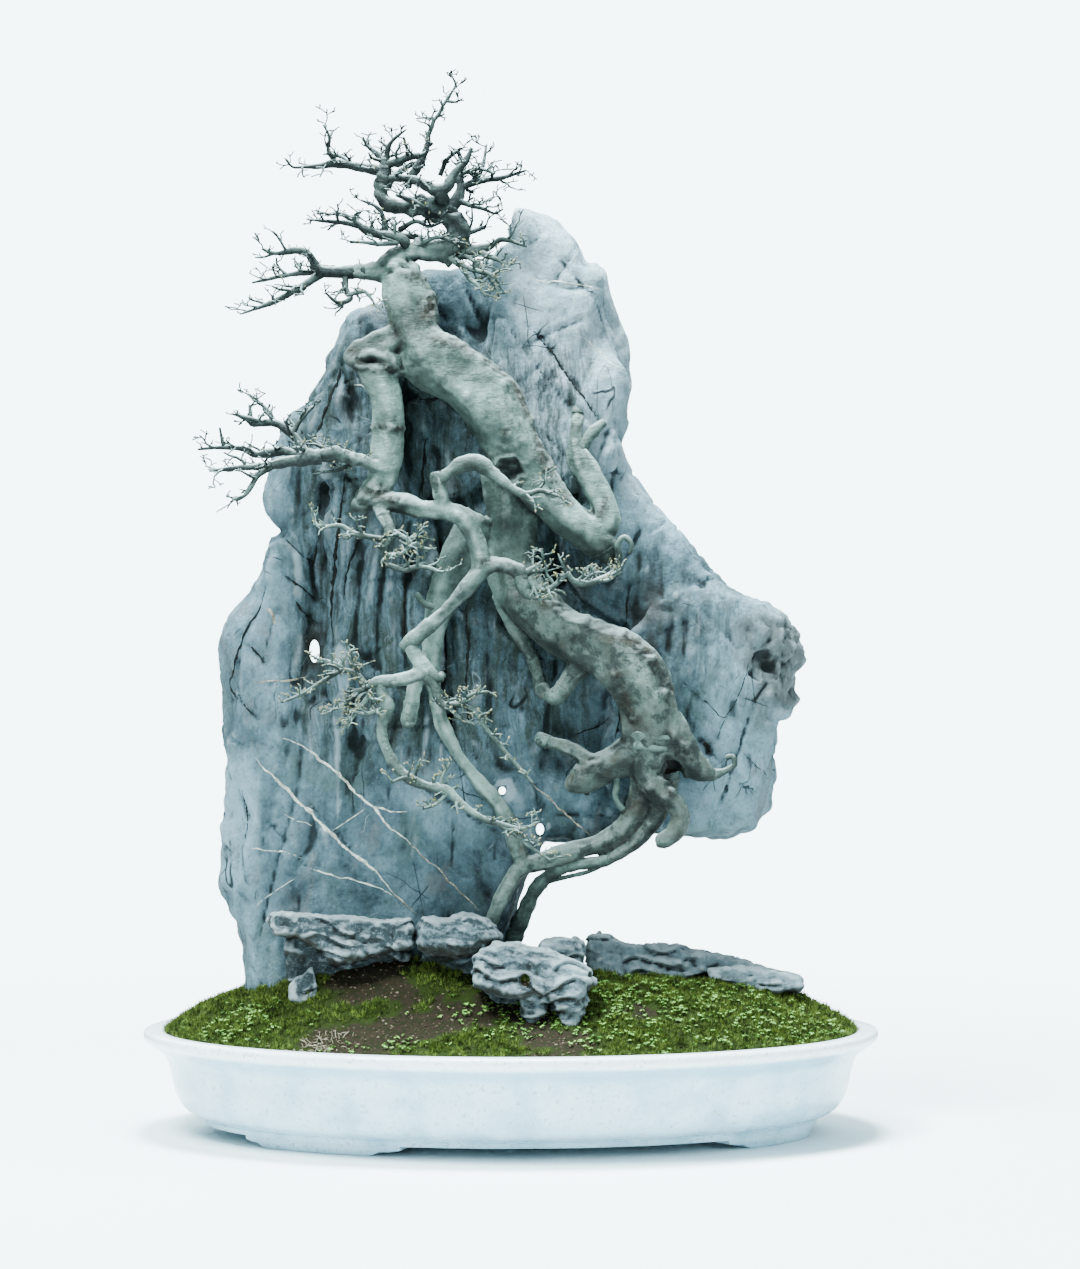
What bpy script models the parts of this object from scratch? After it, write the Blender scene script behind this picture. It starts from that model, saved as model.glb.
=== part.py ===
"""Root over rock bonsai: a bare old tree whose roots ride over a tall rock in a shallow oval pot.

Metres, +Z up, +X to the right seen from the front, -Y to the front.
The origin is the middle of the pot's underside, on the surface it stands on.
Outlines and limbs are drawn in millimetres, as they look from EYE: x to the right,
z up, measured in the upright plane through the pot's middle, with a depth beside them.
"""

import math
import random

import bmesh
import bpy
from mathutils import Matrix, Vector, noise
from mathutils.bvhtree import BVHTree
from mathutils.kdtree import KDTree

MM = 0.001

# Overall sizes
POT_LENGTH = 0.835
POT_DEPTH = 0.540
RIM_TO_MOUND = 0.063

# The point that the drawing is seen from, and how far the drawing's zero lies left of the middle
EYE = Vector((0.033, -3.540, 0.565))
DRAWING_LEFT = 11.0

# Thinning of a skin: how often it is tried again with this many more faces, how often its folds are
# smoothed, how near a kept point lies to be that point, and what it costs to move one, per metre
THIN_ATTEMPTS = 20
THIN_STEP = 15
FOLD_ROUNDS = 20
SAME_PLACE = 1e-6
KEPT_COST = 3e-4

# Clearance between pieces that touch
GAP = 0.0008
SEAT_GAP = 0.0003

# Pot: (inset from the lip's outer oval, height) in mm, from the underside's edge over the lip to the floor
POT_SIDES = 36
POT_OUTSIDE = (
    (70, 12), (68, 18), (58, 22), (45, 30), (35, 47), (29, 80),
    (22, 93), (3, 105), (0, 109), (0, 115), (3, 118),
)
POT_INSIDE = ((21, 118), (25, 114), (43, 90), (48, 60), (64, 36), (86, 28))
POT_FLOOR = 28
DRAIN_RADIUS = 14
DRAIN_SIDES = 16
DRAIN_PLACES = ((0, 0),)
SHARP_ANGLE = 35
FOOT_INSETS = (72, 94)
FOOT_TOP = 15

# Where the feet start and end, in degrees from the pot's long axis: 1 for the front left and back right
# feet, -1 for the other two
FOOT_ARCS = {1: (32, 70), -1: (8, 46)}
FOOT_STEPS = 5
FOOT_UNDERSIDE = ((0.0, 7.0), (0.06, 5.0), (0.11, 4.6), (0.16, 0.0))

# Soil, and the plugs of it in the drain holes
PLUG_RADIUS = 13.5
PLUG_MIDDLE = 27
PLUG_HEIGHT = 16
SOIL_RIM_INSET = 25.6
SOIL_RIM_HEIGHT = 115.5
SOIL_RINGS = (0.96, 0.86, 0.70, 0.48, 0.24)
SOIL_EDGE_POWER = 4.5
SOIL_FRONT_POWER = 1.6
SOIL_LUMPS = 3.0
SOIL_LUMP_LENGTH = 0.045
SOIL_LUMP_FADE = 4

# Hump of the soil that the front stones lie on: its middle, its half sizes and its height, in metres
SOIL_HUMP_PLACE = (-0.125, -0.088)
SOIL_HUMP_SIZE = (0.130, 0.075)
SOIL_HUMP_HEIGHT = 0.035

# Rock lobes: outline as drawn, depths of its front and back, roundness of its edges,
# and how much its front leans back per mm to the right and per mm upwards
ROCK_VOXEL = 0.0065
ROCK_SMOOTHING = 3
ROCK_FACES = 2400
ROCK_LOBES = {
    "slab": dict(
        outline=((-276, 30), (-290, 130), (-293, 212), (-299, 231), (-308, 250), (-315, 282),
                 (-313, 330), (-311, 378), (-311, 427), (-312, 471), (-313, 500), (-250, 512),
                 (-200, 495), (-150, 470), (-60, 460), (0, 430), (42, 390), (52, 345), (39, 306),
                 (24, 285), (18, 264), (7, 224), (0, 160), (-12, 30)),
        front=-62, back=88, edge=26, lean=(-0.06, 0.05)),
    "shoulder": dict(
        outline=((-311, 440), (-312, 471), (-315, 515), (-318, 560), (-311, 586), (-286, 615),
                 (-270, 641), (-270, 652), (-267, 673), (-246, 683), (-215, 680), (-196, 640),
                 (-193, 560), (-200, 480), (-250, 440)),
        front=-44, back=84, edge=24, lean=(0.10, 0.04)),
    "strip": dict(
        outline=((-246, 683), (-256, 689), (-267, 702), (-270, 725), (-264, 741), (-261, 770),
                 (-250, 798), (-235, 821), (-218, 832), (-202, 866), (-188, 862), (-178, 780),
                 (-182, 700), (-196, 640), (-232, 655)),
        front=-30, back=80, edge=22, lean=(0.12, 0.0)),
    "peak": dict(
        outline=((-222, 800), (-202, 866), (-186, 901), (-176, 925), (-160, 935), (-137, 929),
                 (-112, 900), (-104, 830), (-112, 740), (-160, 720), (-205, 740)),
        front=-46, back=84, edge=22, lean=(0.05, 0.12)),
    "grooved": dict(
        outline=((-196, 500), (-196, 640), (-188, 740), (-150, 770), (-104, 760), (-78, 700),
                 (-70, 600), (-62, 480), (-80, 410), (-150, 420), (-186, 450)),
        front=-54, back=96, edge=18, lean=(0.0, 0.02)),
    "heart": dict(
        outline=((-130, 820), (-60, 840), (0, 820), (60, 780), (90, 700), (90, 600), (60, 500),
                 (20, 420), (-60, 400), (-110, 470), (-130, 600)),
        front=-30, back=108, edge=24, lean=(0.0, 0.0)),
    "ridge": dict(
        outline=((-160, 905), (-120, 950), (-87, 978), (-73, 977), (-47, 983), (-17, 991),
                 (-3, 998), (50, 985), (80, 880), (60, 760), (-60, 720), (-150, 760)),
        front=-34, back=92, edge=22, lean=(0.0, 0.10)),
    "column": dict(
        outline=((-18, 930), (-3, 998), (5, 1002), (14, 1011), (14, 1025), (17, 1048), (35, 1046),
                 (63, 1034), (81, 1019), (91, 1001), (95, 988), (107, 988), (117, 977), (120, 955),
                 (124, 936), (134, 911), (143, 884), (145, 845), (141, 812), (134, 781),
                 (140, 762), (100, 716), (44, 728), (4, 780), (-14, 850)),
        front=-58, back=98, edge=24, lean=(0.10, 0.08)),
    "brow": dict(
        outline=((134, 781), (140, 762), (171, 715), (206, 674), (226, 650), (242, 635), (269, 613),
                 (299, 602), (310, 560), (250, 540), (170, 560), (90, 600), (60, 680), (80, 760)),
        front=-52, back=96, edge=22, lean=(0.08, 0.10)),
    "right": dict(
        outline=((299, 602), (327, 586), (335, 576), (343, 553), (338, 524), (329, 497), (327, 478),
                 (312, 471), (310, 453), (306, 420), (304, 387), (302, 367), (285, 346), (261, 335),
                 (213, 337), (170, 340), (120, 352), (110, 420), (130, 520), (160, 600), (240, 628)),
        front=-66, back=94, edge=26, lean=(0.12, -0.03)),
    "belly": dict(
        outline=((-52, 640), (20, 650), (44, 600), (50, 520), (56, 440), (40, 390), (0, 372),
                 (-40, 410), (-58, 500)),
        front=-56, back=60, edge=20, lean=(0.05, 0.02)),
    "panel": dict(
        outline=((36, 600), (150, 610), (150, 520), (146, 430), (150, 360), (113, 331), (70, 330),
                 (39, 330), (30, 420)),
        front=-48, back=88, edge=16, lean=(0.03, 0.0)),
}
ROCK_HOLES = (
    dict(place=(-213, 546), size=(11, 26)),
    dict(place=(1, 387), size=(8, 9)),
    dict(place=(44, 343), size=(9, 13)),
)
ROCK_HOLE_DEPTHS = (-140, 160)
ROCK_HOLE_SIDES = 8
NOSE_HOLLOW = dict(place=(306, 532), depth=-72, size=(24, 20, 24))

# A lobe's rounded edge: where its middle ring lies, the least width of its ends, and the spacing of
# its corners, as shares of the edge, of the width and of the edge
EDGE_BEVEL = 0.29
LEAST_WIDTH = 0.2
OUTLINE_STEP = 2.0

# The back of a lobe deeper than this leans forwards above its middle level and backwards below it,
# and is upright again down in the pot, all in mm
ROCK_DEEP = 100
BACK_LEAN = -0.09
BACK_LEVEL = 540
BACK_FULL = 340

# The rock is plain below this level, in mm, where the soil hides it
BURIED_LEVEL = 150

# Stones: each is built of lobes too
STONE_VOXEL = 0.0035
STONE_SMOOTHING = 2
STONES = {
    "stone_flat": dict(
        faces=220,
        lobes=(
            dict(outline=((-267, 240), (-262, 247), (-240, 247), (-200, 245), (-150, 240), (-122, 239),
                          (-102, 241), (-99, 226), (-101, 208), (-118, 206), (-150, 198), (-185, 191),
                          (-197, 197), (-212, 211), (-236, 222), (-258, 224)),
                 front=-132, back=-58, edge=9, lean=(0.05, 0.25)),
            dict(outline=((-246, 216), (-200, 226), (-120, 222), (-104, 200), (-120, 150), (-180, 140),
                          (-232, 150)),
                 front=-92, back=-52, edge=10, lean=(0.0, 0.0)),
        )),
    "stone_boulder": dict(
        faces=170,
        lobes=(
            dict(outline=((-97, 214), (-96, 235), (-89, 243), (-60, 242), (-46, 246), (-28, 246),
                          (-14, 240), (-4, 230), (1, 219), (-10, 212), (-30, 200), (-50, 197),
                          (-80, 201), (-94, 206)),
                 front=-136, back=-78, edge=16, lean=(0.0, 0.15)),
            dict(outline=((-90, 208), (-40, 214), (-10, 212), (-8, 170), (-30, 140), (-80, 142)),
                 front=-99, back=-73, edge=8, lean=(0.0, 0.0)),
        )),
    "stone_holed": dict(
        faces=330,
        lobes=(
            dict(outline=((-33, 178), (-31, 194), (-24, 205), (-8, 213), (14, 213), (40, 208),
                          (62, 202), (82, 192), (103, 181), (101, 177), (60, 182), (48, 182),
                          (92, 176), (105, 170), (98, 162), (60, 158), (20, 150), (-12, 158),
                          (-30, 166)),
                 front=-178, back=-112, edge=10, lean=(0.0, 0.30)),
            dict(outline=((24, 165), (26, 124), (32, 119), (42, 124), (52, 142), (60, 165)),
                 front=-176, back=-140, edge=7, lean=(0.0, 0.0)),
            dict(outline=((46, 168), (56, 146), (66, 126), (76, 112), (88, 112), (94, 132),
                          (97, 165), (80, 176)),
                 front=-182, back=-132, edge=8, lean=(0.0, 0.0)),
            dict(outline=((-20, 176), (0, 186), (40, 176), (44, 130), (0, 120)),
                 front=-138, back=-108, edge=8, lean=(0.0, 0.0)),
        )),
    "stone_slab": dict(
        faces=260,
        lobes=(
            dict(outline=((97, 200), (99, 218), (104, 225), (112, 226), (140, 214), (200, 210),
                          (230, 203), (262, 198), (290, 188), (316, 181), (300, 179), (246, 178),
                          (214, 174), (202, 150), (150, 140), (104, 150)),
                 front=-24, back=44, edge=12, lean=(0.0, 0.25)),
            dict(outline=((236, 184), (262, 186), (296, 184), (338, 175), (346, 164), (338, 158),
                          (300, 157), (262, 162), (244, 168)),
                 front=-44, back=26, edge=8, lean=(0.0, 0.2)),
            dict(outline=((214, 180), (300, 174), (290, 140), (220, 140)),
                 front=-14, back=24, edge=8, lean=(0.0, 0.0)),
        )),
    "stone_small": dict(
        faces=80,
        lobes=(
            dict(outline=((43, 206), (48, 215), (62, 220), (82, 220), (93, 214), (95, 200),
                          (80, 150), (50, 150)),
                 front=-96, back=-52, edge=8, lean=(0.0, 0.2)),
        )),
    "stone_chip": dict(
        faces=40,
        lobes=(
            dict(outline=((-238, 171), (-226, 178), (-217, 188), (-212, 176), (-208, 130), (-236, 130)),
                 front=-122, back=-106, edge=4, lean=(0.0, 0.3)),
        )),
}
STONE_HOLE = dict(place=(27, 171), depths=(-220, -60), size=(11, 14), sides=7)

# Limbs: (x, z, depth, radius) as drawn, from the thick end outwards
LIMBS = {
    "bole": (
        (-122, 990, -66, 13), (-113, 966, -70, 24), (-103, 938, -74, 29), (-98, 910, -78, 29),
        (-84, 884, -82, 33), (-56, 866, -86, 34), (-26, 842, -88, 34), (-4, 812, -88, 33),
        (12, 780, -86, 31), (32, 750, -84, 26), (50, 722, -84, 23), (72, 700, -84, 22),
        (98, 682, -82, 20), (118, 664, -80, 16), (128, 648, -76, 9), (133, 636, -74, 5)),
    "loop": (
        (98, 684, -82, 16), (118, 690, -80, 16), (117, 712, -78, 15), (105, 738, -76, 14),
        (92, 760, -73, 15), (86, 775, -71, 12), (85, 795, -70, 8.5), (86, 815, -66, 7.5),
        (87, 828, -60, 7)),
    "loop_fork": ((90, 778, -71, 9), (104, 796, -68, 7), (117, 807, -63, 5)),
    "arch": (
        (2, 760, -64, 26), (8, 725, -62, 28), (12, 690, -62, 29), (10, 655, -64, 29),
        (20, 622, -74, 29), (42, 592, -84, 28), (66, 570, -92, 27), (96, 556, -98, 29),
        (128, 540, -100, 33), (152, 515, -98, 35), (166, 485, -94, 33), (172, 455, -92, 33),
        (170, 432, -92, 28)),
    "right_leg": (
        (184, 462, -92, 22), (200, 440, -90, 20), (214, 424, -86, 18), (228, 412, -80, 14),
        (240, 406, -76, 8), (254, 409, -73, 4), (266, 417, -72, 3.2), (263, 426, -71, 3),
        (256, 424, -69, 3)),
    "middle_leg": (
        (168, 440, -92, 24), (166, 412, -96, 18), (176, 392, -100, 15), (192, 377, -102, 13),
        (204, 365, -102, 11), (203, 350, -100, 10), (196, 336, -98, 10), (184, 330, -96, 9.5),
        (177, 330, -95, 6)),
    "left_leg": (
        (158, 436, -88, 24), (132, 422, -84, 20), (108, 408, -80, 20), (92, 398, -76, 17),
        (82, 394, -72, 10)),
    "left_rootlet": (
        (104, 418, -80, 10), (88, 430, -74, 9), (70, 438, -68, 8), (54, 442, -64, 7.5),
        (46, 446, -61, 8), (41, 448, -58, 5)),
    "arch_stub": (
        (100, 535, -96, 14), (84, 522, -98, 12), (72, 506, -96, 10), (62, 494, -90, 9),
        (52, 494, -82, 6)),
    "buttress": (
        (-6, 612, -70, 7), (10, 582, -66, 8), (28, 552, -64, 8), (40, 526, -64, 8),
        (46, 504, -68, 8), (54, 496, -78, 7)),
    "left_foot": (
        (164, 402, -86, 16), (157, 374, -80, 15), (143, 347, -76, 13.5), (118, 329, -72, 12),
        (92, 320, -68, 11.5), (64, 312, -68, 11), (42, 306, -73, 10.5), (24, 300, -77, 9.5),
        (11, 284, -79, 8.5), (0, 261, -79, 8.5), (-9, 243, -77, 8.5), (-16, 226, -66, 9.5),
        (-20, 208, -52, 11), (-22, 184, -42, 12), (-24, 150, -36, 10), (-26, 110, -32, 6)),
    "right_foot": (
        (172, 388, -86, 9), (181, 366, -88, 9), (168, 344, -84, 8), (148, 325, -80, 7.5),
        (118, 307.5, -73, 7), (86, 302.5, -67, 6.5), (60, 294, -61, 7), (40, 276, -54, 8),
        (27, 250, -48, 9), (17, 227, -42, 10), (8, 195, -36, 11), (4, 150, -30, 9),
        (2, 110, -26, 6)),
    "foot_strand": (
        (122, 307, -74, 3), (100, 295, -68, 2.6), (72, 288, -63, 2.6), (45, 279, -57, 2.6),
        (30, 258, -50, 3)),
    "hook": ((128, 408, -84, 4), (132, 396, -92, 3.4), (130, 380, -92, 3.2), (138, 366, -84, 4)),
    "slender": (
        (-22, 700, -62, 20), (-42, 668, -62, 20), (-58, 632, -60, 19), (-70, 594, -58, 16),
        (-78, 556, -58, 13), (-80, 516, -60, 10), (-72, 478, -62, 8), (-58, 444, -62, 8),
        (-38, 412, -62, 8), (-18, 388, -64, 8.5), (2, 364, -68, 9), (14, 338, -72, 10),
        (22, 312, -75, 10)),
    "slender_spur": ((-70, 594, -66, 4), (-88, 600, -74, 3.4), (-97, 612, -76, 2.2)),
    "hanging_stub": (
        (-88, 540, -64, 8), (-97, 512, -68, 8), (-102, 488, -71, 9), (-106, 466, -72, 8.5),
        (-107, 458, -72, 5)),
    "pillar": (
        (-104, 906, -76, 20), (-124, 900, -78, 18), (-146, 884, -82, 21), (-142, 862, -84, 20),
        (-132, 836, -84, 18.5), (-128, 806, -84, 18), (-128, 776, -84, 17.5),
        (-134, 748, -86, 17.5), (-144, 728, -88, 16), (-160, 714, -90, 11), (-170, 708, -90, 5)),
    "pillar_knob": (
        (-172, 874, -84, 10), (-160, 884, -84, 17), (-140, 884, -84, 18), (-124, 872, -84, 14),
        (-118, 866, -84, 9)),
    "front_branch": (
        (-150, 722, -92, 12), (-132, 716, -96, 11), (-112, 715, -106, 12), (-90, 707, -116, 10.5),
        (-66, 705, -124, 11), (-46, 699, -128, 12), (-34, 682, -130, 11), (-26, 662, -130, 11),
        (-24, 640, -132, 11), (-38, 618, -136, 9.5), (-58, 597, -140, 8.5), (-80, 577, -144, 8.5),
        (-102, 558, -146, 8), (-114, 549, -146, 5)),
    "front_second": (
        (-106, 556, -146, 8), (-97, 540, -148, 8.5), (-86, 524, -150, 8.5), (-76, 516, -150, 7),
        (-66, 516, -148, 4)),
    "front_left": (
        (-86, 522, -150, 7), (-104, 516, -152, 7), (-124, 512, -152, 7), (-142, 510, -152, 6.5),
        (-154, 506, -152, 5), (-164, 518, -150, 4), (-178, 524, -147, 3), (-194, 519, -144, 2)),
    "front_right": (
        (-84, 518, -150, 7), (-76, 506, -152, 6), (-72, 492, -154, 5.5), (-64, 484, -155, 4.2),
        (-48, 485, -156, 3.4), (-32, 478, -157, 2.6), (-20, 462, -158, 1.8)),
    "cascade": (
        (-138, 512, -152, 6), (-136, 498, -154, 6), (-129, 484, -156, 7), (-135, 468, -158, 6.5),
        (-136, 450, -160, 6), (-129, 430, -162, 6), (-118, 412, -164, 6), (-104, 400, -166, 5.5),
        (-84, 392, -168, 5), (-62, 388, -170, 5), (-50, 376, -172, 4.5), (-36, 364, -172, 4),
        (-18, 354, -172, 3.5), (2, 348, -172, 2.6), (20, 344, -172, 2)),
    "cascade_tip": (
        (-8, 351, -172, 2.8), (14, 338, -172, 2.2), (34, 322, -172, 1.8), (56, 308, -172, 1.2)),
    "heart_stub": (
        (-66, 712, -124, 9), (-70, 728, -126, 8), (-74, 742, -128, 8.5), (-76, 750, -128, 5)),
    "heart_branch": (
        (-72, 738, -128, 6.5), (-60, 750, -128, 7), (-46, 758, -128, 9), (-28, 761, -130, 10),
        (-14, 752, -132, 8), (-2, 742, -134, 7), (12, 731, -136, 5), (28, 725, -138, 4),
        (44, 729, -138, 2.8), (58, 725, -138, 2), (70, 721, -138, 1.2)),
    "arm": (
        (-24, 640, -132, 10), (-6, 645, -132, 8), (10, 643, -132, 8.5), (22, 632, -132, 8),
        (26, 616, -132, 8), (34, 610, -132, 6), (48, 610, -132, 4.5), (58, 606, -132, 3)),
    "arm_up": ((22, 632, -132, 6), (36, 639, -131, 4), (47, 647, -130, 2.6)),
    "arm_mid": ((30, 628, -132, 5), (40, 618, -132, 5), (52, 612, -132, 4)),
    "arm_out": (
        (46, 611, -133, 4), (62, 622, -137, 3), (74, 634, -137, 3), (82, 626, -134, 3.5),
        (98, 623, -126, 3.5), (114, 628, -112, 4), (126, 633, -94, 4.5), (133, 640, -80, 5)),
    "curl": (
        (131, 638, -80, 5), (134, 655, -94, 4), (133, 668, -102, 3.5), (140, 676, -103, 3),
        (148, 668, -101, 3), (146, 657, -97, 2.4)),
    "low_pad": (
        (-138, 712, -96, 8), (-134, 700, -106, 8), (-128, 688, -114, 7), (-128, 676, -120, 6),
        (-134, 664, -126, 5), (-132, 652, -130, 4), (-128, 641, -132, 3.2)),
    "low_pad_left": (
        (-130, 672, -120, 4), (-150, 676, -124, 3.4), (-168, 680, -126, 3), (-184, 689, -126, 2.6),
        (-200, 688, -124, 2), (-214, 691, -122, 1.4)),
    "low_pad_mid": ((-132, 655, -128, 3.4), (-114, 656, -136, 3), (-100, 669, -140, 2)),
    "low_pad_right": (
        (-128, 644, -132, 3.4), (-110, 638, -136, 3), (-95, 642, -138, 2.6), (-80, 640, -140, 2.2),
        (-68, 635, -142, 1.4)),
    "low_pad_high": (
        (-128, 684, -116, 3.6), (-112, 676, -124, 3), (-96, 665, -128, 2.6), (-80, 662, -130, 1.6)),
    "left_pad": (
        (-128, 752, -92, 9), (-146, 757, -100, 7), (-164, 764, -106, 7.5), (-184, 770, -112, 8),
        (-206, 768, -116, 8), (-226, 764, -118, 7), (-244, 762, -120, 6.5), (-262, 758, -122, 5),
        (-280, 756, -124, 4), (-300, 755, -126, 3), (-318, 753, -128, 2.5), (-333, 752, -128, 1.6)),
    "left_pad_upper": (
        (-228, 767, -118, 5.5), (-246, 774, -114, 5), (-262, 772, -110, 5), (-280, 770, -106, 4),
        (-292, 776, -104, 3.5), (-308, 778, -102, 3), (-326, 778, -100, 2.4), (-346, 776, -98, 1.4)),
    "left_pad_twig": ((-316, 778, -101, 2.4), (-319, 790, -101, 1.8), (-321, 801, -101, 1.2)),
    "left_pad_top": (
        (-220, 768, -118, 5.5), (-232, 786, -112, 4.5), (-244, 798, -108, 4.5),
        (-258, 806, -106, 4.5), (-274, 806, -104, 4.5), (-285, 806, -102, 3.6),
        (-286, 816, -100, 2.5), (-287, 827, -99, 1.6)),
    "left_pad_tip": ((-272, 807, -104, 3), (-290, 812, -110, 2.2), (-308, 817, -114, 1.4)),
    "left_pad_back": ((-258, 806, -104, 3), (-268, 822, -96, 2.4), (-288, 839, -90, 1.4)),
    "left_pad_low": (
        (-258, 758, -122, 3.8), (-276, 748, -126, 3.2), (-284, 736, -130, 3), (-292, 724, -132, 2.4),
        (-303, 717, -134, 1.6)),
    "left_pad_inner": ((-238, 795, -110, 3.4), (-228, 811, -106, 2.6), (-214, 825, -100, 1.6)),
    "crown_left": (
        (-122, 972, -66, 12), (-140, 976, -66, 10), (-156, 978, -66, 9), (-175, 978, -68, 7),
        (-195, 978, -70, 6.2), (-208, 980, -72, 5.8), (-215, 991, -74, 5), (-222, 1000, -76, 4.6),
        (-236, 1003, -78, 4), (-250, 1000, -80, 3), (-262, 1000, -82, 2.4), (-273, 1005, -84, 1.5)),
    "crown_left_low": (
        (-206, 976, -72, 5), (-222, 965, -80, 4.4), (-238, 956, -86, 4), (-252, 948, -90, 3.6),
        (-265, 942, -92, 3), (-281, 936, -94, 2), (-298, 930, -96, 1.2)),
    "crown_left_back": (
        (-208, 978, -70, 4), (-228, 977, -52, 3.2), (-248, 974, -40, 2.6), (-284, 966, -30, 1.4)),
    "crown_hang": ((-178, 976, -68, 3.8), (-177, 958, -78, 3.2), (-172, 948, -84, 3), (-186, 943, -92, 2.4),
                   (-200, 954, -98, 1.4)),
    "crown_hang_right": ((-173, 952, -84, 2.8), (-156, 956, -90, 2.2), (-142, 938, -94, 1.4)),
    "leader": (
        (-118, 968, -70, 17), (-126, 986, -66, 16), (-113, 996, -66, 13), (-95, 1003, -66, 11.5),
        (-80, 1001, -66, 11), (-62, 1003, -66, 12), (-50, 1018, -66, 13), (-54, 1037, -66, 13),
        (-72, 1046, -66, 12), (-90, 1054, -66, 12), (-113, 1053, -68, 8.5), (-129, 1055, -70, 7.5),
        (-137, 1067, -70, 7.5), (-135, 1080, -70, 8), (-133, 1095, -70, 7.5), (-132, 1108, -70, 5)),
    "leader_left": (
        (-134, 1092, -70, 6), (-151, 1096, -72, 6), (-170, 1099, -74, 5), (-190, 1102, -76, 4.6),
        (-206, 1099, -78, 3.2), (-224, 1098, -80, 2.2), (-238, 1098, -82, 1.6), (-246, 1107, -84, 1)),
    "leader_left_up": (
        (-188, 1102, -76, 3), (-197, 1116, -78, 2.4), (-196, 1132, -80, 1.8), (-203, 1146, -82, 1)),
    "leader_left_back": ((-168, 1099, -72, 3.4), (-184, 1110, -56, 2.6), (-200, 1113, -42, 1.6)),
    "leader_up": (
        (-133, 1100, -70, 4.6), (-141, 1112, -66, 3.6), (-150, 1120, -62, 2.6),
        (-158, 1130, -58, 1.4)),
    "leader_tip": (
        (-131, 1104, -70, 4), (-129, 1120, -74, 2.8), (-122, 1130, -78, 2), (-108, 1141, -82, 1)),
    "leader_right": (
        (-132, 1100, -70, 5), (-118, 1104, -76, 5), (-106, 1109, -80, 4.2), (-93, 1111, -84, 3)),
    "spire": (
        (-107, 1076, -82, 4.6), (-101, 1089, -77, 4.8), (-93, 1101, -74, 4.4), (-88, 1112, -74, 4),
        (-84, 1124, -74, 3.2), (-83, 1135, -74, 2.8), (-79, 1144, -74, 2.6), (-77, 1151, -74, 2.3),
        (-71, 1158, -74, 2.1), (-67, 1167, -74, 1.9), (-61, 1176, -74, 1.8), (-56, 1184, -74, 1.6),
        (-52, 1191, -74, 1.5), (-54, 1197, -74, 1.3), (-57, 1203, -74, 0.9)),
    "spire_left": ((-76, 1153, -74, 1.8), (-88, 1154, -76, 1.3), (-97, 1153, -78, 0.9)),
    "spire_right": ((-63, 1173, -74, 1.7), (-52, 1172, -76, 1.3), (-44, 1176, -78, 0.9)),
    "second_arch": (
        (-134, 1084, -70, 4), (-116, 1085, -78, 4.4), (-100, 1083, -84, 5), (-86, 1077, -86, 6),
        (-74, 1071, -86, 7.5), (-62, 1075, -86, 7), (-57, 1085, -86, 6), (-50, 1095, -88, 4.4),
        (-40, 1104, -90, 3.2), (-34, 1120, -92, 2)),
    "second_post": ((-68, 1050, -70, 8), (-66, 1060, -76, 7.5), (-70, 1070, -84, 7.5)),
    "right_post": (
        (-60, 1046, -68, 7.5), (-50, 1062, -66, 7), (-46, 1076, -64, 5.6), (-50, 1090, -62, 4),
        (-46, 1104, -58, 2.6), (-50, 1118, -56, 1.6)),
    "right_pad": (
        (-47, 1074, -64, 5), (-32, 1080, -62, 4.2), (-18, 1083, -60, 3.4), (-2, 1085, -58, 2.8),
        (12, 1089, -56, 2), (28, 1094, -54, 1.2)),
    "right_pad_up": (
        (-30, 1081, -62, 3), (-22, 1096, -58, 2.4), (-19, 1110, -54, 1.8), (-17, 1124, -50, 1)),
    "right_pad_low": (
        (-50, 1060, -68, 3.6), (-36, 1054, -74, 2.8), (-20, 1050, -78, 2.2), (-8, 1045, -80, 1.6),
        (2, 1050, -82, 1)),
    "right_arm": (
        (-56, 1004, -66, 8.5), (-40, 1001, -64, 8), (-23, 1004, -64, 5.4), (-10, 1009, -64, 4),
        (-2, 1015, -64, 3.4), (10, 1014, -66, 2.4), (20, 1010, -68, 1.8), (29, 1007, -70, 1.1)),
    "right_tangle": (
        (-60, 996, -70, 5), (-46, 986, -82, 4), (-30, 980, -88, 3.2), (-14, 976, -92, 2.2),
        (-2, 966, -94, 1.2)),
    "right_tangle_low": (
        (-44, 986, -82, 3.2), (-38, 972, -90, 2.6), (-26, 962, -96, 2), (-18, 950, -98, 1.2)),
    "right_tangle_high": (
        (-26, 1003, -64, 3.6), (-14, 996, -74, 2.8), (0, 990, -80, 2), (8, 980, -84, 1.2)),
    "left_tier": (
        (-104, 1001, -68, 6.5), (-112, 1014, -76, 5.6), (-126, 1019, -80, 5.2), (-141, 1021, -84, 5),
        (-156, 1027, -86, 4.8), (-166, 1034, -88, 4), (-177, 1042, -90, 3), (-188, 1045, -92, 2.2),
        (-201, 1043, -94, 1.3)),
    "left_tier_low": (
        (-164, 1031, -88, 3.4), (-182, 1035, -94, 2.8), (-200, 1036, -98, 2.2),
        (-219, 1038, -102, 1.2)),
    "left_tier_in": (
        (-118, 1012, -78, 3.6), (-140, 1010, -88, 2.8), (-156, 1012, -94, 2),
        (-173, 1012, -98, 1.2)),
    "left_tier_up": (
        (-132, 1020, -80, 3.4), (-134, 1038, -74, 2.8), (-142, 1052, -70, 2.2),
        (-160, 1060, -66, 1.2)),
    "back_tier": (
        (-78, 1002, -60, 6), (-84, 1012, -44, 5), (-98, 1018, -30, 4), (-118, 1020, -18, 3),
        (-136, 1026, -8, 1.6)),
    "back_tier_right": (
        (-62, 1010, -58, 5.6), (-48, 1020, -42, 4.6), (-34, 1024, -28, 3.4), (-18, 1030, -14, 1.8)),
    "back_leader": (
        (-130, 1075, -66, 5), (-122, 1088, -50, 4), (-110, 1096, -36, 3), (-96, 1104, -24, 1.6)),
    "front_tier": (
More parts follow.
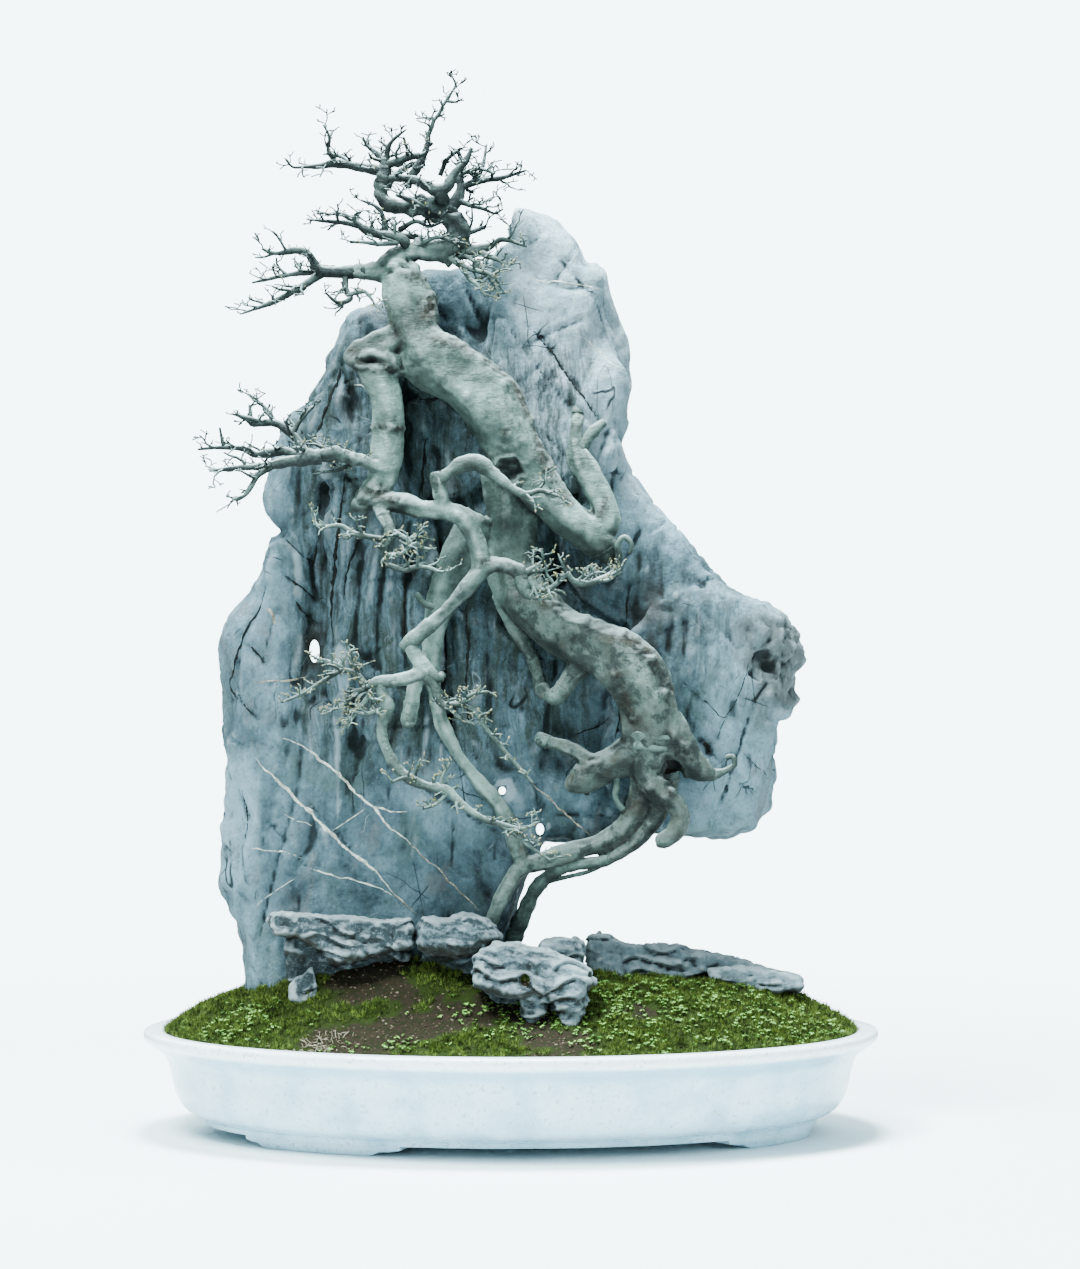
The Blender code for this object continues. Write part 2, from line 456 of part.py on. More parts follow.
        (-88, 1048, -76, 5.4), (-92, 1052, -92, 4.4), (-104, 1060, -106, 3.4),
        (-120, 1066, -118, 2)),
}

# Relief of chipped faces: how sharply they meet, and the places in the noise field that the three
# parts of a face's slope are read from
CHIP_SHARPNESS = 14.0
SLOPE_SPREAD = 7.3
SLOPE_SHIFTS = (Vector((0.0, 0.0, 0.0)), Vector((31.4, 0.0, 7.0)), Vector((0.0, 57.1, 3.0)))

# Relief of the rock: height in mm and size in metres of its chipped faces and of its waves
ROCK_CHIPS = ((15.0, 0.095), (5.0, 0.042))
ROCK_CHIPS_SHIFT = Vector((3.0, 1.0, 2.0))
ROCK_WAVE = (2.6, 0.030)

# Upright grooves of the rock: where they fade in and out as drawn, how deep they are there,
# the size of their pattern in metres, and the heights of their flanks and crests in mm
GROOVE_FIELDS = (
    dict(left=(-262, -232), right=(-70, -50), bottom=(395, 430), top=(880, 930), strength=1.0),
    dict(left=(128, 150), right=(250, 285), bottom=(430, 520), top=(640, 700), strength=0.7),
)
GROOVE_PATTERN = (0.020, 0.030, 0.200)
GROOVE_FLANK = 13.0
GROOVE_FLOOR = 3.0
GROOVE_CREST = 1.6
GROOVE_CREST_POWER = 4
BURIED_FADE = 30

# Relief of the stones
STONE_CHIPS = (5.0, 0.034)
STONE_WAVE = (1.2, 0.011)

# Wood
THICK_RADIUS = 6.8
THICK_STEP = 7.0
WOOD_VOXEL = 0.0032
WOOD_FACES = 2500
TREE_FACES = 9320
WOOD_SIDES = 14
WOOD_SMOOTHING = 3
WOOD_WAVES = ((2.2, 0.034), (1.1, 0.013))

# Flutes round a limb: its share of the radius, and for each of two waves the number round the limb
# and the turn from ring to ring in radians
FLUTE_SHARE = 0.07
FLUTES = ((3.0, 0.31), (5.0, -0.17))

# A limb's blunt end: how far it stands out and how wide it is, as shares of the radius
BLUNT_LENGTH = 0.55
BLUNT_WIDTH = 0.72

# Thin limbs: number of sides from this radius in mm upwards, and how thin the ends are that lie in the wood
THIN_SIDES = ((5.4, 5), (3.2, 4), (0.0, 3))
SUNK_RADII = (0.5, 0.8)

# Twigs: limbs that carry them, with the spacing of the twigs and their length in mm
TWIG_SEED = 11
TWIG_SIDES = 3
TWIG_RADIUS = 1.35
TWIG_CLEAR = 4.0
TWIG_ROOM = 2.6
TWIG_SAMPLES = (0.0, 0.33, 0.67, 1.0)
TWIG_TRIES = 6
TWIG_FORK_LENGTH = 20.0
TWIG_FORK_CHANCE = 0.6
TWIG_FORK_SHARE = 0.55
TWIG_FORK_RADIUS = 0.75
TWIG_RULES = {
    "front_left": (20, 30), "front_right": (20, 28), "cascade": (34, 26), "cascade_tip": (21, 20),
    "front_second": (34, 22), "heart_branch": (26, 30), "arm_up": (18, 22), "arm_mid": (21, 20),
    "arm_out": (21, 24), "low_pad": (26, 26), "low_pad_left": (18, 28), "low_pad_mid": (17, 24),
    "low_pad_right": (18, 26), "low_pad_high": (18, 24), "left_pad": (22, 32),
    "left_pad_upper": (20, 32), "left_pad_top": (22, 28), "left_pad_tip": (18, 22),
    "left_pad_back": (20, 24), "left_pad_low": (20, 28), "left_pad_inner": (18, 26),
    "crown_left": (22, 32), "crown_left_low": (18, 30), "crown_left_back": (21, 28),
    "crown_hang": (20, 26), "crown_hang_right": (18, 22), "leader": (57, 30),
    "leader_left": (18, 30), "leader_left_up": (20, 26), "leader_left_back": (20, 26),
    "leader_up": (18, 24), "leader_tip": (18, 24), "leader_right": (17, 26), "spire": (25, 24),
    "spire_left": (16, 14), "spire_right": (16, 14), "second_arch": (21, 28), "right_post": (20, 28),
    "right_pad": (18, 30), "right_pad_up": (18, 24), "right_pad_low": (18, 26),
    "right_arm": (21, 28), "right_tangle": (18, 26), "right_tangle_low": (17, 24),
    "right_tangle_high": (18, 24), "left_tier": (21, 30), "left_tier_low": (18, 28),
    "left_tier_in": (20, 26), "left_tier_up": (20, 26), "back_tier": (20, 28),
    "back_tier_right": (20, 28), "back_leader": (20, 26), "front_tier": (20, 28),
}
TWIG_FIRST_RADIUS = 5.6

# How a twig is drawn: shares of the spacing, length and radius, and of the limb's radius at most
TWIG_SPACINGS = (0.75, 1.25)
TWIG_LENGTHS = (0.6, 1.2)
TWIG_RADII = (0.8, 1.15)
TWIG_LIMB_SHARE = 0.7
TWIG_START = 0.4

# Its direction: turn round the limb in radians, and shares ahead and up; and how each stretch bends
TWIG_TURNS = (0.1, 1.1)
TWIG_AHEAD = (0.35, 0.9)
TWIG_LIFT = (0.0, 0.3)
TWIG_BEND = (-0.45, 0.45)
TWIG_BEND_UP = (-0.15, 0.45)
LEVEL_LEAST = 0.01

# Where its stretches end, as a share of its length, and how thick it is there
TWIG_SHARE = (0.45, 1.0)
TWIG_TAPER = (1.0, 0.5)

# Colours: (red, green, blue), roughness
FINISHES = {
    "pot": ((0.86, 0.87, 0.85), 0.28),
    "soil": ((0.11, 0.12, 0.04), 0.95),
    "rock": ((0.34, 0.41, 0.43), 0.80),
    "stone": ((0.55, 0.58, 0.58), 0.85),
    "tree": ((0.36, 0.37, 0.32), 0.82),
}


def clear_scene():
    for item in list(bpy.data.objects):
        bpy.data.objects.remove(item, do_unlink=True)


def finish_material(name):
    colour, roughness = FINISHES[name]
    material = bpy.data.materials.get(name) or bpy.data.materials.new(name)
    material.use_nodes = True
    shader = material.node_tree.nodes["Principled BSDF"]
    shader.inputs["Base Color"].default_value = (*colour, 1.0)
    shader.inputs["Roughness"].default_value = roughness
    shader.inputs["Metallic"].default_value = 0.0
    return material


def seen(x, z, depth=0.0):
    """The point at this depth that covers the drawing's (x, z) when it is looked at from EYE."""
    flat = Vector(((x - DRAWING_LEFT) * MM, 0.0, z * MM))
    return EYE + (flat - EYE) * reach(depth)


def reach(depth):
    """How much larger or smaller a thing is at this depth than it is drawn."""
    return (depth * MM - EYE.y) / -EYE.y


def blend(low, high, value):
    """0 below low, 1 above high, and a smooth step between them."""
    share = min(1.0, max(0.0, (value - low) / (high - low)))
    return share * share * (3.0 - 2.0 * share)


def spline(points, step):
    """Points of a smooth curve through these, a step or so apart. A point has any number of values."""
    size = len(points[0])
    result = []
    for i in range(len(points) - 1):
        before = points[max(i - 1, 0)]
        start, end = points[i], points[i + 1]
        after = points[min(i + 2, len(points) - 1)]
        length = math.dist(start[:3], end[:3])
        pieces = max(1, round(length / step))
        for k in range(pieces):
            t = k / pieces
            result.append(tuple(
                0.5 * (2 * start[j] + (end[j] - before[j]) * t
                       + (2 * before[j] - 5 * start[j] + 4 * end[j] - after[j]) * t ** 2
                       + (3 * start[j] - before[j] - 3 * end[j] + after[j]) * t ** 3)
                for j in range(size)))
    result.append(tuple(points[-1]))
    return result


def new_object(name, mesh_data, finish):
    piece = bpy.data.objects.new(name, mesh_data)
    bpy.context.scene.collection.objects.link(piece)
    mesh_data.materials.clear()
    mesh_data.materials.append(finish_material(finish))
    return piece


def loft(shape, rings):
    """Adds a closed skin over a stack of rings, with a flat face at each end."""
    rows = [[shape.verts.new(point) for point in ring] for ring in rings]
    count = len(rows[0])
    for low, high in zip(rows, rows[1:]):
        for i in range(count):
            k = (i + 1) % count
            shape.faces.new((low[i], low[k], high[k], high[i]))
    shape.faces.new(rows[0][::-1])
    shape.faces.new(rows[-1])


def object_of(name, shape, finish):
    bmesh.ops.recalc_face_normals(shape, faces=shape.faces)
    mesh_data = bpy.data.meshes.new(name)
    shape.to_mesh(mesh_data)
    shape.free()
    return new_object(name, mesh_data, finish)


def lofted(name, rings, finish):
    shape = bmesh.new()
    loft(shape, rings)
    return object_of(name, shape, finish)


def apply_modifiers(piece):
    graph = bpy.context.evaluated_depsgraph_get()
    graph.update()
    made = bpy.data.meshes.new_from_object(piece.evaluated_get(graph), depsgraph=graph)
    piece.modifiers.clear()
    piece.data = made


def remesh(piece, voxel, smoothing, faces, relief):
    """Makes overlapping shells one even skin with its relief, and keeps about this many faces."""
    modifier = piece.modifiers.new("skin", "REMESH")
    modifier.mode = "VOXEL"
    modifier.voxel_size = voxel
    modifier = piece.modifiers.new("even", "SMOOTH")
    modifier.factor = 0.5
    modifier.iterations = smoothing
    apply_modifiers(piece)
    raise_relief(piece, relief)
    fewer_faces(piece, faces)


def raise_relief(piece, relief):
    """Moves each point along its normal by relief(point, normal)."""
    moved = [
        vertex.co + vertex.normal * relief(vertex.co, vertex.normal) for vertex in piece.data.vertices
    ]
    for vertex, place in zip(piece.data.vertices, moved):
        vertex.co = place


def fewer_faces(piece, faces, kept=None):
    """Collapses the flattest edges until about this many triangles are left. Kept points stay put."""
    whole = piece.data
    whole.calc_loop_triangles()
    for attempt in range(THIN_ATTEMPTS):
        piece.data = whole.copy()
        modifier = piece.modifiers.new("fewer", "DECIMATE")
        modifier.ratio = min(1.0, (faces + attempt * THIN_STEP) / len(whole.loop_triangles))
        modifier.use_collapse_triangulate = True
        if kept:
            free = piece.vertex_groups.new(name="free")
            for vertex in piece.data.vertices:
                if kept.find(vertex.co)[2] > SAME_PLACE:
                    free.add([vertex.index], 1.0, "REPLACE")
            modifier.vertex_group = free.name
            modifier.vertex_group_factor = KEPT_COST
        apply_modifiers(piece)
        piece.vertex_groups.clear()
        if open_folds(piece):
            return


def points_of(pieces):
    """Search tree of the points of these pieces."""
    places = [vertex.co for piece in pieces for vertex in piece.data.vertices]
    found = KDTree(len(places))
    for number, place in enumerate(places):
        found.insert(place, number)
    found.balance()
    return found


def open_folds(piece):
    """Smooths the skin where faces that share no corner cross, and tells whether it is sound then."""
    shape = bmesh.new()
    shape.from_mesh(piece.data)
    shape.faces.ensure_lookup_table()
    corners = [set(face.verts) for face in shape.faces]
    for turn in range(FOLD_ROUNDS):
        skin = BVHTree.FromBMesh(shape)
        folded = set()
        for a, b in skin.overlap(skin):
            if not corners[a] & corners[b]:
                folded |= corners[a]
        if not folded:
            break
        bmesh.ops.smooth_vert(
            shape, verts=list(folded), factor=0.5, use_axis_x=True, use_axis_y=True, use_axis_z=True)
    shape.to_mesh(piece.data)
    sound = not folded and all(edge.is_manifold for edge in shape.edges)
    shape.free()
    return sound


def put_in_order(piece):
    """Numbers the points and faces by their place, so that each run gives the same mesh."""
    shape = bmesh.new()
    shape.from_mesh(piece.data)
    bmesh.ops.triangulate(shape, faces=shape.faces)
    places = sorted(shape.verts, key=lambda vertex: tuple(vertex.co))
    for number, vertex in enumerate(places):
        vertex.index = number
    corners = []
    for face in shape.faces:
        numbers = [vertex.index for vertex in face.verts]
        first = numbers.index(min(numbers))
        corners.append(tuple(numbers[first:] + numbers[:first]))
    ordered = bpy.data.meshes.new(piece.name)
    ordered.from_pydata([vertex.co.copy() for vertex in places], [], sorted(corners))
    shape.free()
    ordered.materials.append(piece.data.materials[0])
    piece.data = ordered


def combine(piece, others, operation, solver="MANIFOLD"):
    """Adds the others to the piece, or cuts them from it, and removes them."""
    group = bpy.data.collections.new("group")
    bpy.context.scene.collection.children.link(group)
    for other in others:
        bpy.context.scene.collection.objects.unlink(other)
        group.objects.link(other)
    modifier = piece.modifiers.new("combine", "BOOLEAN")
    modifier.operation = operation
    modifier.operand_type = "COLLECTION"
    modifier.collection = group
    modifier.solver = solver
    apply_modifiers(piece)
    put_in_order(piece)
    for other in list(group.objects):
        bpy.data.objects.remove(other, do_unlink=True)
    bpy.data.collections.remove(group)


def grown(skins, amount):
    """Cutters of these skins that stand this much further out."""
    cutters = []
    for skin in skins:
        cutter = new_object("cutter", skin.copy(), "tree")
        raise_relief(cutter, lambda place, normal: amount)
        cutters.append(cutter)
    return cutters


def islands(shape):
    """The separate skins of a bmesh, each a list of its faces."""
    found = []
    left = set(shape.faces)
    while left:
        patch = [left.pop()]
        for face in patch:
            for edge in face.edges:
                for other in edge.link_faces:
                    if other in left:
                        left.remove(other)
                        patch.append(other)
        found.append(patch)
    return found


def keep_largest(piece):
    """Drops the scraps that a cut leaves."""
    shape = bmesh.new()
    shape.from_mesh(piece.data)
    patches = sorted(islands(shape), key=lambda patch: sum(face.calc_area() for face in patch))
    for patch in patches[:-1]:
        points = {vertex for face in patch for vertex in face.verts}
        bmesh.ops.delete(shape, geom=list(points), context="VERTS")
    shape.to_mesh(piece.data)
    shape.free()


def oval(inset, height, sides, wide=POT_LENGTH, deep=POT_DEPTH):
    """Ring of points on the lip's oval, this far inside it, sizes in mm."""
    across = wide / 2 - inset * MM
    along = deep / 2 - inset * MM
    return [
        Vector((across * math.cos(math.tau * i / sides), along * math.sin(math.tau * i / sides), height * MM))
        for i in range(sides)
    ]


def make_pot():
    pot = lofted("pot", [oval(inset, height, POT_SIDES) for inset, height in POT_OUTSIDE + POT_INSIDE], "pot")
    feet = [pot_foot(side, end) for side in (-1, 1) for end in (-1, 1)]
    combine(pot, feet, "UNION", "EXACT")
    drains = [
        cylinder("drain", (x, y, POT_FLOOR), DRAIN_RADIUS, 2 * POT_FLOOR, DRAIN_SIDES)
        for x, y in DRAIN_PLACES
    ]
    combine(pot, drains, "DIFFERENCE", "EXACT")
    pot.data.shade_smooth()
    pot.data.set_sharp_from_angle(angle=math.radians(SHARP_ANGLE))
    return pot


def cylinder(name, middle, radius, height, sides):
    """Upright cylinder, sizes in mm."""
    shape = bmesh.new()
    bmesh.ops.create_cone(
        shape, cap_ends=True, segments=sides, radius1=radius * MM, radius2=radius * MM, depth=height * MM,
        matrix=Matrix.Translation(Vector(middle) * MM))
    return object_of(name, shape, "pot")


def pot_foot(side, end):
    """Low foot along the base's oval, with a bracket at each end of its underside."""
    start, stop = (math.radians(angle) for angle in FOOT_ARCS[side * end])
    lead = [share for share, height in FOOT_UNDERSIDE]
    shares = lead + [
        lead[-1] + (1 - 2 * lead[-1]) * k / FOOT_STEPS for k in range(1, FOOT_STEPS)
    ] + [1 - share for share in reversed(lead)]
    heights = [height for share, height in FOOT_UNDERSIDE]
    heights = heights + [0.0] * (FOOT_STEPS - 1) + heights[::-1]
    rings = []
    for share, height in zip(shares, heights):
        angle = start + (stop - start) * share
        ring = []
        for inset, level in (
            (FOOT_INSETS[0], height), (FOOT_INSETS[0], FOOT_TOP),
            (FOOT_INSETS[1], FOOT_TOP), (FOOT_INSETS[1], height),
        ):
            across = (POT_LENGTH / 2 - inset * MM) * math.cos(angle) * side
            along = (POT_DEPTH / 2 - inset * MM) * math.sin(angle) * end
            ring.append(Vector((across, along, level * MM)))
        rings.append(ring)
    return lofted("foot", rings, "pot")


def mound_height(x, y):
    """Height of the soil's surface in metres, x and y in metres."""
    across = x / (POT_LENGTH / 2 - SOIL_RIM_INSET * MM)
    along = y / (POT_DEPTH / 2 - SOIL_RIM_INSET * MM)
    span = min(1.0, math.hypot(across, along))
    turn = across * across / max(1e-9, across * across + along * along)
    power = SOIL_EDGE_POWER * turn + SOIL_FRONT_POWER * (1.0 - turn)
    hump_x, hump_y = SOIL_HUMP_PLACE
    wide, deep = SOIL_HUMP_SIZE
    away = ((x - hump_x) / wide) ** 2 + ((y - hump_y) / deep) ** 2
    hump = SOIL_HUMP_HEIGHT * math.exp(-away) * (1.0 - span ** SOIL_LUMP_FADE)
    return SOIL_RIM_HEIGHT * MM + RIM_TO_MOUND * (1.0 - span ** power) + hump


def make_soil():
    wall = [(inset + SEAT_GAP / MM, height + SEAT_GAP / MM) for inset, height in reversed(POT_INSIDE[1:])]
    rings = [oval(inset, height, POT_SIDES) for inset, height in wall]
    rings.append(oval(SOIL_RIM_INSET, SOIL_RIM_HEIGHT, POT_SIDES))
    rim = rings[-1]
    for share in SOIL_RINGS:
        ring = []
        for point in rim:
            x, y = point.x * share, point.y * share
            lump = noise.noise(Vector((x, y, 0.0)) / SOIL_LUMP_LENGTH) * SOIL_LUMPS * MM
            ring.append(Vector((x, y, mound_height(x, y) + lump * (1.0 - share ** SOIL_LUMP_FADE))))
        rings.append(ring)
    soil = lofted("soil", rings, "soil")
    plugs = [
        cylinder("plug", (x, y, PLUG_MIDDLE), PLUG_RADIUS, PLUG_HEIGHT, DRAIN_SIDES)
        for x, y in DRAIN_PLACES
    ]
    combine(soil, plugs, "UNION", "EXACT")
    return soil


def closed_outline(points, step):
    """Points of a smooth closed curve through these corners."""
    ring = list(points[-2:]) + list(points) + list(points[:2])
    flat = [(x, 0.0, z) for x, z in ring]
    whole = spline(flat, step)
    start = min(range(len(whole) // 3), key=lambda i: math.dist(whole[i], flat[2]))
    stop = min(range(2 * len(whole) // 3, len(whole)), key=lambda i: math.dist(whole[i], flat[-2]))
    return [(x, z) for x, y, z in whole[start:stop]]


def lobe_rings(outline, front, back, edge, lean):
    """Slices of a lobe from front to back: its outline, drawn in at both ends to round its edges."""
    corners = closed_outline(outline, OUTLINE_STEP * edge)
    middle_x = sum(x for x, z in corners) / len(corners)
    middle_z = sum(z for x, z in corners) / len(corners)
    bevel = EDGE_BEVEL * edge
    slices = (
        (front, 1.0), (front + bevel, EDGE_BEVEL), (front + edge, 0.0),
        (back - edge, 0.0), (back - bevel, EDGE_BEVEL), (back, 1.0),
    )
    rings = []
    for depth, share in slices:
        ring = []
        for x, z in corners:
            span = math.hypot(x - middle_x, z - middle_z)
            keep = max(LEAST_WIDTH, 1.0 - share * edge / span)
            place_x = middle_x + (x - middle_x) * keep
            place_z = middle_z + (z - middle_z) * keep
            tilt = 0.0
            if depth < (front + back) / 2:
                tilt = lean[0] * (x - middle_x) + lean[1] * (z - middle_z)
            elif back - front > ROCK_DEEP:
                tilt = BACK_LEAN * (z - BACK_LEVEL) * blend(BURIED_LEVEL, BACK_FULL, z)
            ring.append(seen(place_x, place_z, depth + tilt))
        rings.append(ring)
    return rings


def facets(place, size):
    """Chipped faces: planes of random slope, one for each cell of this size, blended at their borders."""
    spot = place / size
    spans, centres = noise.voronoi(spot)
    total = 0.0
    weight = 0.0
    for span, centre in zip(spans, centres):
        share = math.exp(-CHIP_SHARPNESS * (span - spans[0]))
        slope = Vector(noise.noise(centre * SLOPE_SPREAD + shift) for shift in SLOPE_SHIFTS)
        total += share * slope.dot(spot - centre)
        weight += share
    return total / weight


def waves(place, height, length):
    return height * noise.noise(place / length)


def groove_share(x, z):
    """How strong the upright grooves are at this drawn place."""
    return max(
        field["strength"] * blend(*field["left"], x) * (1.0 - blend(*field["right"], x))
        * blend(*field["bottom"], z) * (1.0 - blend(*field["top"], z))
        for field in GROOVE_FIELDS)


def rock_relief(place, normal):
    """Relief of the rock in metres: chipped faces, broad waves and upright grooves in its middle."""
    x = place.x / MM + DRAWING_LEFT
    z = place.z / MM
    height = waves(place, *ROCK_WAVE)
    shift = Vector()
    for chip_height, size in ROCK_CHIPS:
        height += chip_height * facets(place + shift, size)
        shift = ROCK_CHIPS_SHIFT
    streak = abs(noise.noise(Vector(value / size for value, size in zip(place, GROOVE_PATTERN))))
    crest = (1.0 - 2.0 * streak) ** GROOVE_CREST_POWER
    height += groove_share(x, z) * (GROOVE_FLANK * streak - GROOVE_FLOOR - GROOVE_CREST * crest)
    return height * blend(BURIED_LEVEL - BURIED_FADE, BURIED_LEVEL, z) * MM


def rod(name, place, depths, size, sides):
    """Cutter along the line of sight, oval in section."""
    rings = []
    for depth in depths:
        ring = []
        for i in range(sides):
            angle = math.tau * i / sides
            x = place[0] + size[0] / 2 * math.cos(angle)
            z = place[1] + size[1] / 2 * math.sin(angle)
            ring.append(seen(x, z, depth))
        rings.append(ring)
    return lofted(name, rings, "rock")


def make_rock():
    """The rock before the roots are cut into it."""
    shape = bmesh.new()
    for lobe in ROCK_LOBES.values():
        loft(shape, lobe_rings(**lobe))
    rock = object_of("rock", shape, "rock")
    remesh(rock, ROCK_VOXEL, ROCK_SMOOTHING, ROCK_FACES, rock_relief)
    cutters = [
        rod("hole", hole["place"], ROCK_HOLE_DEPTHS, hole["size"], ROCK_HOLE_SIDES)
        for hole in ROCK_HOLES
    ]
    hollow = bmesh.new()
    bmesh.ops.create_icosphere(hollow, subdivisions=1, radius=MM)
    place = seen(*NOSE_HOLLOW["place"], NOSE_HOLLOW["depth"])
    for vertex in hollow.verts:
        vertex.co = place + Vector(axis * size for axis, size in zip(vertex.co, NOSE_HOLLOW["size"]))
    cutters.append(object_of("hollow", hollow, "rock"))
    combine(rock, cutters, "DIFFERENCE")
    level_foot(rock, POT_FLOOR * MM + SEAT_GAP)
    return rock


def level_foot(piece, level):
    """Flattens what lies below this level, so that the piece stands on it."""
    for vertex in piece.data.vertices:
        if vertex.co.z < level:
            vertex.co.z = level


def stone_relief(place, normal):
    """Relief of the small stones in metres."""
    height, size = STONE_CHIPS
    return (height * facets(place, size) + waves(place, *STONE_WAVE)) * MM


def make_stone(name, lobes, faces):
    shape = bmesh.new()
    for lobe in lobes:
        loft(shape, lobe_rings(**lobe))
    stone = object_of(name, shape, "stone")
    remesh(stone, STONE_VOXEL, STONE_SMOOTHING, faces, stone_relief)
    if name == "stone_holed":
        combine(stone, [rod("hole", **STONE_HOLE)], "DIFFERENCE")
    return stone


def tube_rings(path, sides, flute=0.0, blunt=True):
    """Rings along a path of (place, radius), carried along it without twisting."""
    places = [Vector(place) for place, radius in path]
    radii = [radius for place, radius in path]
    heading = (places[1] - places[0]).normalized()
    side = heading.orthogonal().normalized()
    rings = []
    for i, place in enumerate(places):
        ahead = places[min(i + 1, len(places) - 1)] - places[max(i - 1, 0)]
        ahead = ahead.normalized()
        side = (side - ahead * side.dot(ahead)).normalized()
        other = ahead.cross(side)
        ring = []
        for k in range(sides):
            angle = math.tau * k / sides
            wave = 1.0 + flute * sum(math.sin(number * angle + i * turn) for number, turn in FLUTES)
            ring.append(place + (side * math.cos(angle) + other * math.sin(angle)) * radii[i] * wave)
        rings.append(ring)
    if blunt:
        end = places[-1]
        out = (end - places[-2]).normalized() * radii[-1] * BLUNT_LENGTH
        rings.append([end + out + (point - end) * BLUNT_WIDTH for point in rings[-1]])
    return rings


def limb_path(stations):
    """(place, radius) in metres of a limb's drawn stations."""
    return [(seen(x, z, depth), radius * MM * reach(depth)) for x, z, depth, radius in stations]


def thick_part(stations):
    """The stations up to the first one that is too thin for the wood's skin."""
    for i, station in enumerate(stations):
        if station[3] < THICK_RADIUS:
            return stations[:i]
    return stations


def add_thick_limb(shape, stations):
    smooth = spline([(x, depth, z, radius) for x, z, depth, radius in stations], THICK_STEP)
    path = limb_path([(x, z, depth, radius) for x, depth, z, radius in smooth])
    loft(shape, tube_rings(path, WOOD_SIDES, FLUTE_SHARE))


def thin_sides(radius):
    return next(sides for least, sides in THIN_SIDES if radius >= least)


def wood_relief(place, normal):
    """Relief of the old wood in metres: broad swellings and shallow furrows."""
    return sum(waves(place, *wave) for wave in WOOD_WAVES) * MM


def make_wood():
    """The thick wood as one skin, and the thin limbs as pieces that are joined to it."""
    shape = bmesh.new()
    thin = []
    for name, stations in LIMBS.items():
        thick = thick_part(stations)
        path = limb_path(stations)
        if len(thick) >= 3:
            add_thick_limb(shape, thick)
            rest = path[len(thick) - 2:]
            sunk = [(place, radius * share) for (place, radius), share in zip(rest, SUNK_RADII)]
            path = sunk + rest[len(sunk):]
        if len(path) >= 3:
            sides = thin_sides(max(radius for place, radius in path[1:]) / MM)
            thin.append(lofted(name, tube_rings(path, sides), "tree"))
    wood = object_of("tree", shape, "tree")
    remesh(wood, WOOD_VOXEL, WOOD_SMOOTHING, WOOD_FACES, wood_relief)
    return wood, thin


def skin_of(pieces):
    """Search tree of the faces of these pieces."""
    shape = bmesh.new()
    for piece in pieces:
        shape.from_mesh(piece.data)
    skin = BVHTree.FromBMesh(shape)
    shape.free()
    return skin


def in_front(point, radius, rock_skin):
    """The point, brought to the front of the rock where it would touch it."""
    start = Vector((point.x, -1.0, point.z))
    hit = rock_skin.ray_cast(start, Vector((0.0, 1.0, 0.0)))[0]
    if hit is None:
        return point
    return Vector((point.x, min(point.y, hit.y - radius - TWIG_CLEAR * MM), point.z))


def twig_direction(along, side, draw):
    """Direction of a twig: outwards, to one side, and up."""
    up = Vector((0.0, 0.0, 1.0))
    level = along.cross(up)
    level = level.normalized() if level.length > LEVEL_LEAST else Vector((1.0, 0.0, 0.0))
    raised = along.cross(level).normalized()
    raised = raised if raised.z > 0 else -raised
    turn = draw.uniform(*TWIG_TURNS)
    aside = level * side * math.cos(turn) + raised * math.sin(turn)
    return (along * draw.uniform(*TWIG_AHEAD) + aside + up * draw.uniform(*TWIG_LIFT)).normalized()


def twig_path(start, direction, length, radius, draw):
    """A short crooked twig whose tip turns up."""
    path = [(start, radius)]
    place = start
    heading = direction
    last = 0.0
    for share, taper in zip(TWIG_SHARE, TWIG_TAPER):
        bend = Vector((draw.uniform(*TWIG_BEND), draw.uniform(*TWIG_BEND), draw.uniform(*TWIG_BEND_UP)))
        heading = (heading + bend).normalized()
        place = place + heading * length * (share - last)
        last = share
        path.append((place, radius * taper))
    return path


class Thicket:
    """The twigs so far, and what a new one has to stay clear of."""

    def __init__(self, rock, wood):
        self.rock = skin_of([rock])
        self.wood = skin_of(wood)
        self.points = []
        self.paths = []

    def samples(self, path):
        """Points along the outer part of a twig."""
        return [
            start.lerp(end, share)
            for (start, thick), (end, thin) in zip(path[1:], path[2:])
            for share in TWIG_SAMPLES
        ]

    def is_clear(self, path):
        for point in self.samples(path):
            near = self.wood.find_nearest(point, TWIG_ROOM * MM)
            if near[0] is not None:
                return False
            if any((point - other).length_squared < (TWIG_ROOM * MM) ** 2 for other in self.points):
                return False
        return True

    def add(self, start, along, side, length, radius, draw):
        """Adds the first twig of a few tries that touches nothing, and returns its path."""
        for attempt in range(TWIG_TRIES):
            direction = twig_direction(along, side, draw)
            path = twig_path(start, direction, length, radius, draw)
            path = path[:1] + [(in_front(place, thick, self.rock), thick) for place, thick in path[1:]]
            if self.is_clear(path):
                self.points += self.samples(path)
                self.paths.append(path)
                return path
        return None


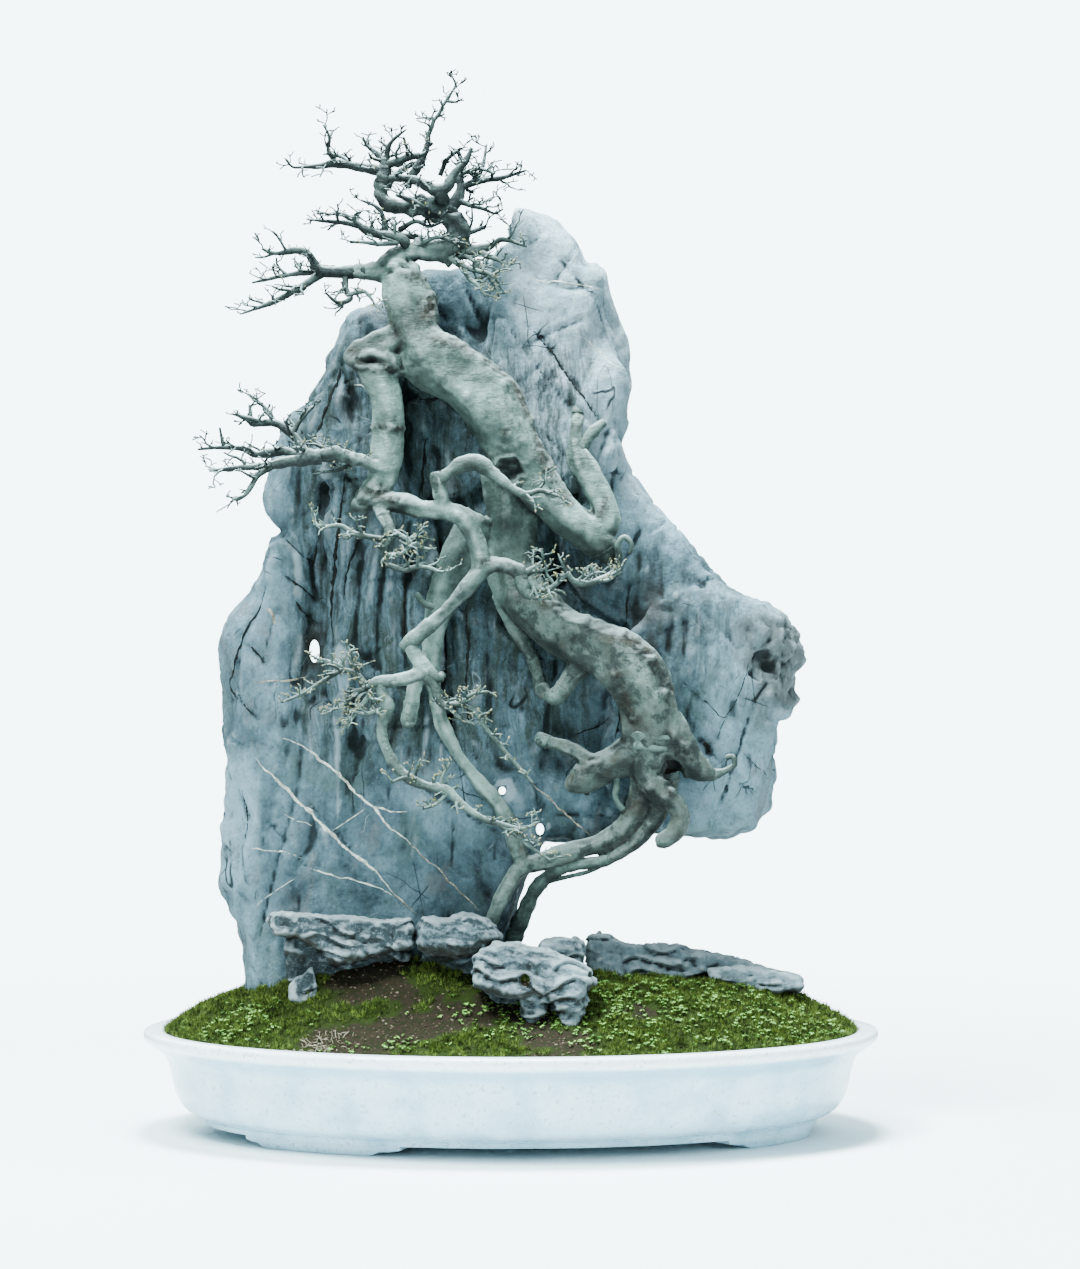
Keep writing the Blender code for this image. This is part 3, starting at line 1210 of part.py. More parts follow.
def add_limb_twigs(thicket, name):
    """Twigs of one limb, alternating from side to side, and the ones that they carry."""
    draw = random.Random(f"{name} {TWIG_SEED}")
    spacing, length = TWIG_RULES[name]
    path = limb_path(LIMBS[name])
    side = 1
    due = spacing * TWIG_START
    travelled = 0.0
    for (start, start_radius), (end, end_radius) in zip(path, path[1:]):
        run = (end - start).length / MM
        while travelled + run >= due:
            share = (due - travelled) / run
            radius = start_radius + (end_radius - start_radius) * share
            due += spacing * draw.uniform(*TWIG_SPACINGS)
            side = -side
            if radius > TWIG_FIRST_RADIUS * MM:
                continue
            long = length * draw.uniform(*TWIG_LENGTHS) * MM
            base = min(radius * TWIG_LIMB_SHARE, TWIG_RADIUS * draw.uniform(*TWIG_RADII) * MM)
            along = (end - start).normalized()
            twig = thicket.add(start.lerp(end, share), along, side, long, base, draw)
            if twig and long > TWIG_FORK_LENGTH * MM and draw.random() < TWIG_FORK_CHANCE:
                ahead = (twig[2][0] - twig[1][0]).normalized()
                fork = (long * TWIG_FORK_SHARE, base * TWIG_FORK_RADIUS)
                thicket.add(twig[1][0], ahead, -side, *fork, draw)
        travelled += run


def make_twigs(rock, wood):
    thicket = Thicket(rock, wood)
    for name in TWIG_RULES:
        add_limb_twigs(thicket, name)
    return [twig_object(path) for path in thicket.paths]


def twig_object(path):
    """A thin pointed twig."""
    shape = bmesh.new()
    rings = tube_rings(path[:-1], TWIG_SIDES, blunt=False)
    rows = [[shape.verts.new(point) for point in ring] for ring in rings]
    tip = shape.verts.new(path[-1][0])
    for low, high in zip(rows, rows[1:]):
        for i in range(TWIG_SIDES):
            k = (i + 1) % TWIG_SIDES
            shape.faces.new((low[i], low[k], high[k], high[i]))
    for i in range(TWIG_SIDES):
        shape.faces.new((rows[-1][i], rows[-1][(i + 1) % TWIG_SIDES], tip))
    shape.faces.new(rows[0][::-1])
    return object_of("twig", shape, "tree")


def make_tree(rock):
    """The tree, and the skins of its wood and limbs before they are joined."""
    tree, limbs = make_wood()
    skins = [piece.data.copy() for piece in [tree] + limbs]
    thin = limbs + make_twigs(rock, [tree] + limbs)
    kept = points_of([tree] + thin)
    combine(tree, thin, "UNION")
    keep_largest(tree)
    fewer_faces(tree, TREE_FACES, kept)
    put_in_order(tree)
    return tree, skins


def main():
    clear_scene()
    make_pot()
    rock = make_rock()
    tree, taken = make_tree(rock)
    whole = rock.data.copy()
    combine(rock, grown(taken, GAP) + grown([tree.data], SEAT_GAP), "DIFFERENCE")
    taken.append(whole)
    keep_largest(rock)
    for name, stone in STONES.items():
        made = make_stone(name, **stone)
        whole = made.data.copy()
        combine(made, grown(taken, GAP), "DIFFERENCE")
        keep_largest(made)
        taken.append(whole)
    soil = make_soil()
    combine(soil, grown(taken, GAP), "DIFFERENCE")
    keep_largest(soil)


main()
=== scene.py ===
"""Root over rock bonsai in a shallow oval pot, dressed for its picture.

Metres, +Z up, -Y to the front. Outlines and limbs are drawn in millimetres as they look from EYE:
x to the right and z up, measured in the upright plane through the pot's middle, with a depth beside them.
"""

import logging
import math
import random
from collections.abc import Callable, Iterable, Sequence
from dataclasses import dataclass, field
from enum import Enum

import bmesh
import bpy
import numpy as np
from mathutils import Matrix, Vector, noise
from mathutils.bvhtree import BVHTree


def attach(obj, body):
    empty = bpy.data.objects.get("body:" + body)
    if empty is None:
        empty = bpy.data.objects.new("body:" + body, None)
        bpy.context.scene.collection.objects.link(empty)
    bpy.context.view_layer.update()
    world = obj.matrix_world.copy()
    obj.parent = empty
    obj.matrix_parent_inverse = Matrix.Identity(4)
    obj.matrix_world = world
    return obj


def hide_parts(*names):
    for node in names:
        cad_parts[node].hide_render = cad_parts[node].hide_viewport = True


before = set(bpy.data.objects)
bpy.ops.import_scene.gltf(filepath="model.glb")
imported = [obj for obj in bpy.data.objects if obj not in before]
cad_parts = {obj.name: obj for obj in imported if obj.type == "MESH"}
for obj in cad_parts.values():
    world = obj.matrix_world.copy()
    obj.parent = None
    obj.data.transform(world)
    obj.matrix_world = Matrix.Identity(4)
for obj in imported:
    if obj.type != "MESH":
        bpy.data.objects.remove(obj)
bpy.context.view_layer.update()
BODY = "root"
LOG = logging.getLogger("bonsai")

Object = bpy.types.Object
Station = tuple[float, float, float, float]
Path = list[tuple[Vector, float]]
Rings = list[list[Vector]]

# The drawing's unit and the eye that it is seen from, in metres, and the pot's middle in it, in mm
MM = 0.001
EYE = Vector((0.033, -3.540, 0.565))
DRAWING_LEFT = 11.0

# The pot: its lip's oval in metres, and the rest in mm. Its outline, (inset from the oval, height), runs
# from the underside's edge over the lip to the floor.
POT_LENGTH = 0.835
POT_DEPTH = 0.540
POT_FLOOR = 28
POT_UNDERSIDE = 12
DRAIN_RADIUS = 14
POT_OUTSIDE = (
    (70, 12), (69, 16), (67.6, 17.6), (69.2, 18.4), (69.2, 19.6), (65, 20.2), (58, 22), (45, 30), (35, 47),
    (29, 80), (22, 93), (3, 105), (0, 109), (0, 115), (3, 118),
)
POT_INSIDE = ((21, 118), (25, 114), (43, 90), (48, 60), (64, 36), (86, 28))
# The feet: outer and inner inset, top, the arc in degrees by which diagonal it is on, and the bracket at
# each end as (share of the foot's length, height)
FOOT_INSETS = (72, 94)
FOOT_TOP = 15
FOOT_ARCS = {1: (32, 70), -1: (8, 46)}
FOOT_UNDERSIDE = ((0.0, 7.0), (0.06, 5.0), (0.11, 4.6), (0.16, 0.0))

# The soil: where it meets the pot, in mm, how far it rises, in metres, and how flat its top is towards the
# ends and the front. Then its lumps, high in mm and long in metres, and the hump at the left, in metres.
SOIL_RIM_INSET = 25.6
SOIL_RIM_HEIGHT = 115.5
RIM_TO_MOUND = 0.063
SOIL_EDGE_POWER = 4.5
SOIL_FRONT_POWER = 1.6
SOIL_LUMPS = 3.0
SOIL_LUMP_LENGTH = 0.045
SOIL_LUMP_FADE = 4
SOIL_HUMP_PLACE = (-0.125, -0.088)
SOIL_HUMP_SIZE = (0.130, 0.075)
SOIL_HUMP_HEIGHT = 0.035

# The rock's lobes: the drawn outline, the depths of front and back, how far the edge is rounded, and the
# lean of its front and back
ROCK_LOBES = {
    "slab": dict(
        outline=((-276, 30), (-290, 130), (-293, 212), (-299, 231), (-308, 250), (-315, 282),
                 (-313, 330), (-311, 378), (-311, 427), (-312, 471), (-313, 500), (-250, 512),
                 (-200, 495), (-150, 470), (-60, 460), (0, 430), (42, 390), (52, 345), (39, 306),
                 (24, 285), (18, 264), (7, 224), (0, 160), (-12, 30)),
        front=-62, back=88, edge=26, lean=(-0.06, 0.05)),
    "shoulder": dict(
        outline=((-311, 440), (-312, 471), (-315, 515), (-318, 560), (-311, 586), (-286, 615),
                 (-270, 641), (-270, 652), (-267, 673), (-246, 683), (-215, 680), (-196, 640),
                 (-193, 560), (-200, 480), (-250, 440)),
        front=-44, back=84, edge=24, lean=(0.10, 0.04)),
    "strip": dict(
        outline=((-246, 683), (-256, 689), (-267, 702), (-270, 725), (-264, 741), (-261, 770),
                 (-250, 798), (-235, 821), (-218, 832), (-202, 866), (-188, 862), (-178, 780),
                 (-182, 700), (-196, 640), (-232, 655)),
        front=-30, back=80, edge=22, lean=(0.12, 0.0)),
    "peak": dict(
        outline=((-222, 800), (-202, 866), (-186, 901), (-176, 925), (-160, 935), (-137, 929),
                 (-112, 900), (-104, 830), (-112, 740), (-160, 720), (-205, 740)),
        front=-46, back=84, edge=22, lean=(0.05, 0.12)),
    "grooved": dict(
        outline=((-196, 500), (-196, 640), (-188, 740), (-150, 770), (-104, 760), (-78, 700),
                 (-70, 600), (-62, 480), (-80, 410), (-150, 420), (-186, 450)),
        front=-54, back=96, edge=18, lean=(0.0, 0.02)),
    "heart": dict(
        outline=((-130, 820), (-60, 840), (0, 820), (60, 780), (90, 700), (90, 600), (60, 500),
                 (20, 420), (-60, 400), (-110, 470), (-130, 600)),
        front=-30, back=108, edge=24, lean=(0.0, 0.0)),
    "ridge": dict(
        outline=((-160, 905), (-120, 950), (-87, 978), (-73, 977), (-47, 983), (-17, 991),
                 (-3, 998), (50, 985), (80, 880), (60, 760), (-60, 720), (-150, 760)),
        front=-34, back=92, edge=22, lean=(0.0, 0.10)),
    "column": dict(
        outline=((-18, 930), (-3, 998), (5, 1002), (14, 1011), (14, 1025), (17, 1048), (35, 1046),
                 (63, 1034), (81, 1019), (91, 1001), (95, 988), (107, 988), (117, 977), (120, 955),
                 (124, 936), (134, 911), (143, 884), (145, 845), (141, 812), (134, 781),
                 (140, 762), (100, 716), (44, 728), (4, 780), (-14, 850)),
        front=-58, back=98, edge=24, lean=(0.10, 0.08)),
    "brow": dict(
        outline=((134, 781), (140, 762), (171, 715), (206, 674), (226, 650), (242, 635), (269, 613),
                 (299, 602), (310, 560), (250, 540), (170, 560), (90, 600), (60, 680), (80, 760)),
        front=-52, back=96, edge=22, lean=(0.08, 0.10)),
    "right": dict(
        outline=((299, 602), (327, 586), (335, 576), (343, 553), (338, 524), (329, 497), (327, 478),
                 (312, 471), (310, 453), (306, 420), (304, 387), (302, 367), (285, 346), (261, 335),
                 (213, 337), (170, 340), (120, 352), (110, 420), (130, 520), (160, 600), (240, 628)),
        front=-66, back=94, edge=26, lean=(0.12, -0.03)),
    "belly": dict(
        outline=((-52, 640), (20, 650), (44, 600), (50, 520), (56, 440), (40, 390), (0, 372),
                 (-40, 410), (-58, 500)),
        front=-56, back=60, edge=20, lean=(0.05, 0.02)),
    "panel": dict(
        outline=((36, 600), (150, 610), (150, 520), (146, 430), (150, 360), (113, 331), (70, 330),
                 (39, 330), (30, 420)),
        front=-48, back=88, edge=16, lean=(0.03, 0.0)),
}

# The holes through the rock, how deep they are cut, and the eroded cavity under its nose
ROCK_HOLES = (
    dict(place=(-213, 546), size=(11, 26)),
    dict(place=(1, 387), size=(8, 9)),
    dict(place=(44, 343), size=(9, 13)),
)
ROCK_HOLE_DEPTHS = (-140, 160)
NOSE_HOLLOW = dict(place=(306, 532), depth=-72, size=(24, 20, 24))

# A lobe's rounded edge: where its middle ring lies, the least width of its ends, and the spacing of
# its corners, as shares of the edge, of the width and of the edge
EDGE_BEVEL = 0.29
LEAST_WIDTH = 0.2
OUTLINE_STEP = 2.0

# The back of a lobe deeper than this leans forwards above its middle level and backwards below it,
# and is upright again down in the pot, all in mm
ROCK_DEEP = 100
BACK_LEAN = -0.09
BACK_LEVEL = 540
BACK_FULL = 340

# The rock is plain below this level, in mm, where the soil hides it
BURIED_LEVEL = 150

# The lobes of each stone, and the hole through the eroded one
STONES = {
    "stone_flat": (
        dict(outline=((-267, 240), (-262, 247), (-240, 247), (-200, 245), (-150, 240), (-122, 239),
                      (-102, 241), (-99, 226), (-101, 208), (-118, 206), (-150, 198), (-185, 191),
                      (-197, 197), (-212, 211), (-236, 222), (-258, 224)),
             front=-132, back=-58, edge=9, lean=(0.05, 0.25)),
        dict(outline=((-246, 216), (-200, 226), (-120, 222), (-104, 200), (-120, 150), (-180, 140),
                      (-232, 150)),
             front=-92, back=-52, edge=10, lean=(0.0, 0.0)),
    ),
    "stone_boulder": (
        dict(outline=((-97, 214), (-96, 235), (-89, 243), (-60, 242), (-46, 246), (-28, 246),
                      (-14, 240), (-4, 230), (1, 219), (-10, 212), (-30, 200), (-50, 197),
                      (-80, 201), (-94, 206)),
             front=-136, back=-78, edge=16, lean=(0.0, 0.15)),
        dict(outline=((-90, 208), (-40, 214), (-10, 212), (-8, 170), (-30, 140), (-80, 142)),
             front=-99, back=-73, edge=8, lean=(0.0, 0.0)),
    ),
    "stone_holed": (
        dict(outline=((-33, 178), (-31, 194), (-24, 205), (-8, 213), (14, 213), (40, 208),
                      (62, 202), (82, 192), (103, 181), (101, 177), (60, 182), (48, 182),
                      (92, 176), (105, 170), (98, 162), (60, 158), (20, 150), (-12, 158),
                      (-30, 166)),
             front=-178, back=-112, edge=10, lean=(0.0, 0.30)),
        dict(outline=((24, 165), (26, 124), (32, 119), (42, 124), (52, 142), (60, 165)),
             front=-176, back=-140, edge=7, lean=(0.0, 0.0)),
        dict(outline=((46, 168), (56, 146), (66, 126), (76, 112), (88, 112), (94, 132),
                      (97, 165), (80, 176)),
             front=-182, back=-132, edge=8, lean=(0.0, 0.0)),
        dict(outline=((-20, 176), (0, 186), (40, 176), (44, 130), (0, 120)),
             front=-138, back=-108, edge=8, lean=(0.0, 0.0)),
    ),
    "stone_slab": (
        dict(outline=((97, 200), (99, 218), (104, 225), (112, 226), (140, 214), (200, 210),
                      (230, 203), (262, 198), (290, 188), (316, 181), (300, 179), (246, 178),
                      (214, 174), (202, 150), (150, 140), (104, 150)),
             front=-24, back=44, edge=12, lean=(0.0, 0.25)),
        dict(outline=((236, 184), (262, 186), (296, 184), (338, 175), (346, 164), (338, 158),
                      (300, 157), (262, 162), (244, 168)),
             front=-44, back=26, edge=8, lean=(0.0, 0.2)),
        dict(outline=((214, 180), (300, 174), (290, 140), (220, 140)),
             front=-14, back=24, edge=8, lean=(0.0, 0.0)),
    ),
    "stone_small": (
        dict(outline=((43, 206), (48, 215), (62, 220), (82, 220), (93, 214), (95, 200),
                      (80, 150), (50, 150)),
             front=-96, back=-52, edge=8, lean=(0.0, 0.2)),
    ),
    "stone_chip": (
        dict(outline=((-238, 171), (-226, 178), (-217, 188), (-212, 176), (-208, 130), (-236, 130)),
             front=-122, back=-106, edge=4, lean=(0.0, 0.3)),
    ),
}
STONE_HOLE = dict(place=(27, 171), depths=(-220, -60), size=(11, 14))

# The tree's limbs: each station's drawn x and z, its depth and its radius
LIMBS = {
    "bole": (
        (-122, 990, -66, 13), (-113, 966, -70, 24), (-103, 938, -74, 29), (-98, 910, -78, 29),
        (-84, 884, -82, 33), (-56, 866, -86, 34), (-26, 842, -88, 34), (-4, 812, -88, 33),
        (12, 780, -86, 31), (32, 750, -84, 26), (50, 722, -84, 23), (72, 700, -84, 22),
        (98, 682, -82, 20), (118, 664, -80, 16), (128, 648, -76, 9), (133, 636, -74, 5)),
    "loop": (
        (98, 684, -82, 16), (118, 690, -80, 16), (117, 712, -78, 15), (105, 738, -76, 14),
        (92, 760, -73, 15), (86, 775, -71, 12), (85, 795, -70, 8.5), (86, 815, -66, 7.5),
        (87, 828, -60, 7)),
    "loop_fork": ((90, 778, -71, 9), (104, 796, -68, 7), (117, 807, -63, 5)),
    "arch": (
        (2, 760, -64, 26), (8, 725, -62, 28), (12, 690, -62, 29), (10, 655, -64, 29),
        (20, 622, -74, 29), (42, 592, -84, 28), (66, 570, -92, 27), (96, 556, -98, 29),
        (128, 540, -100, 33), (152, 515, -98, 35), (166, 485, -94, 33), (172, 455, -92, 33),
        (170, 432, -92, 28)),
    "right_leg": (
        (172, 490, -82, 8), (184, 462, -92, 22), (200, 440, -90, 20), (214, 424, -86, 18),
        (228, 412, -80, 14),
        (240, 406, -76, 8), (254, 409, -73, 4), (266, 417, -72, 3.2), (263, 426, -71, 3),
        (256, 424, -69, 3)),
    "middle_leg": (
        (158, 474, -82, 8), (168, 440, -92, 24), (166, 412, -96, 18), (176, 392, -100, 15),
        (192, 377, -102, 13),
        (204, 365, -102, 11), (203, 350, -100, 10), (196, 336, -98, 10), (184, 330, -96, 9.5),
        (177, 330, -95, 6)),
    "left_leg": (
        (156, 468, -78, 8), (158, 436, -88, 24), (132, 422, -84, 20), (108, 408, -80, 20), (92, 398, -76, 17),
        (82, 394, -72, 10)),
    "left_rootlet": (
        (104, 418, -80, 10), (88, 430, -74, 9), (70, 438, -68, 8), (54, 442, -64, 7.5),
        (46, 446, -61, 8), (41, 448, -58, 5)),
    "arch_stub": (
        (100, 535, -96, 14), (84, 522, -98, 12), (72, 506, -96, 10), (62, 494, -90, 9),
        (52, 494, -82, 6)),
    "buttress": (
        (-6, 612, -70, 7), (10, 582, -66, 8), (28, 552, -64, 8), (40, 526, -64, 8),
        (46, 504, -68, 8), (54, 496, -78, 7)),
    "left_foot": (
        (164, 402, -86, 16), (157, 374, -80, 15), (143, 347, -76, 13.5), (118, 329, -72, 12),
        (92, 320, -68, 11.5), (64, 312, -68, 11), (42, 306, -73, 10.5), (24, 300, -77, 9.5),
        (11, 284, -79, 8.5), (0, 261, -79, 8.5), (-9, 243, -77, 8.5), (-16, 226, -66, 9.5),
        (-20, 208, -52, 11), (-22, 184, -42, 12), (-24, 150, -36, 10), (-26, 110, -32, 6)),
    "right_foot": (
        (172, 388, -86, 9), (181, 366, -88, 9), (168, 344, -84, 8), (148, 325, -80, 7.5),
        (118, 307.5, -73, 7), (86, 302.5, -67, 6.5), (60, 294, -61, 7), (40, 276, -54, 8),
        (27, 250, -48, 9), (17, 227, -42, 10), (8, 195, -36, 11), (4, 150, -30, 9),
        (2, 110, -26, 6)),
    "foot_strand": (
        (122, 307, -74, 3), (100, 295, -68, 2.6), (72, 288, -63, 2.6), (45, 279, -57, 2.6),
        (30, 258, -50, 3)),
    "hook": ((128, 408, -84, 4), (132, 396, -92, 3.4), (130, 380, -92, 3.2), (138, 366, -84, 4)),
    "slender": (
        (-22, 700, -62, 20), (-42, 668, -62, 20), (-58, 632, -60, 19), (-70, 594, -58, 16),
        (-78, 556, -58, 13), (-80, 516, -60, 10), (-72, 478, -62, 8), (-58, 444, -62, 8),
        (-38, 412, -62, 8), (-18, 388, -64, 8.5), (2, 364, -68, 9), (14, 338, -72, 10),
        (22, 312, -75, 10)),
    "slender_spur": ((-70, 594, -66, 4), (-88, 600, -74, 3.4), (-97, 612, -76, 2.2)),
    "hanging_stub": (
        (-88, 540, -64, 8), (-97, 512, -68, 8), (-102, 488, -71, 9), (-106, 466, -72, 8.5),
        (-107, 458, -72, 5)),
    "pillar": (
        (-104, 906, -76, 20), (-124, 900, -78, 18), (-146, 884, -82, 21), (-142, 862, -84, 20),
        (-132, 836, -84, 18.5), (-128, 806, -84, 18), (-128, 776, -84, 17.5),
        (-134, 748, -86, 17.5), (-144, 728, -88, 16), (-160, 714, -90, 11), (-170, 708, -90, 5)),
    "pillar_knob": (
        (-172, 874, -84, 10), (-160, 884, -84, 17), (-140, 884, -84, 18), (-124, 872, -84, 14),
        (-118, 866, -84, 9)),
    "front_branch": (
        (-150, 722, -92, 12), (-132, 716, -96, 11), (-112, 715, -106, 12), (-90, 707, -116, 10.5),
        (-66, 705, -124, 11), (-46, 699, -128, 12), (-34, 682, -130, 11), (-26, 662, -130, 11),
        (-24, 640, -132, 11), (-38, 618, -136, 9.5), (-58, 597, -140, 8.5), (-80, 577, -144, 8.5),
        (-102, 558, -146, 8), (-114, 549, -146, 5)),
    "front_second": (
        (-106, 556, -146, 8), (-97, 540, -148, 8.5), (-86, 524, -150, 8.5), (-76, 516, -150, 7),
        (-66, 516, -148, 4)),
    "front_left": (
        (-86, 522, -150, 7), (-104, 516, -152, 7), (-124, 512, -152, 7), (-142, 510, -152, 6.5),
        (-154, 506, -152, 5), (-164, 518, -150, 4), (-178, 524, -147, 3), (-194, 519, -144, 2)),
    "front_right": (
        (-84, 518, -150, 7), (-76, 506, -152, 6), (-72, 492, -154, 5.5), (-64, 484, -155, 4.2),
        (-48, 485, -156, 3.4), (-32, 478, -157, 2.6), (-20, 462, -158, 1.8)),
    "cascade": (
        (-138, 512, -152, 6), (-136, 498, -154, 6), (-129, 484, -156, 7), (-135, 468, -158, 6.5),
        (-136, 450, -160, 6), (-129, 430, -162, 6), (-118, 412, -164, 6), (-104, 400, -166, 5.5),
        (-84, 392, -168, 5), (-62, 388, -170, 5), (-50, 376, -172, 4.5), (-36, 364, -172, 4),
        (-18, 354, -172, 3.5), (2, 348, -172, 2.6), (20, 344, -172, 2)),
    "cascade_tip": (
        (-8, 351, -172, 2.8), (14, 338, -172, 2.2), (34, 322, -172, 1.8), (56, 308, -172, 1.2)),
    "heart_stub": (
        (-66, 712, -124, 9), (-70, 728, -126, 8), (-74, 742, -128, 8.5), (-76, 750, -128, 5)),
    "heart_branch": (
        (-72, 738, -128, 6.5), (-60, 750, -128, 7), (-46, 758, -128, 9), (-28, 761, -130, 10),
        (-14, 752, -132, 8), (-2, 742, -134, 7), (12, 731, -136, 5), (28, 725, -138, 4),
        (44, 729, -138, 2.8), (58, 725, -138, 2), (70, 721, -138, 1.2)),
    "arm": (
        (-24, 640, -132, 10), (-6, 645, -132, 8), (10, 643, -132, 8.5), (22, 632, -132, 8),
        (26, 616, -132, 8), (34, 610, -132, 6), (48, 610, -132, 4.5), (58, 606, -132, 3)),
    "arm_up": ((22, 632, -132, 6), (36, 639, -131, 4), (47, 647, -130, 2.6)),
    "arm_mid": ((30, 628, -132, 5), (40, 618, -132, 5), (52, 612, -132, 4)),
    "arm_out": (
        (46, 611, -133, 4), (62, 622, -137, 3), (74, 634, -137, 3), (82, 626, -134, 3.5),
        (98, 623, -126, 3.5), (114, 628, -112, 4), (126, 633, -94, 4.5), (133, 640, -80, 5)),
    "curl": (
        (131, 638, -80, 5), (134, 655, -94, 4), (133, 668, -102, 3.5), (140, 676, -103, 3),
        (148, 668, -101, 3), (146, 657, -97, 2.4)),
    "low_pad": (
        (-138, 712, -96, 8), (-134, 700, -106, 8), (-128, 688, -114, 7), (-128, 676, -120, 6),
        (-134, 664, -126, 5), (-132, 652, -130, 4), (-128, 641, -132, 3.2)),
    "low_pad_left": (
        (-130, 672, -120, 4), (-150, 676, -124, 3.4), (-168, 680, -126, 3), (-184, 689, -126, 2.6),
        (-200, 688, -124, 2), (-214, 691, -122, 1.4)),
    "low_pad_mid": ((-132, 655, -128, 3.4), (-114, 656, -136, 3), (-100, 669, -140, 2)),
    "low_pad_right": (
        (-128, 644, -132, 3.4), (-110, 638, -136, 3), (-95, 642, -138, 2.6), (-80, 640, -140, 2.2),
        (-68, 635, -142, 1.4)),
    "low_pad_high": (
        (-128, 684, -116, 3.6), (-112, 676, -124, 3), (-96, 665, -128, 2.6), (-80, 662, -130, 1.6)),
    "left_pad": (
        (-128, 752, -92, 9), (-146, 757, -100, 7), (-164, 764, -106, 7.5), (-184, 770, -112, 8),
        (-206, 768, -116, 8), (-226, 764, -118, 7), (-244, 762, -120, 6.5), (-262, 758, -122, 5),
        (-280, 756, -124, 4), (-300, 755, -126, 3), (-318, 753, -128, 2.5), (-333, 752, -128, 1.6)),
    "left_pad_upper": (
        (-228, 767, -118, 5.5), (-246, 774, -114, 5), (-262, 772, -110, 5), (-280, 770, -106, 4),
        (-292, 776, -104, 3.5), (-308, 778, -102, 3), (-326, 778, -100, 2.4), (-346, 776, -98, 1.4)),
    "left_pad_twig": ((-316, 778, -101, 2.4), (-319, 790, -101, 1.8), (-321, 801, -101, 1.2)),
    "left_pad_top": (
        (-220, 768, -118, 5.5), (-232, 786, -112, 4.5), (-244, 798, -108, 4.5),
        (-258, 806, -106, 4.5), (-274, 806, -104, 4.5), (-285, 806, -102, 3.6),
        (-286, 816, -100, 2.5), (-287, 827, -99, 1.6)),
    "left_pad_tip": ((-272, 807, -104, 3), (-290, 812, -110, 2.2), (-308, 817, -114, 1.4)),
    "left_pad_back": ((-258, 806, -104, 3), (-268, 822, -96, 2.4), (-288, 839, -90, 1.4)),
    "left_pad_low": (
        (-258, 758, -122, 3.8), (-276, 748, -126, 3.2), (-284, 736, -130, 3), (-292, 724, -132, 2.4),
        (-303, 717, -134, 1.6)),
    "left_pad_inner": ((-238, 795, -110, 3.4), (-228, 811, -106, 2.6), (-214, 825, -100, 1.6)),
    "crown_left": (
        (-122, 972, -66, 12), (-140, 976, -66, 10), (-156, 978, -66, 9), (-175, 978, -68, 7),
        (-195, 978, -70, 6.2), (-208, 980, -72, 5.8), (-215, 991, -74, 5), (-222, 1000, -76, 4.6),
        (-236, 1003, -78, 4), (-250, 1000, -80, 3), (-262, 1000, -82, 2.4), (-273, 1005, -84, 1.5)),
    "crown_left_low": (
        (-206, 976, -72, 5), (-222, 965, -80, 4.4), (-238, 956, -86, 4), (-252, 948, -90, 3.6),
        (-265, 942, -92, 3), (-281, 936, -94, 2), (-298, 930, -96, 1.2)),
    "crown_left_back": (
        (-208, 978, -70, 4), (-228, 977, -52, 3.2), (-248, 974, -40, 2.6), (-284, 966, -30, 1.4)),
    "crown_hang": ((-178, 976, -68, 3.8), (-177, 958, -78, 3.2), (-172, 948, -84, 3), (-186, 943, -92, 2.4),
                   (-200, 954, -98, 1.4)),
    "crown_hang_right": ((-173, 952, -84, 2.8), (-156, 956, -90, 2.2), (-142, 938, -94, 1.4)),
    "leader": (
        (-118, 968, -70, 17), (-126, 986, -66, 16), (-113, 996, -66, 13), (-95, 1003, -66, 11.5),
        (-80, 1001, -66, 11), (-62, 1003, -66, 12), (-50, 1018, -66, 13), (-54, 1037, -66, 13),
        (-72, 1046, -66, 12), (-90, 1054, -66, 12), (-113, 1053, -68, 8.5), (-129, 1055, -70, 7.5),
        (-137, 1067, -70, 7.5), (-135, 1080, -70, 8), (-133, 1095, -70, 7.5), (-132, 1108, -70, 5)),
    "leader_left": (
        (-134, 1092, -70, 6), (-151, 1096, -72, 6), (-170, 1099, -74, 5), (-190, 1102, -76, 4.6),
        (-206, 1099, -78, 3.2), (-224, 1098, -80, 2.2), (-238, 1098, -82, 1.6), (-246, 1107, -84, 1)),
    "leader_left_up": (
        (-188, 1102, -76, 3), (-197, 1116, -78, 2.4), (-196, 1132, -80, 1.8), (-203, 1146, -82, 1)),
    "leader_left_back": ((-168, 1099, -72, 3.4), (-184, 1110, -56, 2.6), (-200, 1113, -42, 1.6)),
    "leader_up": (
        (-133, 1100, -70, 4.6), (-141, 1112, -66, 3.6), (-150, 1120, -62, 2.6),
        (-158, 1130, -58, 1.4)),
    "leader_tip": (
        (-131, 1104, -70, 4), (-129, 1120, -74, 2.8), (-122, 1130, -78, 2), (-108, 1141, -82, 1)),
    "leader_right": (
        (-132, 1100, -70, 5), (-118, 1104, -76, 5), (-106, 1109, -80, 4.2), (-93, 1111, -84, 3)),
    "spire": (
        (-107, 1076, -82, 4.6), (-101, 1089, -77, 4.8), (-93, 1101, -74, 4.4), (-88, 1112, -74, 4),
        (-84, 1124, -74, 3.2), (-83, 1135, -74, 2.8), (-79, 1144, -74, 2.6), (-77, 1151, -74, 2.3),
        (-71, 1158, -74, 2.1), (-67, 1167, -74, 1.9), (-61, 1176, -74, 1.8), (-56, 1184, -74, 1.6),
        (-52, 1191, -74, 1.5), (-54, 1197, -74, 1.3), (-57, 1203, -74, 0.9)),
    "spire_left": ((-76, 1153, -74, 1.8), (-88, 1154, -76, 1.3), (-97, 1153, -78, 0.9)),
    "spire_right": ((-63, 1173, -74, 1.7), (-52, 1172, -76, 1.3), (-44, 1176, -78, 0.9)),
    "second_arch": (
        (-134, 1084, -70, 4), (-116, 1085, -78, 4.4), (-100, 1083, -84, 5), (-86, 1077, -86, 6),
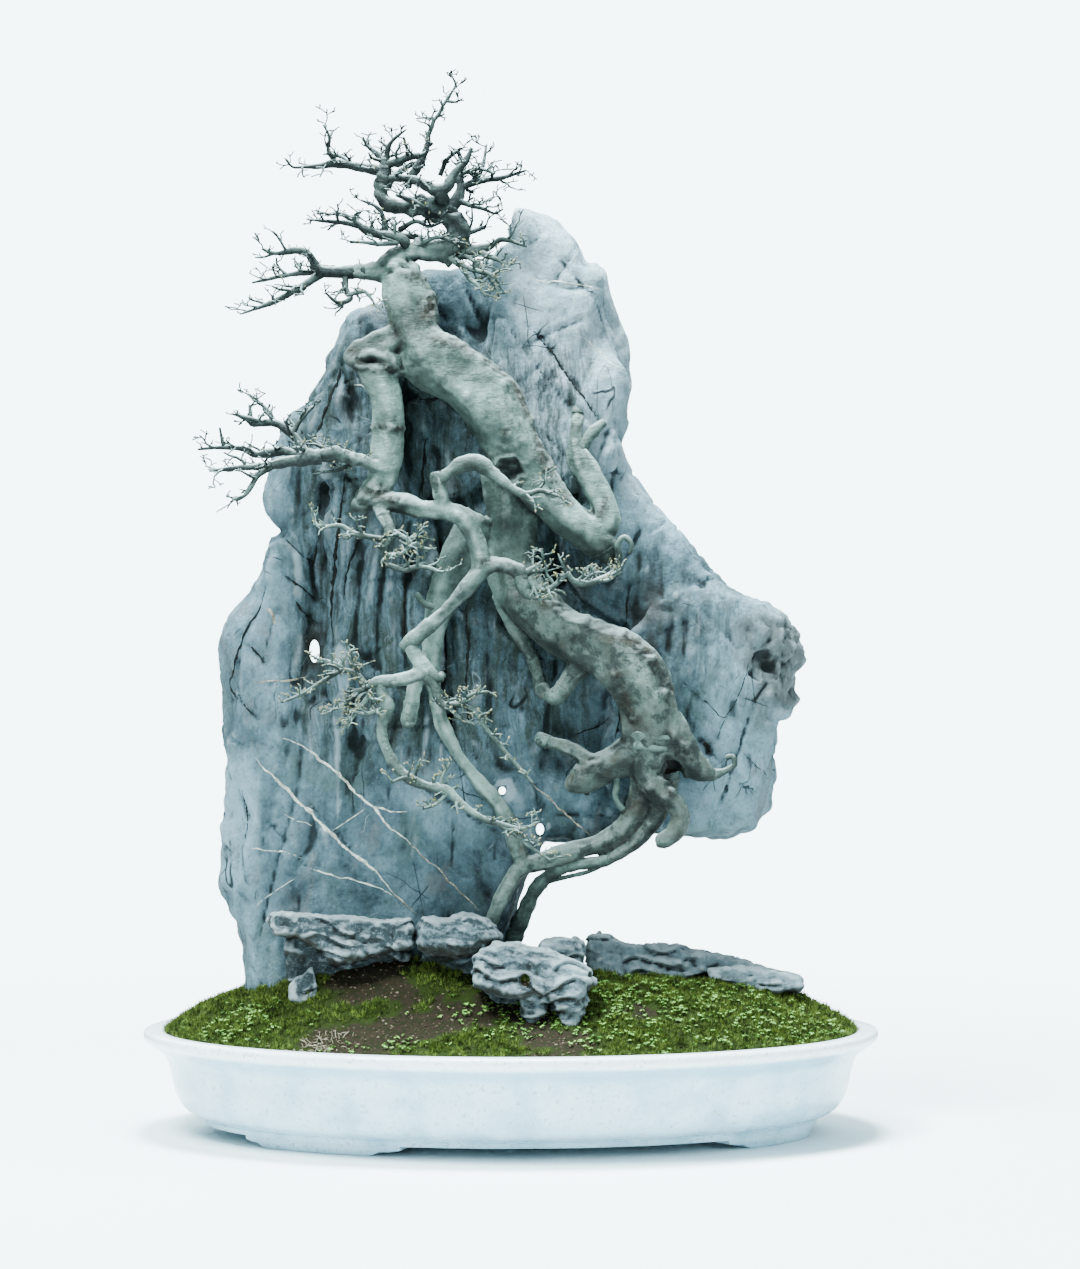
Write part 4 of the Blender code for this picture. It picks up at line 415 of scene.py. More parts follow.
        (-74, 1071, -86, 7.5), (-62, 1075, -86, 7), (-57, 1085, -86, 6), (-50, 1095, -88, 4.4),
        (-40, 1104, -90, 3.2), (-34, 1120, -92, 2)),
    "second_post": ((-68, 1050, -70, 8), (-66, 1060, -76, 7.5), (-70, 1070, -84, 7.5)),
    "right_post": (
        (-60, 1046, -68, 7.5), (-50, 1062, -66, 7), (-46, 1076, -64, 5.6), (-50, 1090, -62, 4),
        (-46, 1104, -58, 2.6), (-50, 1118, -56, 1.6)),
    "right_pad": (
        (-47, 1074, -64, 5), (-32, 1080, -62, 4.2), (-18, 1083, -60, 3.4), (-2, 1085, -58, 2.8),
        (12, 1089, -56, 2), (28, 1094, -54, 1.2)),
    "right_pad_up": (
        (-30, 1081, -62, 3), (-22, 1096, -58, 2.4), (-19, 1110, -54, 1.8), (-17, 1124, -50, 1)),
    "right_pad_low": (
        (-50, 1060, -68, 3.6), (-36, 1054, -74, 2.8), (-20, 1050, -78, 2.2), (-8, 1045, -80, 1.6),
        (2, 1050, -82, 1)),
    "right_arm": (
        (-56, 1004, -66, 8.5), (-40, 1001, -64, 8), (-23, 1004, -64, 5.4), (-10, 1009, -64, 4),
        (-2, 1015, -64, 3.4), (10, 1014, -66, 2.4), (20, 1010, -68, 1.8), (29, 1007, -70, 1.1)),
    "right_tangle": (
        (-60, 996, -70, 5), (-46, 986, -82, 4), (-30, 980, -88, 3.2), (-14, 976, -92, 2.2),
        (-2, 966, -94, 1.2)),
    "right_tangle_low": (
        (-44, 986, -82, 3.2), (-38, 972, -90, 2.6), (-26, 962, -96, 2), (-18, 950, -98, 1.2)),
    "right_tangle_high": (
        (-26, 1003, -64, 3.6), (-14, 996, -74, 2.8), (0, 990, -80, 2), (8, 980, -84, 1.2)),
    "left_tier": (
        (-104, 1001, -68, 6.5), (-112, 1014, -76, 5.6), (-126, 1019, -80, 5.2), (-141, 1021, -84, 5),
        (-156, 1027, -86, 4.8), (-166, 1034, -88, 4), (-177, 1042, -90, 3), (-188, 1045, -92, 2.2),
        (-201, 1043, -94, 1.3)),
    "left_tier_low": (
        (-164, 1031, -88, 3.4), (-182, 1035, -94, 2.8), (-200, 1036, -98, 2.2),
        (-219, 1038, -102, 1.2)),
    "left_tier_in": (
        (-118, 1012, -78, 3.6), (-140, 1010, -88, 2.8), (-156, 1012, -94, 2),
        (-173, 1012, -98, 1.2)),
    "left_tier_up": (
        (-132, 1020, -80, 3.4), (-134, 1038, -74, 2.8), (-142, 1052, -70, 2.2),
        (-160, 1060, -66, 1.2)),
    "back_tier": (
        (-78, 1002, -60, 6), (-84, 1012, -44, 5), (-98, 1018, -30, 4), (-118, 1020, -18, 3),
        (-136, 1026, -8, 1.6)),
    "back_tier_right": (
        (-62, 1010, -58, 5.6), (-48, 1020, -42, 4.6), (-34, 1024, -28, 3.4), (-18, 1030, -14, 1.8)),
    "back_leader": (
        (-130, 1075, -66, 5), (-122, 1088, -50, 4), (-110, 1096, -36, 3), (-96, 1104, -24, 1.6)),
    "front_tier": (
        (-88, 1048, -76, 5.4), (-92, 1052, -92, 4.4), (-104, 1060, -106, 3.4),
        (-120, 1066, -118, 2)),
    # fork_web fills the fork with wood that patches of painted shade make dark
    "fork_web": ((180, 456, -74, 8), (187, 432, -76, 11), (191, 408, -76, 11), (194, 390, -74, 7)),
    "left_fan_out": ((-186, 522, -146, 2.6), (-205, 511, -148, 2.2), (-228, 497, -149, 1.7),
        (-249, 488, -150, 1.1)),
    "left_fan_low": ((-148, 507, -152, 3.2), (-166, 498, -154, 2.7), (-180, 484, -155, 2.2),
        (-196, 478, -156, 1.5)),
    "left_fan_under": ((-142, 508, -153, 3.2), (-156, 488, -156, 2.6), (-170, 470, -158, 2.0),
        (-182, 462, -158, 1.4)),
    "left_fan_high": ((-158, 512, -150, 3.0), (-170, 534, -148, 2.4), (-176, 552, -147, 1.7)),
    "left_fan_top": ((-176, 524, -147, 2.6), (-196, 534, -146, 2.0), (-214, 538, -146, 1.4)),
    "cascade_fan": ((-137, 480, -158, 3.0), (-154, 474, -160, 2.4), (-172, 478, -161, 1.6)),
    "cascade_side": ((-92, 394, -168, 2.6), (-108, 402, -170, 2.1), (-126, 396, -171, 1.4)),
    "cascade_up": ((-70, 390, -170, 2.6), (-66, 406, -172, 2.0), (-58, 418, -173, 1.3)),
    "cascade_down": ((-60, 386, -171, 2.4), (-74, 372, -173, 1.9), (-90, 366, -174, 1.3)),
    "cascade_end": ((6, 342, -172, 2.4), (26, 344, -173, 1.9), (44, 352, -174, 1.3)),
    "right_fan": ((-46, 485, -157, 2.8), (-34, 496, -159, 2.2), (-18, 500, -160, 1.5)),
    "right_fan_long": ((-24, 466, -158, 2.6), (-8, 446, -156, 2.6), (12, 422, -154, 2.4),
        (35, 396, -150, 2.0)),
    "right_fan_low": ((-60, 484, -156, 2.6), (-48, 470, -158, 2.1), (-30, 462, -159, 1.4)),
    "crown_knot_low": ((-104, 1000, -66, 3.4), (-88, 1012, -76, 2.8), (-70, 1018, -82, 2.2),
        (-52, 1010, -88, 1.6)),
    "crown_knot_left": ((-116, 1026, -62, 3.2), (-98, 1036, -72, 2.6), (-82, 1030, -80, 2.0),
        (-66, 1036, -86, 1.4)),
    "crown_knot_front": ((-62, 986, -64, 3.2), (-44, 996, -74, 2.6), (-28, 988, -82, 2.0),
        (-14, 976, -88, 1.4)),
    "crown_knot_right": ((-32, 985, -64, 3.0), (-16, 974, -74, 2.4), (-6, 960, -82, 1.8),
        (-2, 948, -88, 1.2)),
    "crown_knot_high": ((-60, 1078, -60, 3.2), (-44, 1090, -66, 2.6), (-26, 1096, -72, 2.0),
        (-8, 1090, -78, 1.4)),
    "crown_knot_top": ((-70, 1088, -58, 3.0), (-62, 1106, -60, 2.4), (-50, 1116, -64, 1.8)),
    "left_knot": ((-160, 760, -102, 3.2), (-178, 772, -108, 2.6), (-198, 776, -112, 2.0),
        (-218, 784, -116, 1.4)),
    "left_knot_low": ((-172, 758, -102, 3.0), (-190, 752, -108, 2.4), (-208, 750, -114, 1.6)),
    "loop_knot": ((30, 748, -98, 2.8), (44, 734, -106, 2.4), (58, 722, -110, 1.8)),
}

# How far apart a limb's twigs stand and how long they are, in mm
TWIG_RULES = {
    "front_left": (20, 30), "front_right": (20, 28), "cascade": (34, 26), "cascade_tip": (21, 20),
    "front_second": (34, 22), "heart_branch": (26, 30), "arm_up": (12, 28), "arm_mid": (12, 27),
    "arm_out": (12, 30), "low_pad": (26, 26), "low_pad_left": (18, 28), "low_pad_mid": (17, 24),
    "low_pad_right": (18, 26), "low_pad_high": (18, 24), "left_pad": (22, 32), "left_pad_upper": (20, 32),
    "left_pad_top": (22, 28), "left_pad_tip": (18, 22), "left_pad_back": (20, 24), "left_pad_low": (20, 28),
    "left_pad_inner": (18, 26), "crown_left": (22, 32), "crown_left_low": (18, 30),
    "crown_left_back": (21, 28), "crown_hang": (20, 26), "crown_hang_right": (18, 22), "leader": (57, 30),
    "leader_left": (18, 30), "leader_left_up": (20, 26), "leader_left_back": (20, 26),
    "leader_up": (18, 24), "leader_tip": (18, 24), "leader_right": (17, 26), "spire": (25, 24),
    "spire_left": (16, 14), "spire_right": (16, 14), "second_arch": (21, 28), "right_post": (20, 28),
    "right_pad": (18, 30), "right_pad_up": (18, 24), "right_pad_low": (18, 26), "right_arm": (21, 28),
    "right_tangle": (18, 26), "right_tangle_low": (17, 24), "right_tangle_high": (18, 24),
    "left_tier": (21, 30), "left_tier_low": (18, 28), "left_tier_in": (20, 26), "left_tier_up": (20, 26),
    "back_tier": (20, 28), "back_tier_right": (20, 28), "back_leader": (20, 26), "front_tier": (20, 28),
    "left_fan_out": (14, 20), "left_fan_low": (11, 24), "left_fan_under": (11, 24),
    "left_fan_high": (12, 22), "left_fan_top": (12, 22), "cascade_fan": (12, 22), "cascade_side": (13, 20),
    "cascade_up": (13, 18), "cascade_down": (13, 18), "cascade_end": (13, 18), "right_fan": (12, 22),
    "right_fan_long": (26, 16), "right_fan_low": (12, 20), "crown_knot_low": (10, 22),
    "crown_knot_left": (10, 20), "crown_knot_front": (10, 20), "crown_knot_right": (11, 18),
    "crown_knot_high": (10, 22), "crown_knot_top": (11, 20), "left_knot": (10, 22),
    "left_knot_low": (10, 20), "loop_knot": (11, 18),
}

# Limbs at least this thick, in mm, are one skin with the trunk. Their tubes are smoothed at this step,
# and have flutes of this share of the radius, as (number, turn for each ring), and a blunt end, as
# (how far out, how wide) in radii. Twigs leave a limb only where it is thinner than the last radius.
THICK_RADIUS = 6.8
THICK_STEP = 7.0
FLUTE_SHARE = 0.07
FLUTES = ((3.0, 0.31), (5.0, -0.17))
ROUND_END = ((0.35, 0.93), (0.62, 0.76), (0.82, 0.50), (0.92, 0.22))
TWIG_FIRST_RADIUS = 5.6

# Chipped faces: how sharp their edges are, how far they slope, and shifts that keep patterns apart
CHIP_SHARPNESS = 30.0
SLOPE_SPREAD = 7.3
SLOPE_SHIFTS = (Vector((0.0, 0.0, 0.0)), Vector((31.4, 0.0, 7.0)), Vector((0.0, 57.1, 3.0)))


def colour(code: str) -> tuple[float, ...]:
    """Linear colour of a six-figure colour code.

    Args:
        code: red, green and blue as two hexadecimal figures each.

    Returns:
        Red, green, blue and 1.
    """
    parts = [int(code[i:i + 2], 16) / 255 for i in (0, 2, 4)]
    return (*(part / 12.92 if part <= 0.04045 else ((part + 0.055) / 1.055) ** 2.4 for part in parts), 1.0)


@dataclass(frozen=True)
class Wire:
    """One output of a node. Arithmetic on it adds Math nodes."""

    graph: "Graph"
    socket: bpy.types.NodeSocket

    def __add__(self, other: "Wire | float") -> "Wire":
        """Sum."""
        return self.graph.maths("ADD", self, other)

    def __sub__(self, other: "Wire | float") -> "Wire":
        """Difference."""
        return self.graph.maths("SUBTRACT", self, other)

    def __rsub__(self, other: float) -> "Wire":
        """Difference from a number."""
        return self.graph.maths("SUBTRACT", other, self)

    def __mul__(self, other: "Wire | float") -> "Wire":
        """Product."""
        return self.graph.maths("MULTIPLY", self, other)

    def __truediv__(self, other: "Wire | float") -> "Wire":
        """Quotient."""
        return self.graph.maths("DIVIDE", self, other)

    def __rtruediv__(self, other: float) -> "Wire":
        """Quotient of a number by this."""
        return self.graph.maths("DIVIDE", other, self)

    def __pow__(self, other: "Wire | float") -> "Wire":
        """Power."""
        return self.graph.maths("POWER", self, other)

    __radd__ = __add__
    __rmul__ = __mul__


class Graph:
    """A node tree that is built one node at a time."""

    def __init__(self, tree: bpy.types.NodeTree) -> None:
        """Keeps the tree."""
        self.tree = tree

    def find(self, sockets: Iterable[bpy.types.NodeSocket], key: str | int) -> bpy.types.NodeSocket:
        """A socket by its place, its identifier or its name.

        Args:
            sockets: the inputs or the outputs of a node.
            key: place, identifier or name.

        Returns:
            The socket.
        """
        if isinstance(key, int):
            return sockets[key]
        same = [socket for socket in sockets if socket.identifier == key]
        return (same or [socket for socket in sockets if socket.enabled and socket.name == key])[0]

    def feed(self, socket: bpy.types.NodeSocket, value: object) -> None:
        """Links a wire to an input, or sets the input's own value.

        Args:
            socket: the input.
            value: a wire or a plain value.
        """
        if isinstance(value, Wire):
            self.tree.links.new(value.socket, socket)
        else:
            socket.default_value = value

    def node(self, kind: str, settings: dict[str, object] | None = None,
             values: dict[str | int, object] | None = None, output: str | int = 0) -> Wire:
        """Adds a node.

        Args:
            kind: the node's type.
            settings: its properties, set before anything is linked.
            values: what each of its inputs gets.
            output: which of its outputs to give back.

        Returns:
            That output.
        """
        made = self.tree.nodes.new(kind)
        for name, value in (settings or {}).items():
            setattr(made, name, value)
        for key, value in (values or {}).items():
            self.feed(self.find(made.inputs, key), value)
        return Wire(self, self.find(made.outputs, output))

    def maths(self, operation: str, first: Wire | float, second: Wire | float = 0.0) -> Wire:
        """A Math node.

        Args:
            operation: what it does.
            first: its first value.
            second: its second value.

        Returns:
            The result.
        """
        return self.node("ShaderNodeMath", {"operation": operation}, {0: first, 1: second})

    def vector(self, operation: str, first: object, second: object) -> Wire:
        """A Vector Math node.

        Args:
            operation: what it does.
            first: its first vector.
            second: its second vector.

        Returns:
            The resulting vector.
        """
        return self.node("ShaderNodeVectorMath", {"operation": operation}, {0: first, 1: second})

    def step(self, value: Wire, low: float, high: float) -> Wire:
        """A smooth step from 0 to 1.

        Args:
            value: what is read.
            low: where the step starts.
            high: where it ends, which may be lower than its start.

        Returns:
            The step.
        """
        return self.node("ShaderNodeMapRange", {"interpolation_type": "SMOOTHSTEP"},
                         {"Value": value, "From Min": low, "From Max": high})

    def mix(self, first: object, second: object, share: Wire | float) -> Wire:
        """A mixed colour.

        Args:
            first: the colour at share 0.
            second: the colour at share 1.
            share: how much of the second.

        Returns:
            The mixed colour.
        """
        return self.node("ShaderNodeMix", {"data_type": "RGBA"},
                         {"Factor_Float": share, "A_Color": first, "B_Color": second}, "Result_Color")


class Paint(Graph):
    """The node tree of one material."""

    def __init__(self, name: str) -> None:
        """Starts a material with a Principled shader.

        Args:
            name: the material's name.
        """
        self.material = bpy.data.materials.new(name)
        self.material.use_nodes = True
        super().__init__(self.material.node_tree)
        self.shader = self.tree.nodes["Principled BSDF"]
        self.place = self.node("ShaderNodeTexCoord", output="Object")

    def stretched(self, *sizes: float, turn: tuple[float, float, float] = (0.0, 0.0, 0.0)) -> Wire:
        """Object coordinates in units of these sizes.

        Args:
            sizes: the unit along each axis, in metres.
            turn: how the axes are turned first, in radians.

        Returns:
            The coordinates.
        """
        turned = self.node("ShaderNodeVectorRotate", {"rotation_type": "EULER_XYZ"},
                           {"Vector": self.place, "Rotation": turn}) if any(turn) else self.place
        return self.vector("DIVIDE", turned, sizes)

    def noise(self, size: float | Wire, detail: float = 4.0, roughness: float = 0.55,
              distortion: float = 0.0) -> Wire:
        """A noise pattern from 0 to 1.

        Args:
            size: the pattern's size in metres, or stretched coordinates.
            detail: how many finer layers it has.
            roughness: how strong they are.
            distortion: how much it is stirred.

        Returns:
            The pattern.
        """
        spot = size if isinstance(size, Wire) else self.stretched(size, size, size)
        return self.node("ShaderNodeTexNoise", {}, {"Vector": spot, "Scale": 1.0, "Detail": detail,
                                                    "Roughness": roughness, "Distortion": distortion})

    def warped(self, size: float, amount: float) -> Wire:
        """Object coordinates stirred by noise.

        Args:
            size: the noise's size in metres.
            amount: how far places are moved, in metres.

        Returns:
            The coordinates.
        """
        stir = self.node("ShaderNodeTexNoise", {}, {"Vector": self.stretched(size, size, size), "Scale": 1.0,
                                                    "Detail": 4.0, "Roughness": 0.6}, "Color")
        moved = self.vector("MULTIPLY", self.vector("SUBTRACT", stir, (0.5, 0.5, 0.5)), (amount * 2,) * 3)
        return self.vector("ADD", self.place, moved)

    def line(self, away: Wire, width: float, mask: Wire, least: float) -> Wire:
        """A broken line.

        Args:
            away: distance from the line.
            width: where the line has faded out.
            mask: a pattern that breaks the line.
            least: where the mask starts to show it.

        Returns:
            The line's strength.
        """
        return self.step(away, width, width * 0.3) * self.step(mask, least, least + 0.08)

    def thread(self, thick: float, long: float, lean: float, width: float, mask_size: float) -> Wire:
        """Long thin broken lines, all leaning the same way.

        Args:
            thick: about how far apart they lie, in metres.
            long: about how long they are.
            lean: how far they lean from upright, in radians.
            width: their width, as a share of the pattern.
            mask_size: size of the pattern that breaks them.

        Returns:
            Their strength.
        """
        pattern = self.noise(self.stretched(thick, thick, long, turn=(0.0, lean, 0.0)), 1.6, 0.35)
        return self.line(self.maths("ABSOLUTE", pattern - 0.5), width, self.noise(mask_size, 3.0), 0.55)

    def cells(self, size: float | Wire, feature: str = "F1") -> Wire:
        """Distance in a cell pattern.

        Args:
            size: the cells' size in metres, or stretched coordinates.
            feature: what the distance is measured to.

        Returns:
            The distance, in cells.
        """
        spot = size if isinstance(size, Wire) else self.stretched(size, size, size)
        return self.node("ShaderNodeTexVoronoi", {"feature": feature},
                         {"Vector": spot, "Scale": 1.0}, "Distance")

    def field(self, name: str) -> Wire:
        """A number stored on the piece's points, by its name."""
        return self.node("ShaderNodeAttribute", {"attribute_name": name}, {}, "Fac")

    def bump(self, height: Wire, distance: float, under: Wire | None = None) -> Wire:
        """A bumped normal.

        Args:
            height: the relief, from 0 to 1.
            distance: the relief's height in metres.
            under: the normal that it is added to.

        Returns:
            The normal.
        """
        values = {"Height": height, "Distance": distance}
        if under:
            values["Normal"] = under
        return self.node("ShaderNodeBump", {}, values)

    def done(self, **sockets: object) -> bpy.types.Material:
        """Sets the shader's inputs.

        Args:
            sockets: a value or wire for each input, with its name's spaces written as underscores.

        Returns:
            The material.
        """
        for name, value in sockets.items():
            self.feed(self.shader.inputs[name.replace("_", " ")], value)
        return self.material


@dataclass(frozen=True)
class GlazeFinish:
    """White glaze with fine grey speckles, bluish where it lies thick, with a painted shade band below the
    lip and a painted highlight on the lip's top.
    """

    white: str = "C4E3EE"
    thick: str = "9AC4D3"
    # lip is a painted highlight on the lip's top, and the colour below it is painted shade in a band under
    # the lip
    lip: str = "F7FDFE"
    under_lip_shade: str = "7DADBF"
    speck: str = "6F8389"
    speck_size: float = 0.0050
    ripple_size: float = 0.011

    def material(self) -> bpy.types.Material:
        """The finished material."""
        paint = Paint("glaze")
        cloud = paint.noise(0.05, 3.0)
        body = paint.mix(colour(self.white), colour(self.thick), paint.step(cloud, 0.35, 0.7))
        grains = paint.step(paint.noise(self.speck_size, 2.0), 0.54, 0.72)
        pores = paint.step(paint.cells(self.speck_size * 1.6), 0.16, 0.06)
        # Painted shade in a band under the lip, then a painted highlight on the lip's top
        body = paint.mix(body, colour(self.under_lip_shade), paint.field("lip_shadow_band") * 0.65)
        body = paint.mix(body, colour(self.lip), paint.field("rim") * 0.8)
        body = paint.mix(body, colour(self.speck), grains * 0.50 + pores * 0.45)
        gloss = paint.noise(self.ripple_size, 2.0)
        normal = paint.bump(gloss, 0.0006, paint.bump(pores, -0.0002))
        return paint.done(Base_Color=body, Roughness=0.24 + grains * 0.2, Normal=normal,
                          Coat_Weight=0.35, Coat_Roughness=0.08)


@dataclass(frozen=True)
class RockFinish:
    """Blue-grey limestone with upright grey-green streaks, dark joints, pale veins and scratches, painted
    shade in its hollows and a painted highlight on its ridges.
    """

    pale: str = "7D98A2"
    blue: str = "4B626A"
    deep: str = "202C31"
    green: str = "2C362F"
    dark: str = "090D0E"
    white: str = "BCCDD3"
    earth: str = "23221A"
    stain_and_shade: str = "1C1812"
    warm: str = "666B6C"
    clay: str = "5D605A"
    sage: str = "465A55"
    joints: tuple[tuple[float, float, float, float], ...] = (
        (0.070, 0.70, 0.14, 0.0055), (0.080, 0.70, -0.70, 0.0042), (0.070, 0.50, 1.25, 0.0042),
        (0.046, 0.60, 0.02, 0.0060))
    scratches: tuple[tuple[float, float, float, float], ...] = (
        (0.070, 1.10, 0.85, 0.0022), (0.080, 1.10, -1.15, 0.0022))

    def material(self) -> bpy.types.Material:
        """The finished material."""
        paint = Paint("rock")
        stirred = paint.warped(0.10, 0.022)
        cloud = paint.noise(paint.vector("DIVIDE", stirred, (0.13, 0.13, 0.20)), 7.0, 0.66)
        mottle = paint.noise(paint.vector("DIVIDE", stirred, (0.030, 0.030, 0.048)), 6.0, 0.72)
        tone = cloud * 0.6 + mottle * 0.4 + paint.field("light")
        body = paint.mix(colour(self.deep), colour(self.blue), paint.step(tone, 0.36, 0.54))
        body = paint.mix(body, colour(self.pale), paint.step(tone, 0.48, 0.72))
        drift = paint.noise(paint.vector("DIVIDE", stirred, (0.052, 0.052, 0.075)), 5.0, 0.68)
        body = paint.mix(body, colour(self.warm), paint.step(drift, 0.52, 0.66) * 0.55)
        body = paint.mix(body, colour(self.sage), paint.step(drift, 0.48, 0.36) * 0.50)
        bright = paint.field("light") + (mottle - 0.5)
        body = paint.mix(body, colour(self.white), paint.step(bright, 0.30, 0.75) * 0.5)
        streak = paint.noise(paint.vector("DIVIDE", stirred, (0.009, 0.013, 0.17)), 7.0, 0.74)
        share = paint.field("streaks")
        body = paint.mix(body, colour(self.green), share * paint.step(streak, 0.38, 0.62) * 0.85)
        film = paint.noise(paint.vector("DIVIDE", stirred, (0.030, 0.030, 0.075)), 7.0, 0.75)
        body = paint.mix(body, colour(self.dark), (0.30 + share * 0.42) * paint.step(film, 0.52, 0.68))
        crumbly = paint.field("crumbly")
        body = paint.mix(body, colour(self.clay), crumbly * 0.75)
        grain = paint.noise(0.0045, 5.0, 0.75)
        body = paint.mix(body, colour(self.dark), paint.step(grain, 0.52, 0.76) * 0.55)
        body = paint.mix(body, colour(self.white), paint.step(grain, 0.44, 0.26) * 0.15)
        grime = paint.noise(0.055, 8.0, 0.70)
        body = paint.mix(body, colour(self.earth), paint.step(grime, 0.54, 0.70) * (0.25 + share * 0.45))
        rows = [paint.thread(*joint, 0.075) for joint in self.joints]
        dark_lines = rows[0] + rows[1] + rows[2] + rows[3] * 0.7
        body = paint.mix(body, colour(self.dark), paint.maths("MINIMUM", dark_lines, 1.0) * 0.9)
        for scratch in self.scratches:
            body = paint.mix(body, colour(self.white), paint.thread(*scratch, 0.055) * 0.22)
        hollow = paint.field("hollow")
        # Painted shade in the hollows and a painted highlight on the ridges
        body = paint.mix(body, colour(self.dark), paint.step(hollow, 0.10, 1.0) * 0.85)
        body = paint.mix(body, colour(self.white), paint.step(hollow, -0.35, -1.5) * 0.32)
        # Dark stains, and painted shade round the left hole and in the wide joint low on the right
        body = paint.mix(body, colour(self.stain_and_shade), paint.field("stain_and_shade") * 0.85)
        rough = paint.noise(0.011, 8.0, 0.74)
        normal = paint.bump(rough, 0.0065, paint.bump(streak, 0.0025, paint.bump(dark_lines, -0.0020)))
        return paint.done(
            Base_Color=body, Roughness=0.62 + grain * 0.2, Specular_IOR_Level=0.12, Normal=normal)


@dataclass(frozen=True)
class StoneFinish:
    """Weathered limestone with layers, pits and dark grains, painted shade in its hollows and on its
    undersides, and painted highlights on its ridges and tops.
    """

    pale: str = "6F8186"
    grey: str = "2E393C"
    dirt_and_shade: str = "0D0C09"
    # under is painted shade on the undersides; ridge gives pale grains and the painted highlights on ridges
    # and tops; the dark colour gives dark grains and the painted shade in hollows
    under: str = "2A241A"
    ridge: str = "ABB9BB"

    def material(self) -> bpy.types.Material:
        """The finished material."""
        paint = Paint("stone")
        stirred = paint.warped(0.030, 0.014)
        layer = paint.noise(paint.vector("DIVIDE", stirred, (0.040, 0.040, 0.010)), 6.0, 0.70)
        body = paint.mix(colour(self.grey), colour(self.pale),
                         paint.step(layer + paint.field("light"), 0.38, 0.62))
        grain = paint.noise(0.0040, 6.0, 0.75)
        body = paint.mix(body, colour(self.dirt_and_shade), paint.step(grain, 0.50, 0.72) * 0.6)
        body = paint.mix(body, colour(self.ridge), paint.step(grain, 0.46, 0.30) * 0.4)
        # Painted shade in the hollows and on the undersides, painted highlights on the ridges and tops
        hollow = paint.field("hollow")
        body = paint.mix(body, colour(self.dirt_and_shade), paint.step(hollow, 0.05, 0.8) * 0.88)
        body = paint.mix(body, colour(self.ridge), paint.step(hollow, -0.15, -0.9) * 0.6)
        up = paint.field("up") + (layer - 0.5) * 0.8
        body = paint.mix(body, colour(self.under), paint.step(up, 0.15, -0.70) * 0.75)
        body = paint.mix(body, colour(self.ridge), paint.step(up, 0.45, 1.0) * 0.45)
        normal = paint.bump(grain, 0.0026, paint.bump(layer, 0.0030))
        return paint.done(
            Base_Color=body, Roughness=0.72 + grain * 0.15, Specular_IOR_Level=0.12, Normal=normal)


@dataclass(frozen=True)
class BarkFinish:
    """Smooth grey-green bark, nearly black on the old crown, brown and cracked along its calluses, with
    painted shade in its hollows, on its undersides, low on the trunk and in shaded patches, and painted
    highlights on its ridges and tops.
    """

    light: str = "768F86"
    green: str = "2F3E38"
    # dark gives dark grains and flecks and serves for the painted shade; ridge gives pale grains and the
    # painted highlight on ridges; lit is the painted highlight on tops
    dark: str = "0B0E0D"
    brown: str = "332B1F"
    crown: str = "171F20"
    ridge: str = "93A59E"
    lit: str = "CCDFDB"

    def material(self) -> bpy.types.Material:
        """The finished material."""
        paint = Paint("bark")
        cloud = paint.noise(0.060, 6.0, 0.66)
        body = paint.mix(colour(self.green), colour(self.light), paint.step(cloud, 0.36, 0.64))
        patch = paint.noise(0.024, 6.0, 0.70)
        body = paint.mix(body, colour(self.brown), paint.step(patch, 0.54, 0.74) * 0.45)
        speck = paint.noise(0.0038, 5.0, 0.74)
        rough = paint.field("rough")
        body = paint.mix(body, colour(self.brown), rough * paint.step(patch + speck * 0.4, 0.52, 0.74) * 0.8)
        body = paint.mix(body, colour(self.dark), paint.step(speck + rough * 0.10, 0.53, 0.70) * 0.55)
        body = paint.mix(body, colour(self.ridge), paint.step(speck, 0.42, 0.26) * 0.30)
        flecks = paint.step(paint.cells(paint.stretched(0.010, 0.010, 0.005)), 0.16, 0.06)
        body = paint.mix(body, colour(self.dark), flecks * paint.step(patch, 0.48, 0.60) * 0.5)
        # Painted shade in the hollows and a painted highlight on the ridges
        hollow = paint.field("hollow")
        body = paint.mix(body, colour(self.dark), paint.step(hollow, 0.08, 0.85) * 0.88)
        body = paint.mix(body, colour(self.ridge), paint.step(hollow, -0.15, -1.0) * 0.45)
        # Dark old bark on the crown and the left branch, and painted shade in patches on the trunk and in the
        # fork
        crown = paint.field("dark")
        body = paint.mix(body, colour(self.crown), crown * (0.65 + paint.step(patch, 0.4, 0.6) * 0.3))
        # Brown bark low on the trunk, with patches of painted shade there
        low = paint.field("low")
        body = paint.mix(body, colour(self.brown), low * paint.step(patch, 0.40, 0.60) * 0.55)
        body = paint.mix(body, colour(self.dark), low * paint.step(patch, 0.57, 0.42) * 0.85)
        # Painted shade on the undersides and a painted highlight on the tops
        up = paint.field("up") + (speck - 0.5) * 0.5
        body = paint.mix(body, colour(self.dark), paint.step(up, 0.10, -0.80) * 0.75)
        body = paint.mix(body, colour(self.lit), paint.step(up, 0.40, 1.05) * (0.40 + crown * 0.32))
        wrinkle = paint.noise(paint.stretched(0.012, 0.012, 0.0045), 4.0, 0.6, 0.5)
        normal = paint.bump(wrinkle, 0.0020, paint.bump(speck * (1.0 + rough * 2.0), 0.0014))
        return paint.done(
            Base_Color=body, Roughness=0.48 + speck * 0.25, Specular_IOR_Level=0.2, Normal=normal)


